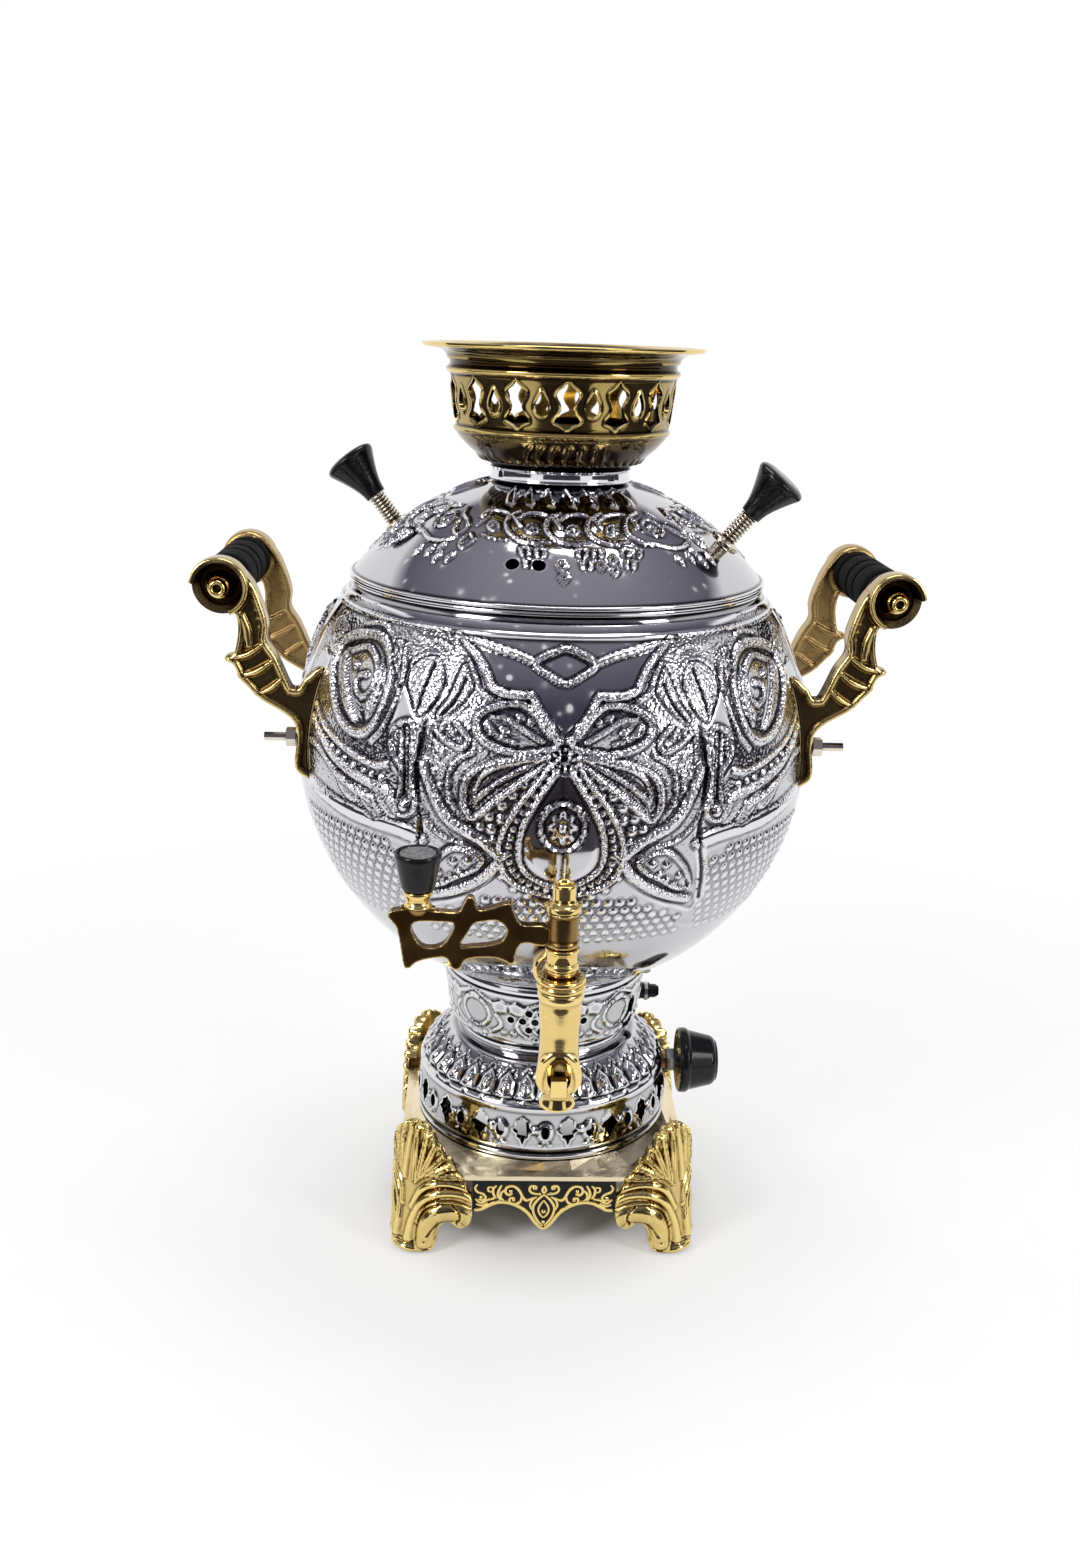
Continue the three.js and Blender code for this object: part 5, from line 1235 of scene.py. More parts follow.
@dataclass
class Lid(Part):
    """The domed lid with its collar, stems and knobs."""

    radius: float = 132.0
    middle: float = 267.49
    hole_radius: float = 31.0
    seam_z: float = 348.62
    bead_radius: float = 104.4
    bead_height: float = 2.0
    skirt_radius: float = 97.6
    skirt_height: float = 7.6
    skirt_wall: float = 1.4
    wall: float = 1.5
    turn: float = math.radians(13)
    knob_tilt: float = math.radians(39.4)
    stem_low: float = 132.3
    stem_beads: int = 8
    stem_pitch: float = 14.5 / 8
    knob_radius: float = 13.2
    knob_height: float = 24.7
    vent_radius: float = 3.2
    vent_angles: Range = (-8.0, -16.0)
    vent_arc: float = 111.5
    collar_low: float = 396.13
    collar_high: float = 402.5

    def gadroons(self, sheet: Relief) -> None:
        """Draws slanted flutes round the collar and leaves beyond them on one sector.

        Args:
            sheet: its relief.
        """
        for k in range(-3, 4):
            at = k * 8.2
            share = [(0, 0), (3, -6), (4.4, -14), (2.4, -20), (-0.8, -18), (-1.6, -9)]
            lean = 0.45 + 0.1 * k
            leaf = [(at * (1 + (0 - y) * 0.008) + x + lean * -y * 0.35, 171 + y) for x, y in share]
            sheet.area(leaf, 1, 2.6)
            sheet.ridge([(at + 1, 170), (at * 1.1 + 3.4, 160), (at * 1.16 + 4.5, 153)], 1.4, 0.8,
                0.3)

    def scrolls(self, sheet: Relief) -> None:
        """Draws the scroll band and its hanging leaves on one sector.

        Args:
            sheet: its relief.
        """
        for k in (-1.5, -0.5, 0.5, 1.5):
            at = k * 18.8 - 2
            loop = [(at - 10.5, 141), (at - 6, 145.5), (at + 1, 146), (at + 6.5, 142),
                (at + 9.5, 136)]
            sheet.ridge(loop, 2.6, 1.3, 0.5)
            sheet.ridge([(at + 9.5, 146.5), (at + 4.5, 143), (at + 2.6, 136), (at + 5, 129.5),
                (at + 11, 125), (at + 17, 124)], 3, 1.4, 0.5)
            rose = oval(3.1, 3.4, 8, at - 4, 134.5)
            sheet.ridge(rose, 1.2, 1, 0.3, True)
            sheet.dome((at - 4, 134.5), 1.4, 1.3)
            for a in even_angles(5):
                sheet.dome((at - 4 + 2.1 * math.cos(a), 134.5 + 2.3 * math.sin(a)), 0.9, 0.9)
            sheet.beads([(at - 9, 128), (at - 3, 126), (at + 3, 126)], 2.6, 1, 0.9)
        for at, low in ((6, 122), (13, 121.5), (26.5, 122), (32, 121.5), (-20, 122), (-13, 121.5)):
            for drop in (0, 1):
                x, y = at + (1.5 if drop == 0 else 3.5), low - 7.2 * drop
                if drop and at in (13, 32, -13):
                    continue
                kite = [(x - 3, y), (x - 2.5, y - 4), (x, y - 7), (x + 2.5, y - 4),
                    (x + 3, y)]
                sheet.area(kite, 1, 1.2, 0.7)
                sheet.ridge([(x, y - 1), (x, y - 6)], 0.9, -0.5)
        for x, y in ((16, 112), (21.5, 115), (22.5, 109), (-2, 111), (-1, 105)):
            drop_leaf = [(x, y + 3.4), (x + 1.8, y), (x, y - 3.2), (x - 1.8, y)]
            sheet.ridge(drop_leaf, 1.1, 0.9, 0, True)

    def flourish(self, sheet: Relief) -> None:
        """Draws the loose spray between two scroll bands.

        Args:
            sheet: its relief.
        """
        for points, width in (([(-14, 138), (-9, 141), (-5, 137), (-6, 131), (-12, 129),
            (-16, 133)], 2), ([(-4, 146), (-1, 140), (4, 137), (8, 131), (6, 126), (1, 130),
            (-1, 135)], 2.2), ([(-17, 124), (-8, 120.5), (0, 121), (6, 124)], 2.2),
            ([(10, 148), (13, 141), (12, 134)], 2), ([(12, 128), (17, 124), (15, 118), (11, 122),
            (12, 128)], 1.6)):
            sheet.ridge(points, width, 1.1, 0.3)
        for x, y in ((-2, 114), (3, 117), (5, 111), (12, 112), (-10, 113)):
            leaf = [(x, y + 3.8), (x + 2.1, y), (x, y - 3.8), (x - 2.1, y)]
            sheet.area(leaf, 0.9, 1.2, 0.7)
        for a in even_angles(6):
            sheet.dome((-10 + 1.9 * math.cos(a), 134 + 2.0 * math.sin(a)), 0.9, 0.9)

    def dome(self) -> Piece:
        """Builds the dome with its two vent holes.

        Returns:
            The object.
        """
        bead_top = self.seam_z + self.bead_height
        low = math.asin((bead_top - self.middle) / self.radius)
        high = math.acos(self.hole_radius / self.radius)
        rows = sphere_rows(self.radius, low, high, 0.75, self.middle)
        latitude = np.arcsin(np.clip((rows[:, 1] - self.middle) / self.radius, -1, 1))
        angles = even_angles(620)
        panels = [Panel(draw, a + turn, reach) for draw, count, turn, reach in
                  ((self.scrolls, 4, 0, 0.75), (self.flourish, 4, math.pi / 4, 0.5),
                   (self.gadroons, 3, 0, 1.6)) for a in even_angles(count)]
        heights, punch = lay_panels(self.radius, latitude, angles, panels)
        radius, edge = self.radius - self.wall, self.skirt_radius - self.skirt_wall
        low, high = math.acos(edge / radius), math.acos(self.hole_radius / radius)
        under = sphere_rows(radius, low, high, 6.0, self.middle)[::-1]
        foot = self.seam_z - self.skirt_height
        rim = rounded([(edge, foot), (self.skirt_radius, foot), (self.skirt_radius, self.seam_z),
                       (self.bead_radius, self.seam_z), (self.bead_radius, bead_top),
                       tuple(rows[0])], 0.8)
        piece = embossed_shell("lid_embossed", rows, np.vstack([under, rim[:-1]]), angles,
                               heights, punch)
        tilt = Matrix.Rotation(math.pi / 2 - self.vent_arc / self.radius, 4, "X")
        carve(piece, [
            drill(self.vent_radius, 100, 150, 24,
                  on_axis(self.middle) @ Matrix.Rotation(math.radians(degrees), 4, "Z") @ tilt)
            for degrees in self.vent_angles])
        return piece

    def knob(self, side: str, sign: int) -> None:
        """Builds one stem and its knob.

        Args:
            side: name of the side.
            sign: 1 for +X, -1 for -X.
        """
        spin = Matrix.Rotation(-self.turn, 4, "Z") @ Matrix.Rotation(sign * math.pi / 2, 4, "Z")
        place = on_axis(self.middle) @ (spin @ Matrix.Rotation(self.knob_tilt, 4, "X"))
        low, step, beads = self.stem_low, self.stem_pitch, []
        for i in range(self.stem_beads):
            z = low + 3 + step * i
            beads += [(3.0, z + 0.15), (4.5, z + step * 0.3), (4.5, z + step * 0.7),
                      (3.0, z + step - 0.15)]
        stem = [(0, low - 1.0), (7.4, low - 1.0), (7.4, low + 0.9), (5.6, low + 2.0),
                (3.2, low + 2.9), *beads, (2.6, low + 17.4), (0, low + 17.4)]
        self.shop.place(turned(f"lid_stem_{side}_beaded", stem, 40, place, 0.5),
                        Finish.WARM_NICKEL, f"lid_stem_{side}", body=Body.LID)
        shares = [(0, 0), (0.40, 0), (0.41, 0.03), (0.43, 0.12), (0.47, 0.22), (0.56, 0.36),
                  (0.69, 0.52), (0.82, 0.66), (0.94, 0.78), (0.985, 0.83), (1, 0.87),
                  (0.985, 0.91), (0.9, 0.95), (0.72, 0.985), (0.4, 1), (0, 1)]
        head = [(self.knob_radius * r, low + 17.8 + self.knob_height * z) for r, z in shares]
        self.shop.place(turned(f"lid_knob_{side}_moulded", head, 72, place, 0.9),
                        Finish.BLACK_BAKELITE, f"lid_knob_{side}", body=Body.LID)

    def build(self) -> None:
        """Builds and places the lid's pieces."""
        self.shop.place(self.dome(), Finish.EMBOSSED_CHROME, "lid_dome", body=Body.LID)
        low, high = self.collar_low, self.collar_high
        wall = [(31, low), (34.5, low), (35.3, low + 0.7), (34.6, low + 1.6), (34.4, high - 1.2),
                (35.4, high), (31, high)]
        self.shop.place(turned("lid_collar_turned", wall, 96, on_axis(), 0.5),
                        Finish.PLAIN_CHROME, "lid_collar", body=Body.LID)
        self.knob("right", 1)
        self.knob("left", -1)


@dataclass
class HoleRing:
    """A ring of equal holes that face outwards, with a raised rim round each."""

    outline: np.ndarray
    z: float
    count: int
    offset: float

    def cutters(self, near: float, far: float) -> list[Piece]:
        """Makes the holes' cutters.

        Args:
            near: distance from the axis where they start.
            far: distance where they end.

        Returns:
            The cutters.
        """
        cutters = []
        for i in range(self.count):
            spin = Matrix.Rotation((i + self.offset) * FULL_TURN / self.count, 4, "Z")
            cutter = prism("cutter", self.outline, near, far)
            cutters.append(move(cutter, on_axis(self.z) @ (spin @ TO_FRONT)))
        return cutters

    def rims(self, u: np.ndarray, v: np.ndarray, pitch: float, width: float,
             rise: float) -> np.ndarray:
        """Raises a rim round each hole.

        Args:
            u: distance round the band.
            v: height on the band.
            pitch: distance between holes.
            width: how far the rim reaches from the hole.
            rise: the rim's height.

        Returns:
            The heights.
        """
        local = (u - self.offset * pitch + pitch / 2) % pitch - pitch / 2
        out = np.zeros(u.shape)
        tall = np.abs(v - self.z) < self.outline[:, 1].max() + width
        gap = path_distance(local[tall], v[tall] - self.z, self.outline, True)
        out[tall] = rise * np.clip(1 - gap / width, 0, 1) ** 0.7
        return out


def even_outline(half: Points, width: float, height: float) -> np.ndarray:
    """Mirrors the right half of an outline of shares and smooths it at its real size."""
    points = [*half, *mirrored(half[-2:0:-1])]
    return smooth_path([(x * width, y * height) for x, y in points], 0.6, True)


@dataclass
class Crown(Part):
    """The pierced brass gallery that carries the teapot."""

    rim_radius: float = 69.0
    low: float = 402.8
    height: float = 57.2
    wall: float = 1.3
    pitches: int = 14
    columns_per_pitch: int = 52
    band: Range = (0.34, 0.745)
    band_radius: float = 0.782 * 69.0
    sleeve_radius: float = 26.3
    sleeve_depth: float = 14.0

    def profile(self) -> np.ndarray:
        """Gives the outer profile from its foot to the rim's edge.

        Returns:
            [radius, z] rows.
        """
        shares = [
            (0.50, 0), (0.51, 0.02), (0.545, 0.045), (0.575, 0.06), (0.60, 0.085), (0.655, 0.14),
            (0.70, 0.19), (0.74, 0.245), (0.757, 0.275), (0.77, 0.288), (0.776, 0.305),
            (0.77, 0.322), (0.759, 0.333), (0.762, 0.36), (0.772, 0.46), (0.785, 0.60),
            (0.798, 0.735), (0.806, 0.75), (0.824, 0.765), (0.830, 0.785), (0.824, 0.805),
            (0.808, 0.818), (0.802, 0.84), (0.808, 0.862), (0.823, 0.868), (0.825, 0.885),
            (0.832, 0.905), (0.856, 0.93), (0.90, 0.948), (0.955, 0.957), (0.99, 0.965), (1, 0.98)]
        return smooth_path([(r * self.rim_radius, self.low + z * self.height)
                            for r, z in smooth_path(shares, 1)], 0.55)

    def build(self) -> None:
        """Builds and places the crown."""
        outer = self.profile()
        rim, top, low = self.rim_radius, self.low + self.height, self.low
        back = outer[::-1][6:]
        inset = back + outward_normals(back) * self.wall
        inset = inset[(inset[:, 1] > low + 2.6) & (inset[:, 1] < top - 1.4)][::3]
        sleeve, bottom = self.sleeve_radius, low - self.sleeve_depth
        inner = [(rim, top - 0.3), (rim - 0.4, top), (rim - 3.4, top), *inset,
                 (sleeve - 1, low + 1.4), (sleeve - 1, bottom), (sleeve, bottom), (sleeve, low)]
        angles = even_angles(self.pitches * self.columns_per_pitch)
        start, end = (low + s * self.height for s in self.band)
        middle, tall, radius = (start + end) / 2, end - start, self.band_radius
        pitch = FULL_TURN * radius / self.pitches
        hour = even_outline(
            [(0, -0.5), (0.16, -0.43), (0.34, -0.38), (0.5, -0.335), (0.44, -0.26),
             (0.31, -0.17), (0.235, -0.06), (0.27, 0.05), (0.37, 0.15), (0.42, 0.24),
             (0.34, 0.31), (0.19, 0.37), (0.07, 0.44), (0, 0.5)], pitch * 0.5, tall * 0.93)
        drop = even_outline(
            [(0, -0.5), (0.3, -0.44), (0.47, -0.28), (0.5, -0.1), (0.4, 0.08), (0.22, 0.28),
             (0.07, 0.44), (0, 0.5)], pitch * 0.25, tall * 0.47)
        hours = HoleRing(hour, middle, self.pitches, 0)
        drops = HoleRing(drop, middle + 0.8, self.pitches, 0.5)
        u = np.repeat(angles[None, :] * radius, len(outer), 0)
        v = np.repeat(outer[:, 1:], len(angles), 1)
        heights = np.maximum(hours.rims(u, v, pitch, 1.3, 0.55),
                             drops.rims(u, v, pitch, 1.5, 0.7))
        foot = (v - low) / self.height
        lobes = np.abs(np.sin(angles[None, :] * 22 + foot * 26))
        heights += 0.9 * (lobes * np.clip(1 - np.abs(foot - 0.062) / 0.045, 0, 1))
        piece = embossed_shell("crown_pierced", outer, inner, angles, heights)
        near, far = radius - 12, rim + 4
        carve(piece, hours.cutters(near, far) + drops.cutters(near, far))
        self.shop.place(piece, Finish.CROWN_BRASS, "crown_gallery", body=Body.CROWN)


@dataclass
class Foot(Part):
    """The pierced neck and skirt that hide the burner."""

    neck_radius: float = 54.5
    neck_low: float = 100.3
    neck_height: float = 41.5
    skirt_radius: float = 70.0
    skirt_low: float = 50.3
    skirt_height: float = 49.7
    wall: float = 1.5
    pitches: int = 18
    columns_per_pitch: int = 36

    def neck(self) -> Piece:
        """Builds the neck.

        Returns:
            The object.
        """
        shares = [
            (0.853, 0), (0.858, 0.03), (0.866, 0.06), (0.862, 0.09), (0.855, 0.11), (0.87, 0.135),
            (0.915, 0.165), (0.94, 0.19), (0.952, 0.24), (0.957, 0.32), (0.972, 0.5), (0.988, 0.7),
            (0.998, 0.83), (1, 0.87), (0.985, 0.885), (0.985, 0.9), (1, 0.915), (1, 0.96),
            (0.99, 1)]
        base, low, tall = self.neck_radius, self.neck_low, self.neck_height
        outer = smooth_path([(r * base, low + z * tall) for r, z in shares], 0.7)
        inner = [(base - self.wall, outer[-1][1]),
                 *((r * base - self.wall, low + z * tall)
                   for r, z in ((0.957, 0.3), (0.853, 0.1), (0.853, 0)))]
        angles = even_angles(400)
        middle = low + 0.54 * tall
        u = wrapped(angles, 0)[None, :] * base * np.ones((len(outer), 1))
        v = np.repeat(outer[:, 1:], len(angles), 1) - middle
        heights = np.zeros(u.shape)
        for turn in range(8):
            sheet = Relief(wrapped(u / base, turn * FULL_TURN / 8) * base, v)
            for _ in sheet.both_sides():
                sheet.area([(13, 9), (17, 11), (22, 9), (20, 4), (14, 3), (12, 6)], 0.8, 2.0, 0.5)
                sheet.ridge([(2, 12.5), (8, 9.5), (12, 8)], 2.0, 0.7, 0.4)
                sheet.ridge([(14, 1), (17, -3), (15, -7), (10, -9.5)], 1.8, 0.6, 0.3)
                sheet.dome((18.5, -8), 1.6, 0.8)
                sheet.dome((6, -11.5), 1.3, 0.7)
            sheet.ridge(oval(9.6, 8.2, 12), 1.8, 0.7, 0.0, True)
            sheet.area([(-4, 9.5), (0, 12), (4, 9.5), (0, 8)], 0.8, 1.4)
            heights = stronger(sheet.heights(), heights)
        piece = embossed_shell("neck_embossed", outer, inner, angles, heights)
        cutters = []
        for row, count in enumerate((4, 7, 4)):
            for i in range(count):
                spin = Matrix.Rotation((i - (count - 1) / 2) * 6.7 / base, 4, "Z")
                cutters.append(drill(2, 44, 60, 20,
                                     on_axis(middle + (row - 1) * 5) @ spin @ TO_FRONT))
        window = HoleRing(np.array(oval(4, 5, 24)), low + 0.52 * tall, 1, 61 / 360)
        cutters += window.cutters(44, 60)
        cutters.append(drill(3.9, 40, 60, 24, on_axis(low + 0.354 * tall, 6.0) @ TO_RIGHT))
        carve(piece, cutters)
        return piece

    def skirt(self) -> Piece:
        """Builds the skirt.

        Returns:
            The object.
        """
        shares = [
            (0.974, 0), (0.985, 0.008), (0.992, 0.03), (0.99, 0.055), (0.978, 0.075), (0.98, 0.1),
            (0.992, 0.14), (0.99, 0.19), (0.985, 0.3), (0.975, 0.42), (0.966, 0.53),
            (0.968, 0.545), (0.975, 0.57), (0.972, 0.61), (0.955, 0.645), (0.935, 0.66),
            (0.93, 0.675), (0.905, 0.72), (0.865, 0.775), (0.82, 0.85), (0.775, 0.92),
            (0.735, 0.965), (0.69, 0.985), (0.664, 1)]
        base, low, tall = self.skirt_radius, self.skirt_low, self.skirt_height
        outer = smooth_path([(r * base, low + z * tall) for r, z in shares], 0.7)
        back = [(0.664, 1), (0.76, 0.9), (0.88, 0.71), (0.94, 0.6), (0.975, 0.17), (0.96, 0)]
        inner = [(r * base - self.wall, low + z * tall) for r, z in back]
        angles = even_angles(self.pitches * self.columns_per_pitch)
        radius = 0.982 * base
        pitch = FULL_TURN * radius / self.pitches
        middle, upper = low + 0.335 * tall, low + 0.78 * tall
        star = even_outline(
            [(0, -0.5), (0.12, -0.3), (0.3, -0.2), (0.28, -0.1), (0.5, 0.02), (0.34, 0.16),
             (0.3, 0.34), (0.12, 0.4), (0, 0.5)], 10.6, 15)
        stars = HoleRing(star, middle, self.pitches, 0.5)
        ovals = HoleRing(np.array(oval(2.5, 3.6, 20)), middle, self.pitches, 0)
        u = wrapped(angles, 0)[None, :] * radius * np.ones((len(outer), 1))
        v = np.repeat(outer[:, 1:], len(angles), 1)
        rims = np.maximum(ovals.rims(u, v, pitch, 2.2, 0.9), stars.rims(u, v, pitch, 0.9, 0.3))
        lower_sheet = Relief((u + pitch / 2) % pitch - pitch / 2, v)
        lower_sheet.dome((-5.0, middle + 1.0), 2.3, 1.3)
        lower_sheet.ridge([(-3, middle - 7.5), (0, middle - 5.2), (3, middle - 7.5)], 1.2, 0.6)
        sheet = Relief((u + pitch / 4) % (pitch / 2) - pitch / 4, v)
        sheet.area([(-4.6, upper - 4.5), (0, upper - 6.5), (4.6, upper - 4.5), (4.2, upper + 1),
                    (0, upper + 4.5), (-4.2, upper + 1)], 1.5, 3.0)
        sheet.dome((0, upper - 1.5), 2.4, 1.2)
        sheet.ridge([(-2.2, upper + 5.5), (0, upper + 7.5), (2.2, upper + 5.5)], 1.6, 0.9)
        sheet.dome((5.3, upper + 4.2), 1.5, 0.9)
        heights = np.maximum(np.maximum(rims, lower_sheet.heights()), sheet.heights())
        piece = embossed_shell("skirt_embossed", outer, inner, angles, heights)
        near, far = 50.0, base + 5
        cutters = stars.cutters(near, far) + ovals.cutters(near, far)
        for turn in (TO_RIGHT, Matrix.Rotation(-math.pi / 2, 4, "X")):
            cutters.append(drill(5.3, 46, far, 24, on_axis(low + 0.497 * tall) @ turn))
        carve(piece, cutters)
        return piece

    def build(self) -> None:
        """Builds and places both shells."""
        self.shop.place(self.neck(), Finish.FOOT_CHROME, "neck_ring")
        self.shop.place(self.skirt(), Finish.FOOT_CHROME, "skirt_shell")


# Castings: swept and turned bodies melted together


def swept(name: str, points: Sequence[Sequence[float]], radii: Sequence[float],
          squash: float = 1.0, up: Color = (0, 1, 0), sides: int = 10,
          spacing: float = 1.0) -> Piece:
    """Sweeps an oval along a smooth line, closed at both ends.

    Args:
        name: the piece's name.
        points: the line, in millimetres.
        radii: the oval's radius at each point.
        squash: the oval's share of that radius along up.
        up: direction in which the oval is squashed.
        sides: corners of the oval.
        spacing: distance between sections.

    Returns:
        The object.
    """
    path = smooth_path([(*p, r) for p, r in zip(points, radii)], spacing)
    line, size = path[:, :3], np.maximum(path[:, 3], 0.05)
    along = np.gradient(line, axis=0)
    along /= np.linalg.norm(along, axis=1)[:, None]
    side = np.cross(along, np.array(up, float))
    side /= np.linalg.norm(side, axis=1)[:, None]
    over = np.cross(side, along)
    angle = even_angles(sides)[None, :, None]
    ring = line[:, None, :] + size[:, None, None] * (
        np.cos(angle) * side[:, None, :] + squash * np.sin(angle) * over[:, None, :])
    faces = grid_faces(len(line), sides, False, True).tolist()
    last = (len(line) - 1) * sides
    faces += [list(range(sides))[::-1], list(range(last, last + sides))]
    piece = new_piece(name, ring.reshape(-1, 3), faces)
    face_outwards(piece)
    shade(piece)
    return piece


def ball(centre: Sequence[float], radii: Sequence[float], segments: int = 16) -> Piece:
    """Makes an egg-shaped body.

    Args:
        centre: its middle, in millimetres.
        radii: its half sizes.
        segments: facets round.

    Returns:
        The object.
    """
    steps = segments // 2
    arc = [(math.sin(math.pi * i / steps), -math.cos(math.pi * i / steps))
           for i in range(steps + 1)]
    arc[0], arc[-1] = (0, -1), (0, 1)
    place = Matrix.Translation(tuple(centre)) @ Matrix.Diagonal((*radii, 1))
    return turned("ball", arc, segments, place)


@dataclass
class CornerFoot:
    """A cast leaf foot that wraps round a corner of the plate."""

    half: float = 77.0
    plate_low: float = 43.0
    plate_high: float = 50.0
    corner_cut: float = 26.0
    gap: float = 0.35
    thickness: float = 5.5
    reach: float = 40.6
    limit: float = 82.55
    rows: int = 132

    def path(self) -> np.ndarray:
        """Gives the plan line, from the front wing's end to the side wing's end."""
        wing = [(37.9, -78.2), (48, -78.5), (58, -78.0), (66, -75.0)]
        return smooth_path([*wing, (71.6, -71.6), *((-y, -x) for x, y in reversed(wing))], 0.55)

    def outline(self, s: np.ndarray) -> tuple[np.ndarray, np.ndarray]:
        """Gives lowest and highest z at each distance from the corner.

        Args:
            s: the distances.

        Returns:
            Lowest and highest z.
        """
        low = [(0, 0), (12.5, 0), (15, 0.6), (17.8, 2.6), (19.2, 6.2), (19.8, 10.5), (21.2, 14.6),
            (23.8, 17.4), (26.6, 17.6), (29.4, 15.8), (31.8, 14), (34.4, 13.4), (37, 14.6),
            (39.2, 18), (40.6, 22)]
        high = [(0, 70), (1.8, 72.3), (4.5, 72.6), (6.2, 71), (8, 71.8), (10.5, 70.6),
            (12.5, 68.4), (14.5, 68.2), (17.3, 65.5), (18.8, 62.4), (21.4, 61.8), (23.6, 58.3),
            (25, 55.6), (27.6, 54.6), (30, 51.6), (32.4, 49.3), (35, 46.2), (36.6, 42.2),
            (38.4, 38), (40.6, 34.5)]
        s = np.abs(s)
        return np.interp(s, *zip(*low)), np.interp(s, *zip(*high))

    def draw_leaf(self, sheet: Relief) -> None:
        """Draws the leaf, its ribs, the big scroll and the volute.

        Args:
            sheet: the foot's relief.
        """
        band = [(40, 20.5), (35, 24), (28, 25), (21, 23.8), (15.4, 20), (12.8, 14), (13.2, 8)]
        rim = [(40.4, 26.5), (34, 29.6), (26, 31), (17.4, 29.8), (10, 24.6), (7.2, 15.5), (7.8, 7),
            (10.4, 1.6)]
        volute = [(18, 8.4), (17.4, 4), (13.6, 1.8), (10, 3.6), (9.4, 8), (11.6, 11.2)]
        fan = [((4.6, 41), (4.2, 56), (3.4, 70)), ((6.6, 43), (9.4, 57), (11.2, 68.6)),
            ((9, 45), (15, 57), (18.2, 64)), ((12, 46.4), (20, 54.4), (24.4, 58)),
            ((15.6, 47), (24.6, 51.2), (29.6, 52.6)), ((20, 46.4), (28.6, 46), (33.6, 46.6))]
        shoulders = (([(40, 33), (33, 35.8), (24, 36.4), (15.4, 34), (8.4, 28), (4.8, 19),
            (3.8, 9)], 5.4, 2.6), ([(37.6, 38.6), (31, 41), (23, 42), (14.6, 40), (8, 34.6),
            (3.6, 26)], 4.4, 2))
        for _ in sheet.both_sides():
            sheet.ridge(band, 10.6, 3)
            sheet.ridge(rim, 1.9, 1.5)
            sheet.ridge([(28.6, 29.4), (32.4, 26.4), (33.4, 22), (31.4, 17.6)], 1.5, -1.1)
            sheet.ridge([(28, 18.6), (22, 19), (17.4, 15.6), (14.6, 11.6)], 1.4, -0.9)
            sheet.ridge(volute, 2, 1.2)
            sheet.dome((13.4, 7.6), 2.5, 3.4)
            for line, width, rise in shoulders:
                sheet.ridge(line, width, rise)
            for line in fan:
                sheet.ridge(line, 4.8, 2.2)
                sheet.dome(line[-1], 2.9, 2.7)
                sheet.ridge(line, 1, -0.8)
        sheet.ridge([(-8.4, 2.6), (0, 3.8), (8.4, 2.6)], 4.2, 1.5)
        sheet.ridge([(-7.4, 6.4), (0, 7.8), (7.4, 6.4)], 1.3, -0.8)

    def build(self, quarter: int) -> Piece:
        """Builds one foot.

        Args:
            quarter: which corner, in quarter turns from the front right one.

        Returns:
            The object.
        """
        line = self.path()
        outward = outward_normals(line)
        length = np.concatenate([[0], np.cumsum(np.linalg.norm(np.diff(line, axis=0), axis=1))])
        s = length - length[-1] / 2
        s = s * self.reach / s[-1]
        low, high = self.outline(s)
        share = np.linspace(0, 1, self.rows)[:, None]
        z = low + (high - low) * share
        grid_s = np.repeat(s[None, :], self.rows, 0)
        sheet = Relief(grid_s, z.copy())
        self.draw_leaf(sheet)
        bulge = np.interp(z, [0, 1.5, 5, 9, 16, 24, 34, 44, 58, 66, 73],
                          [6.0, 6.8, 6.6, 5.0, 3.2, 1.2, -0.4, -1.2, -3.0, -4.8, -6.4])
        corner = np.exp(-(grid_s / 13.5) ** 2)
        lean = np.interp(z, [50, 60, 73], [0, -0.8, -3.4]) * (1 - corner)
        edge = np.minimum(share, 1 - share) * (high - low)
        fall = -1.8 * np.clip(1 - edge / 2.2, 0, 1) ** 2
        over = bulge * corner + lean + sheet.heights() + fall
        front = np.clip(line + outward * over[:, :, None], -self.limit, self.limit)
        back_share = np.array([0.995, 0.8, 0.6, 0.45, 0.3, 0.15, 0.005])[:, None]
        back_z = low + (high - low) * back_share
        depth = -self.thickness + np.interp(back_z, [50, 73], [0, -3.5])
        back = line + outward * depth[:, :, None]
        verts = np.concatenate([np.concatenate([front, back]),
                                np.concatenate([z, back_z])[:, :, None]], 2)
        rows, columns = verts.shape[:2]
        faces = grid_faces(rows, columns, True, False).tolist()
        faces += [[r * columns for r in range(rows)][::-1],
                  [r * columns + columns - 1 for r in range(rows)]]
        piece = new_piece("foot", verts.reshape(-1, 3), faces)
        face_outwards(piece)
        cut, half = self.corner_cut, self.half + self.gap
        room = [(0, 0), (0, -half), (half - cut, -half), (half, -half + cut), (half, 0)]
        carve(piece, [prism("cutter", room, self.plate_low - self.gap,
                            self.plate_high + self.gap)])
        move(piece, on_axis() @ Matrix.Rotation(quarter * math.pi / 2, 4, "Z"))
        shade(piece, math.radians(50))
        return piece


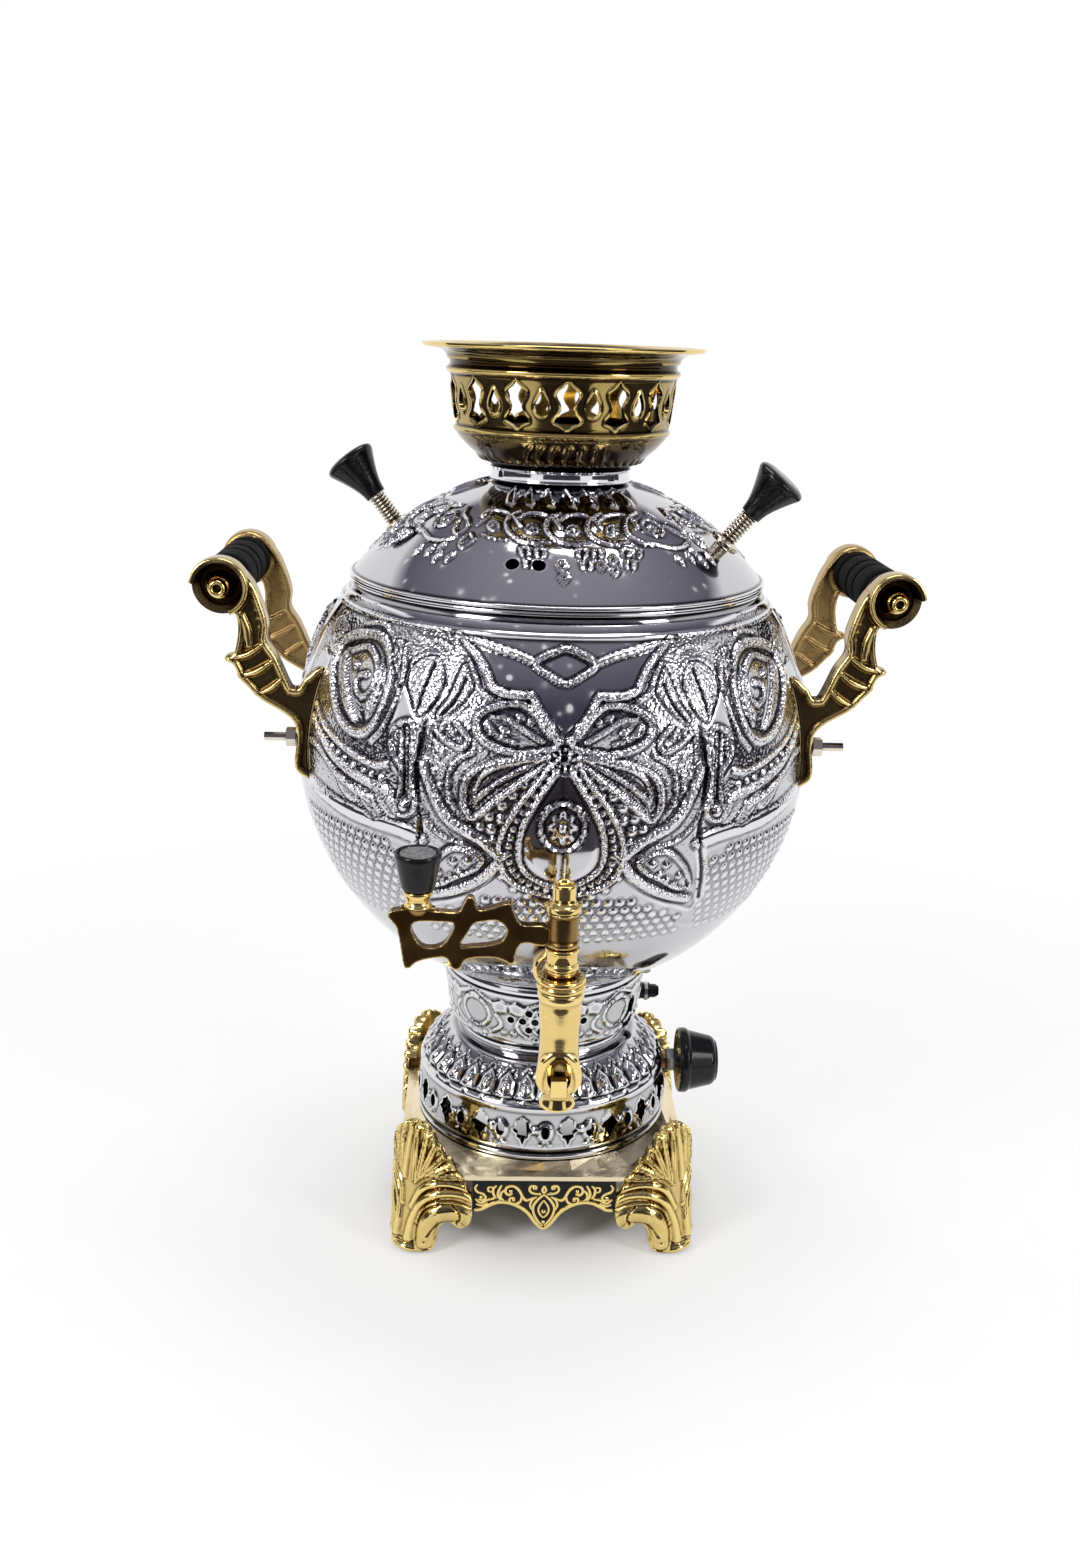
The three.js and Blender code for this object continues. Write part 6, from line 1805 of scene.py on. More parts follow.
@dataclass
class Base(Part):
    """The four feet, and the aprons with their scrolls between them."""

    half: float = 77.0
    thickness: float = 2.5
    half_width: float = 37.3
    panel_half: float = 37.7
    top: float = 42.7
    field_depth: float = 0.7

    def apron(self, name: str, quarter: int) -> None:
        """Builds one apron's panel and its gilded scrolls.

        Args:
            name: the side's name.
            quarter: quarter turns from the front.
        """
        half = [(0, 12.9), (1.6, 13.7), (4.8, 17.2), (7.6, 21.4), (11, 24.7), (16, 27.6),
                (21.7, 29), (26.5, 28.3), (31, 26.3), (34, 24.8), (37.2, 24.6)]
        edge = smooth_path([*mirrored(half[:0:-1]), *half], 1.0)
        edge[:, 0] = np.clip(edge[:, 0], -self.half_width, self.half_width)
        wide, face = self.panel_half, self.half - self.field_depth
        outline = [*edge, (wide, edge[-1][1]), (wide, self.top), (-wide, self.top),
                   (-wide, edge[0][1])]
        stand = on_axis() @ (Matrix.Rotation(quarter * math.pi / 2, 4, "Z") @ TO_FRONT)
        panel = prism(f"apron_{name}_panel", outline, self.half - self.thickness, face, 0.3)
        self.shop.place(move(panel, stand), Finish.BLACK_PAINT, f"apron_{name}")
        scrolls = self.scrolls(half, face)
        scrolls.name = f"apron_{name}_scrolls"
        self.shop.place(move(scrolls, stand), Finish.CAST_BRASS)

    def scrolls(self, half: Points, face: float) -> Piece:
        """Draws the scrollwork as flat swept lines.

        Args:
            half: the right half of the apron's lower edge.
            face: height of the panel's face.

        Returns:
            The object, seen from +Z.
        """
        border = [(x * 0.985, y + 0.9 - 0.35 * (x > 30)) for x, y in half]
        lines = [
            ([*mirrored(border[:0:-1]), *border], 1.15, False),
            ([(0, 34.5), (3.4, 31.2), (5.6, 27), (5, 22.5), (3, 18.6), (0.4, 15.6)], 0.9, True),
            ([(0, 31), (2.2, 27.6), (2.7, 24.4), (1.2, 21.6), (0, 20.4)], 0.7, True),
            ([(0, 39.8), (1, 37.2), (0, 35.2)], 0.9, True),
            ([(1.6, 34.6), (4.2, 35), (6.8, 35.8), (7.8, 38), (6.4, 39.9), (4.2, 39.3),
                (4.4, 37.4)], 0.85, True),
            ([(3.8, 33.2), (6.4, 31), (7.2, 28), (6.4, 25.4)], 0.8, True),
            ([(5.4, 32.6), (9.4, 31), (11.4, 33.4), (13.2, 37), (16.4, 39.6), (19.6, 38.8),
                (20.4, 36), (18.6, 34.2), (16.6, 35.2)], 0.95, True),
            ([(11.6, 33.8), (12.6, 30), (15.6, 28.8), (18.2, 30.2), (17.6, 32.4), (15.4, 32.2)],
                0.9, True),
            ([(19.8, 37.6), (22.4, 35.6), (22.8, 32.6), (20.8, 30.4)], 0.85, True),
            ([(22.4, 40), (24, 36.6), (24.2, 33.4), (22.6, 30.8)], 0.9, True),
            ([(25, 39.8), (26.8, 37.8), (26.6, 34.6), (25.2, 32)], 0.9, True),
            ([(26.4, 38.6), (29.2, 38.8), (29.4, 36.6), (27.6, 35.8)], 0.75, True),
            ([(35, 40.4), (36.4, 38.4), (35.2, 36), (32.4, 34.8), (30.6, 32.6), (32.4, 31),
                (34.6, 31.8)], 0.8, True),
            ([(26.2, 31.8), (29.8, 31.2), (33.2, 29.4), (36.2, 31.6)], 0.9, True),
            ([(29.6, 29.4), (32.6, 27.8), (35.8, 28.6)], 0.9, True),
        ]
        pieces = []
        for points, radius, both in lines:
            sizes = [radius] * len(points)
            if both:
                sizes[0] = sizes[-1] = radius * 0.65
            for side in ((1, -1) if both else (1,)):
                path = [(side * x, y, face) for x, y in points]
                pieces.append(swept("line", path, sizes, 0.75, (0, 0, 1), 8, 0.9))
        for x, y, r, sides in ((0, 24.2, 1.3, (1,)), (0, 17.6, 1.0, (1,)),
                               (5.2, 38.2, 1.0, (1, -1)), (17.6, 36.2, 1.0, (1, -1)),
                               (16.0, 31.0, 1.0, (1, -1)), (33.2, 32.4, 1.0, (1, -1))):
            pieces += [ball((side * x, y, face), (r, r, 0.8), 10) for side in sides]
        return merge(pieces)

    def build(self) -> None:
        """Builds and places feet and aprons."""
        foot = CornerFoot()
        for quarter, corner in enumerate(("front_right", "back_right", "back_left",
                                          "front_left")):
            piece = foot.build(quarter)
            piece.name = f"foot_{corner}_cast"
            self.shop.place(piece, Finish.CAST_BRASS, f"foot_{corner}")
        for quarter, name in enumerate(("front", "right", "back", "left")):
            self.apron(name, quarter)


@dataclass
class Tap(Part):
    """The tap: body with spout, gland, plug, openwork lever and knob."""

    axis_y: float = -143.1
    pipe_z: float = 180.99
    plug_bore: float = 5.75
    lever_end: float = -75.3
    lever_low: float = 203.1
    lever_length: float = 68.0
    lever_height: float = 34.5
    lever_thickness: float = 5.5
    knob_x: float = -62.5
    voxel: float = 0.42

    def upright(self, x: float = 0.0) -> Matrix:
        """Gives the plug's axis, or the knob's beside it."""
        return Matrix.Translation((x, self.axis_y, 0))

    def body(self) -> Piece:
        """Builds the body with its barrel, pipe, bulge, tongue and cup.

        Returns:
            The object.
        """
        y = self.axis_y
        trunk = [
            (0, 139.5), (4.6, 138.6), (5, 136.8), (7.1, 136.8), (8.2, 137.6), (7.9, 139.2),
            (7.2, 141), (6.7, 142.8), (7, 144.2), (8.4, 146.2), (9.7, 149), (10, 152.5),
            (9.6, 156), (9.1, 161), (8.8, 167), (8.8, 174), (9.2, 180), (9.5, 186), (9.5, 189.4),
            (10.2, 190.4), (10.4, 192), (10, 194.4), (7.2, 194.6), (7, 192.4), (0, 192.4)]
        shapes = [turned("tap_body_cast", trunk, 56, self.upright(), 0.8)]
        for side in (1, -1):
            cheek = [(1.0, -7.4, 166.5), (5.4, -6.4, 163), (7.4, -5.2, 157), (7.6, -4.6, 151),
                     (6.0, -4.8, 146.4)]
            shapes.append(swept("cheek", [(side * a, y + b, c) for a, b, c in cheek],
                                [1.4, 2.3, 2.6, 2.6, 1.6], sides=12))
        pipe = [(0, 0), (7.0, 0), (7.0, 14), (7.7, 14.6), (7.7, 18.6), (7.0, 19.4), (6.6, 36),
                (7.5, 44), (7.5, 47), (0, 47)]
        along = Matrix.Translation((0, y, self.pipe_z)) @ Matrix.Rotation(-math.pi / 2, 4, "X")
        shapes.append(turned("pipe", pipe, 48, along, 0.7))
        piece = cast(shapes, self.voxel, 3)
        carve(piece, [drill(self.plug_bore + 0.5, 176, 200, 40, self.upright())])
        outlet = [(0, 134), (4.2, 134), (4.0, 143), (0, 143)]
        carve(piece, [turned("cutter", outlet, 32, self.upright())])
        carve(piece, [ball((0, y - 11.4, 156.6), (6.9, 5.6, 9.4), 36)])
        tongue = [(-3.7, -4.6), (3.7, -4.6), (3.7, 4.4), (-3.7, 4.4)]
        lean = Matrix.Rotation(math.pi / 2 + 0.14, 4, "X")
        nose = move(prism("nose", tongue, 0, 10.2, 1.0),
                    Matrix.Translation((0, y, 151.4)) @ lean)
        carve(piece, [nose], "UNION")
        shade(piece, math.radians(45))
        return piece

    def boss(self) -> Piece:
        """Builds the boss on the vessel.

        Returns:
            The object.
        """
        ring = rounded([(7.9, -96.3), (9.4, -96.3), (10.6, -94.2), (11, -92), (11, -84),
                        (7.9, -84)], 0.7, True)
        return turned("tap_boss_turned", [(r, -z) for r, z in ring][::-1], 48,
                      Matrix.Translation((0, 0, self.pipe_z)) @ TO_FRONT)

    def lever_outline(self, shares: Points) -> np.ndarray:
        """Turns shares of the lever's drawing into an outline in its own plane."""
        return smooth_path([(self.lever_end + x * self.lever_length,
                             self.lever_low + y * self.lever_height) for x, y in shares], 1.3, True)

    def lever(self) -> Piece:
        """Builds the openwork lever with the ring that holds the plug.

        Returns:
            The object.
        """
        shares = [(0, 0.72), (0.02, 0.785), (0.115, 0.82), (0.2, 0.81), (0.32, 0.79), (0.44, 0.79),
            (0.475, 0.9), (0.5, 0.985), (0.53, 0.985), (0.55, 0.92), (0.565, 0.82), (0.64, 0.84),
            (0.73, 0.9), (0.775, 0.9), (0.79, 0.8), (0.82, 0.68), (0.86, 0.62), (1, 0.6),
            (1, 0.36), (0.87, 0.385), (0.825, 0.33), (0.805, 0.2), (0.8, 0.11), (0.775, 0.09),
            (0.745, 0.13), (0.69, 0.175), (0.62, 0.185), (0.535, 0.17), (0.485, 0.13), (0.46, 0.03),
            (0.43, 0), (0.4, 0.04), (0.385, 0.12), (0.355, 0.175), (0.29, 0.165), (0.22, 0.135),
            (0.17, 0.09), (0.135, 0.02), (0.105, 0.02), (0.095, 0.09), (0.08, 0.3), (0.057, 0.55),
            (0.025, 0.65)]
        holes = ([(0.155, 0.62), (0.21, 0.655), (0.3, 0.655), (0.41, 0.64), (0.415, 0.58),
            (0.39, 0.47), (0.353, 0.36), (0.287, 0.3), (0.218, 0.32), (0.175, 0.42), (0.15, 0.53)],
            [(0.54, 0.63), (0.6, 0.665), (0.68, 0.68), (0.735, 0.61), (0.75, 0.52), (0.715, 0.4),
            (0.63, 0.345), (0.53, 0.325), (0.465, 0.31), (0.462, 0.37), (0.5, 0.5)])
        half, y = self.lever_thickness / 2, self.axis_y
        plate = prism("tap_lever_cast", self.lever_outline(shares), -y - half, -y + half, 0.9,
                      [self.lever_outline(hole) for hole in holes])
        plate.data.transform(TO_FRONT)
        hub = [(0, 214.8), (6.9, 214.8), (7.2, 215.4), (7.2, 217), (6.7, 217.8), (6.7, 229.2),
               (7.2, 230.2), (7.2, 230.6), (0, 230.6)]
        saddle = swept("saddle", [(-70, y, 230.6), (-62.5, y, 230.9), (-55, y, 230.4)],
                       [1.6, 3.6, 1.6], sides=12)
        piece = cast([plate, turned("hub", hub, 40, self.upright(), 0.5), saddle], self.voxel, 2)
        carve(piece, [drill(self.plug_bore + 0.35, 195, 240, 32, self.upright())])
        return piece

    def build(self) -> None:
        """Builds and places the tap."""
        self.shop.place(self.body(), Finish.TAP_BRASS, "tap_body")
        self.shop.place(self.boss(), Finish.POLISHED_BRASS, "tap_boss")
        gland = [(6.1, 195.0), (10.8, 195.0), (10.8, 196.9), (9.9, 197.7), (10.8, 198.6),
                 (10.5, 200.3), (7.9, 200.9), (7.3, 199.6), (6.1, 199.2)]
        self.shop.place(turned("tap_gland_turned", gland, 56, self.upright(), 0.5),
                        Finish.POLISHED_BRASS, "tap_gland")
        plug = [
            (0, 176.5), (5.3, 176.5), (5.6, 200.9), (6.5, 201.4), (6.5, 203.9), (7.3, 204.5),
            (7.3, 206.6), (6.6, 207.2), (6.6, 211.6), (7.5, 212.3), (7.5, 213.9), (6.2, 214.4),
            (5.7, 214.6), (5.7, 230.9), (6.6, 231), (7.6, 231.3), (7.6, 233.6), (6.2, 234.4),
            (5.3, 235.2), (5, 237), (5.2, 242), (5, 243.2), (4.2, 243.4), (3.5, 242),
            (0, 241.8)]
        self.shop.place(turned("tap_plug_turned", plug, 48, self.upright(), 0.35),
                        Finish.POLISHED_BRASS, "tap_plug", body=Body.TAP_KEY)
        self.shop.place(self.lever(), Finish.LEVER_BRASS, "tap_lever", body=Body.TAP_KEY)
        ferrule = [(0, 231.8), (5.6, 231.8), (6.2, 232.4), (5.6, 233.2), (4.9, 234.2),
                   (5.0, 235.4), (5.8, 236.8), (6.45, 238.0), (6.45, 239.3), (0, 239.3)]
        knob = [(0, 239.7), (6.4, 239.7), (7.2, 240.4), (7.9, 243.5), (8.8, 248.0),
                (9.6, 252.2), (10.1, 254.6), (10.15, 255.8), (9.7, 256.6), (8.9, 256.6),
                (8.5, 256.1), (8.2, 255.2), (0, 254.9)]
        cap = [(0, 255.15), (7.7, 255.3), (7.9, 256.0), (7.3, 256.35), (5.4, 255.9),
               (2.6, 255.6), (0, 255.5)]
        for name, profile, segments, rounding, finish, *nodes in (
                ("tap_ferrule_turned", ferrule, 40, 0.4, Finish.POLISHED_BRASS, "tap_ferrule"),
                ("tap_knob_moulded", knob, 64, 0.5, Finish.BLACK_BAKELITE, "tap_knob"),
                ("tap_knob_cap", cap, 56, 0.4, Finish.DISHED_CAP)):
            piece = turned(name, profile, segments, self.upright(self.knob_x), rounding)
            self.shop.place(piece, finish, *nodes, body=Body.TAP_KEY)


@dataclass
class Handles(Part):
    """The two side handles: cast arms, black grips and bright nuts."""

    axis_x: float = 162.0
    axis_z: float = 347.0
    inner: float = 39.0
    arm_depth: float = 12.0
    cup_depth: float = 15.0
    grip_radius: float = 12.0
    arm_x: float = 112.0
    arm_z: float = 256.99
    arm_width: float = 64.2
    arm_height: float = 102.0
    voxel: float = 0.5
    seat_radius: float = 132.35
    seat_z: float = 262.99
    stud_z: float = 272.95

    def arm(self, across: Matrix) -> Piece:
        """Builds the right front arm, relative to the vessel's axis.

        Args:
            across: the grip's axis, which points to the front.

        Returns:
            The object.
        """
        shares = [
            (0, 0), (0.245, 0), (0.245, 0.23), (0.5, 0.35), (0.61, 0.42), (0.655, 0.45),
            (0.69, 0.51), (0.766, 0.545), (0.695, 0.56), (0.655, 0.65), (0.655, 0.73), (0.7, 0.78),
            (0.9, 0.84), (0.72, 1), (0.56, 0.92), (0.485, 0.82), (0.44, 0.715), (0.45, 0.63),
            (0.375, 0.55), (0.27, 0.4), (0.21, 0.41), (0.15, 0.46), (0, 0.48)]
        folds = (((141.6, 320), (150, 314.6), (160.2, 312.2), 2.3), ((137.4, 312), (145.6, 306.4),
            (155, 303.6), 2.4), ((133, 303.5), (139.6, 298), (147, 294.6), 2))
        inner, y, low = self.inner, -(self.inner + self.arm_depth / 2), -(self.inner + 0.3)
        outline = smooth_path([(self.arm_x + x * self.arm_width, self.arm_z + z * self.arm_height)
                               for x, z in shares], 1.3, True)
        plate = prism("arm", outline, 1.3 - low, self.arm_depth - 2.1 - low)
        plate.data.transform(TO_FRONT)
        shapes = [plate]
        step = np.roll(outline, -1, 0) - np.roll(outline, 1, 0)
        step /= np.linalg.norm(step, axis=1)[:, None]
        inset = (outline + np.stack([-step[:, 1], step[:, 0]], 1) * 1.3)[::2]
        for depth in (low - 1.5, low - self.arm_depth + 2.3):
            shapes.append(swept("rim", [(x, depth, z) for x, z in inset], [1.55] * len(inset),
                                sides=8, spacing=1.6))
        for *line, size in folds:
            shapes.append(swept("fold", [(x, y, z) for x, z in line],
                                [size * 0.8, size, size * 0.7], 6.6 / size, sides=14))
        for k in range(4):
            shapes += [ball((142.6 + 0.7 * k, y + side * 2.7, 324 + 4.0 * k), (1.9,) * 3, 12)
                       for side in (-1, 1)]
        vein = [(149, 318), (149.6, 326), (152, 334)]
        shapes.append(swept("vein", [(x, y - 4.7, z) for x, z in vein], [1.2, 1.9, 1.2], 0.7))
        cup = [(0, inner), (9, inner), (13.4, inner + 1.2), (14.1, inner + 4.5),
               (14.2, inner + 11), (13.9, inner + 14.2), (13.2, inner + 15.0),
               (12.2, inner + 14.4), (0, inner + 14.4)]
        shapes.append(turned("cup", cup, 48, across, 1.0))
        piece = cast(shapes, self.voxel, 3)
        pocket = [(0, inner + 3.6), (9.6, inner + 3.6), (11.2, inner + 6.5), (11.7, inner + 20),
                  (0, inner + 20)]
        seat = self.seat_radius
        sphere = [(0, -seat), *((seat * math.cos(t), seat * math.sin(t))
                                for t in np.linspace(-1.5, 1.5, 90)), (0, seat)]
        mouth = [(160, 345.5), (156, 330), (182, 330), (182, 352), (174.6, 348.6)]
        open_side = prism("cutter", mouth, inner + 4.6, inner + 20)
        open_side.data.transform(TO_FRONT)
        for cutter in (turned("cutter", pocket, 48, across), drill(2.9, 20, 60, 24, across),
                       turned("cutter", sphere, 180, Matrix.Translation((0, 0, self.seat_z))),
                       drill(2.7, 110, 150, 24,
                             Matrix.Translation((0, y, self.stud_z)) @ TO_RIGHT), open_side):
            carve(piece, [cutter])
        corners = np.empty(len(piece.data.vertices) * 3)
        piece.data.vertices.foreach_get("co", corners)
        corners[1::3] = np.clip(corners[1::3], (low - self.cup_depth + 0.35) * MM,
                                (low + 0.02) * MM)
        piece.data.vertices.foreach_set("co", corners)
        piece.data.update()
        shade(piece, math.radians(60))
        return piece

    def grip(self, across: Matrix) -> Piece:
        """Builds the right grip with its ridges.

        Args:
            across: its axis.

        Returns:
            The object.
        """
        radius, half = self.grip_radius, self.inner - 0.3
        shares = [(4, 0), (8, -0.6), (8.6, -1.7), (10.4, -1.9), (11, -0.6), (15, 0.0), (24, 0.0)]
        whole = [(radius - 0.9, -half), (radius - 0.1, -half + 1.0),
                 *((radius + d, -half + 1 + a) for a, d in shares), (radius, -8.5),
                 (radius - 1.5, -7.9), (radius - 1.5, -6.3), (radius - 0.05, -5.7)]
        whole += [(r, -z) for r, z in reversed(whole)]
        return turned("grip", [(2.9, -half), *whole, (2.9, half)], 64, across, 0.5)

    def copy(self, piece: Piece, name: str, right: bool, front: bool) -> Piece:
        """Copies a piece made for the right front to another corner.

        Args:
            piece: the right front piece.
            name: the copy's name.
            right: True for +X.
            front: True for -Y.

        Returns:
            The copy.
        """
        made = link_piece(name, piece.data.copy())
        move(made, on_axis() @ Matrix.Diagonal((1 if right else -1, 1 if front else -1, 1, 1)))
        if right != front:
            made.data.flip_normals()
        return made

    def build(self) -> None:
        """Builds and places both handles."""
        across = Matrix.Translation((self.axis_x, 0, self.axis_z)) @ TO_FRONT
        arm, grip, base = self.arm(across), self.grip(across), self.inner + 3.7
        nut = [(2.9, 0), (7.3, 0), (7.5, 2.4), (6.9, 3.4), (5.2, 9.4), (4.2, 10.4), (3.9, 13.6),
               (3.3, 14.2), (2.4, 14.2), (1.8, 13.4), (1.4, 12), (1.4, 10), (2.9, 10)]
        cone = turned("nut", [(r, base + z) for r, z in nut], 40, across, 0.4)
        for side in ("right", "left"):
            right = side == "right"
            self.shop.place(self.copy(grip, f"handle_grip_{side}_moulded", right, True),
                            Finish.GRIP_BAKELITE, f"handle_grip_{side}")
            for end, finish in (("front", Finish.ARM_BRASS), ("back", Finish.BRUSHED_BRASS)):
                where, front = f"{side}_{end}", end == "front"
                self.shop.place(self.copy(arm, f"handle_arm_{where}_cast", right, front),
                                finish, f"handle_arm_{where}")
                self.shop.place(self.copy(cone, f"grip_nut_{where}_turned", right, front),
                                Finish.POLISHED_BRASS, f"grip_nut_{where}")
        for piece in (arm, cone, grip):
            bpy.data.objects.remove(piece)


@dataclass
class GasAndIgniter(Part):
    """The gas knob and its nut, the igniter's boot."""

    axis_z: float = 75.0
    nut_radius: float = 7.0
    nut_bore: float = 3.3
    boot_x: float = 73.2
    boot_y: float = 29.55

    def build(self) -> None:
        """Builds and places the small parts on the right."""
        place = on_axis(self.axis_z) @ TO_RIGHT
        knob = [(0, 79.2), (4.9, 79.2), (5.0, 77.2), (15.6, 77.2), (17.3, 77.0), (18.2, 77.9),
                (18.35, 79.6), (18.3, 81.4), (17.6, 82.4), (16.9, 83.2), (14.0, 95.4),
                (13.0, 97.0), (12.0, 97.4), (11.4, 98.6), (10.2, 99.0), (0, 99.0)]
        self.shop.place(turned("gas_knob_moulded", knob, 72, place, 0.7),
                        Finish.BLACK_BAKELITE, "gas_knob", body=Body.GAS)
        collar = prism("gas_collar_nut_milled", oval(self.nut_radius, self.nut_radius, 6),
                       70.3, 75.7, 0.5, [oval(self.nut_bore, self.nut_bore, 24)])
        self.shop.place(move(collar, place), Finish.PLAIN_STEEL, "gas_collar_nut")
        boot = [(0, 139.6), (5.3, 139.6), (5.45, 140.4), (5.4, 143.4), (4.9, 144.1),
                (5.45, 144.9), (5.4, 149.4), (4.6, 150.6), (3.0, 152.4), (2.6, 155.0), (0, 155.0)]
        stand = Matrix.Translation((self.boot_x, self.boot_y, 0))
        self.shop.place(turned("igniter_boot_moulded", boot, 32, stand, 0.6),
                        Finish.BLACK_RUBBER, "igniter_boot")


@dataclass
class Fittings(Part):
    """The nodes whose CAD shape is right, by finish."""

    table: tuple[tuple[Finish, str], ...] = (
        (Finish.SATIN_BRASS_PLATE, "base_plate"),
        (Finish.PLAIN_STEEL, "grip_rod_right grip_rod_left burner_bar neck_screw gas_spindle"),
        (Finish.WARM_NICKEL, "handle_stud_right_front handle_stud_right_back "
                             "handle_stud_left_front handle_stud_left_back igniter_band"),
        (Finish.BRUSHED_BRASS, "gas_valve gas_inlet gas_pipe"),
        (Finish.PLAIN_CHROME, "flue_tube"),
        (Finish.ROUGH_IRON, "burner_head gas_venturi"),
        (Finish.BLACK_BAKELITE, "igniter_body igniter_button"),
    )

    def build(self) -> None:
        """Dresses them."""
        for finish, names in self.table:
            self.shop.dress(finish, *names.split())


PARTS = (Vessel, Lid, Crown, Foot, Base, Tap, Handles, GasAndIgniter, Fittings)


# Studio


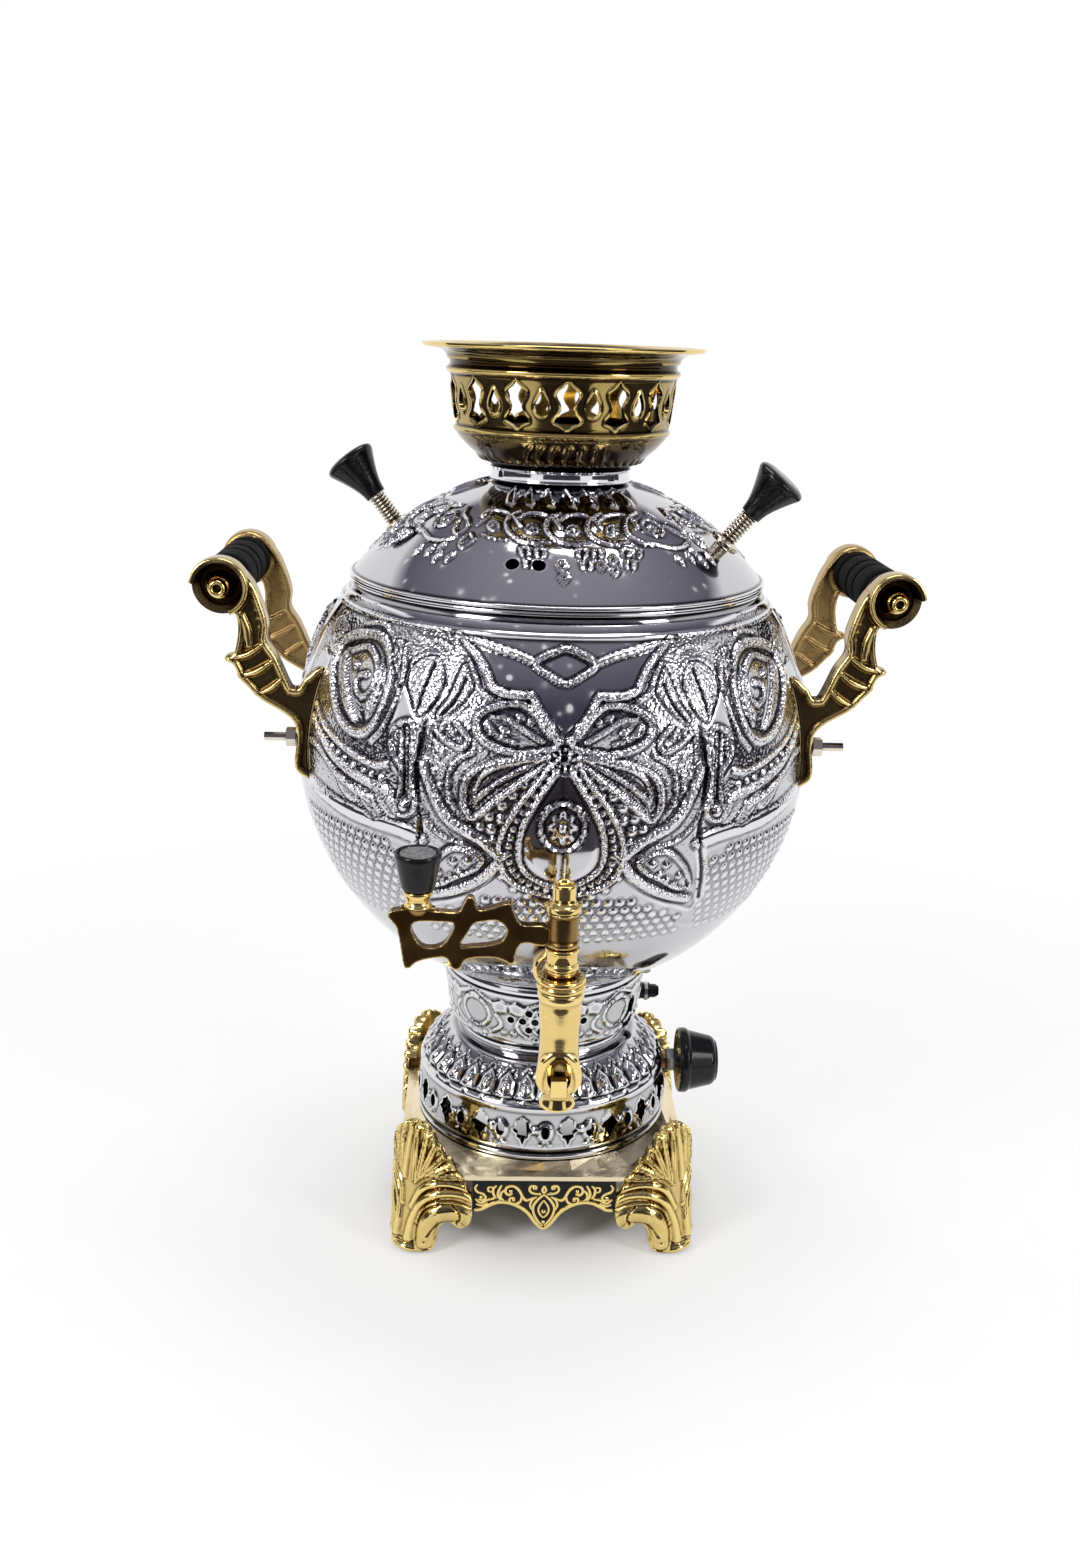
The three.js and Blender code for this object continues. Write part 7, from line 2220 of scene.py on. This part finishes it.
@dataclass
class Studio:
    """The pale floor, the soft lamps, the white surroundings and the camera.

    Its places and sizes are metres, but for the camera's distance and height.
    """

    distance: float = 764.2
    height: float = 469.3
    pitch: float = math.radians(18.59)
    roll: float = math.radians(1.81)
    azimuth: float = math.radians(-2.61)
    focal_pixels: float = 1500.0
    centre: tuple[float, float] = (549.0, 828.6)
    sensor: float = 36.0
    plain_light: float = 0.5
    front_lower: float = 0.34
    ceiling_edge: Range = (0.5, 0.6)
    ceiling: Color = (0.07, 0.065, 0.10)
    zenith: Color = (0.36, 0.345, 0.40)
    floor_radius: float = 6.0
    floor_sides: int = 96
    floor_fade: Range = (0.25, 0.7)
    floor_white: float = 0.55
    under_base: Range = (0.045, 0.1)
    lamps_aim: Color = (0, 0, 0.25)

    def camera(self) -> None:
        """Sets the camera that matches the photograph."""
        data = bpy.data.cameras.new("camera")
        data.sensor_fit = "VERTICAL"
        data.sensor_height = data.sensor_width = self.sensor
        data.lens = self.sensor * self.focal_pixels / IMAGE_HEIGHT
        data.shift_x = -(self.centre[0] - IMAGE_WIDTH / 2) / IMAGE_HEIGHT
        data.shift_y = (self.centre[1] - IMAGE_HEIGHT / 2) / IMAGE_HEIGHT
        data.clip_start, data.clip_end = 0.05, 50.0
        camera = bpy.data.objects.new("camera", data)
        look = (Matrix.Rotation(math.pi / 2 - self.pitch, 4, "X")
                @ Matrix.Rotation(self.roll, 4, "Z"))
        place = (Matrix.Translation((0, AXIS_Y * MM, 0)) @ Matrix.Rotation(self.azimuth, 4, "Z")
                 @ Matrix.Translation((0, -self.distance * MM, self.height * MM)) @ look)
        camera.matrix_world = place
        bpy.context.scene.collection.objects.link(camera)
        bpy.context.scene.camera = camera

    def lamp(self, name: str, spot: Color, size: Range, power: float) -> None:
        """Adds a soft rectangular lamp.

        Args:
            name: its name.
            spot: where it stands.
            size: its width and height.
            power: watts.
        """
        data = bpy.data.lights.new(name, "AREA")
        data.shape = "RECTANGLE"
        data.size, data.size_y = size
        data.energy = power
        lamp = bpy.data.objects.new(name, data)
        lamp.location = spot
        aim = Vector(self.lamps_aim) - Vector(spot)
        lamp.rotation_euler = aim.to_track_quat("-Z", "Y").to_euler()
        bpy.context.scene.collection.objects.link(lamp)

    def show(self, sheet: NodeSheet, plain: Socket, shown: Socket,
             share: Socket | None = None) -> None:
        """Shows a look of its own to the camera and in metal and glass.

        Args:
            sheet: the floor's or the world's nodes.
            plain: the shader for all other rays.
            shown: the shader for these rays.
            share: how much of it they get.
        """
        path = sheet.add("LightPath").outputs
        seen = sheet.maths("MAXIMUM", path["Is Camera Ray"], path["Is Glossy Ray"])
        seen = sheet.maths("MAXIMUM", seen, path["Is Transmission Ray"])
        if share:
            seen = sheet.maths("MULTIPLY", share, seen)
        mix = sheet.add("MixShader", {0: seen, 1: plain, 2: shown})
        sheet.fill(sheet.output, {0: mix.outputs[0]})

    def floor(self) -> None:
        """Adds the pale floor, which keeps the object's shadow and runs into the white behind."""
        count, size = self.floor_sides, self.floor_radius / MM
        verts = [(x, y, -0.2) for x, y in oval(size, size, count)]
        piece = new_piece("floor", verts, [list(range(count))])
        sheet = NodeSheet("pale_floor")
        speck = sheet.ramp(sheet.noise(40, 3), 0.3, 0.7)
        sheet.fill(sheet.shader, {
            "Roughness": 0.6, "Specular IOR Level": 0.1,
            "Base Color": sheet.blend(speck, (0.92, 0.92, 0.92), (0.94, 0.94, 0.94))})
        white = sheet.add("Emission", {"Color": (1, 1, 1, 1), "Strength": 1.0})
        away = sheet.add("VectorMath", {0: sheet.place}, operation="LENGTH").outputs["Value"]
        share = sheet.maths("MULTIPLY", sheet.ramp(away, *self.floor_fade, self.floor_white, 1.0),
                            sheet.ramp(away, *self.under_base))
        self.show(sheet, sheet.shader.outputs[0], white.outputs[0], share)
        piece.data.materials.append(sheet.owner)

    def world(self) -> None:
        """Lights the room plainly; it looks white, under a dim ceiling with small lights."""
        sheet = NodeSheet("room", world=True)
        plain = sheet.add("Background", {"Color": (1, 1, 1, 1), "Strength": self.plain_light})
        ray = sheet.add("SeparateXYZ", {0: sheet.place}).outputs
        front = sheet.ramp(ray["Y"], -1.0, -0.2, self.front_lower, 0.0)
        above = sheet.ramp(sheet.maths("ADD", ray["Z"], front), *self.ceiling_edge)
        lights = sheet.ramp(sheet.cells(9.0), 0.10, 0.16, 1, 0)
        spots = sheet.blend(lights, (0, 0, 0), (1.0, 0.98, 0.95))
        ceiling = sheet.blend(sheet.ramp(ray["Z"], 0.45, 0.98), self.ceiling, self.zenith)
        ceiling = sheet.blend(1.0, ceiling, spots, "ADD")
        room = sheet.blend(above, (1, 1, 1), ceiling)
        shown = sheet.add("Background", {"Color": room, "Strength": 1.0})
        self.show(sheet, plain.outputs[0], shown.outputs[0])
        bpy.context.scene.world = sheet.owner

    def backdrop(self, name: str, corners: Sequence[Color]) -> None:
        """Lays out a dark cloth on the camera's side, which polished metal reflects.

        Args:
            name: its name.
            corners: its corners.
        """
        piece = new_piece(name, 1000 * np.array(corners), [(0, 1, 2, 3)])
        sheet = NodeSheet(f"{name}_weave")
        weave = sheet.ramp(sheet.noise(12, 3), 0.3, 0.7)
        sheet.fill(sheet.shader, {
            "Roughness": 0.95,
            "Base Color": sheet.blend(weave, (0.03, 0.027, 0.035), (0.06, 0.05, 0.065))})
        piece.data.materials.append(sheet.owner)

    def build(self) -> None:
        """Sets up the studio."""
        bpy.context.scene.view_settings.view_transform = "Standard"
        self.camera()
        self.floor()
        self.world()
        self.backdrop("standing_backdrop", [(-0.95, -1.6, 0), (0.95, -1.6, 0), (0.95, -1.6, 0.5),
                                            (-0.95, -1.6, 0.5)])
        self.backdrop("lying_backdrop", [(-0.7, -1.6, 0.001), (0.7, -1.6, 0.001),
                                         (0.7, -0.45, 0.001), (-0.7, -0.45, 0.001)])
        for name, x in (("left_backdrop", -1.25), ("right_backdrop", 1.25)):
            self.backdrop(name, [(x, -1.0, 0), (x, 0.45, 0), (x, 0.45, 0.42), (x, -1.0, 0.42)])
        self.lamp("key", (-1.2, -1.0, 1.1), (0.5, 0.9), 14)
        self.lamp("fill", (1.3, -0.9, 0.9), (0.4, 0.9), 9)
        self.lamp("top", (0.1, 0.3, 1.7), (0.9, 0.5), 10)


def main() -> None:
    """Loads the frame, builds every sub-assembly and reports each piece."""
    logging.basicConfig(level=logging.INFO, format="%(name)s: %(message)s")
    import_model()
    shop = Workshop()
    Studio().build()
    for part in PARTS:
        part(shop).build()
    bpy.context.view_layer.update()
    LOG.info("%d made pieces", shop.count)


if __name__ == "__main__":
    main()
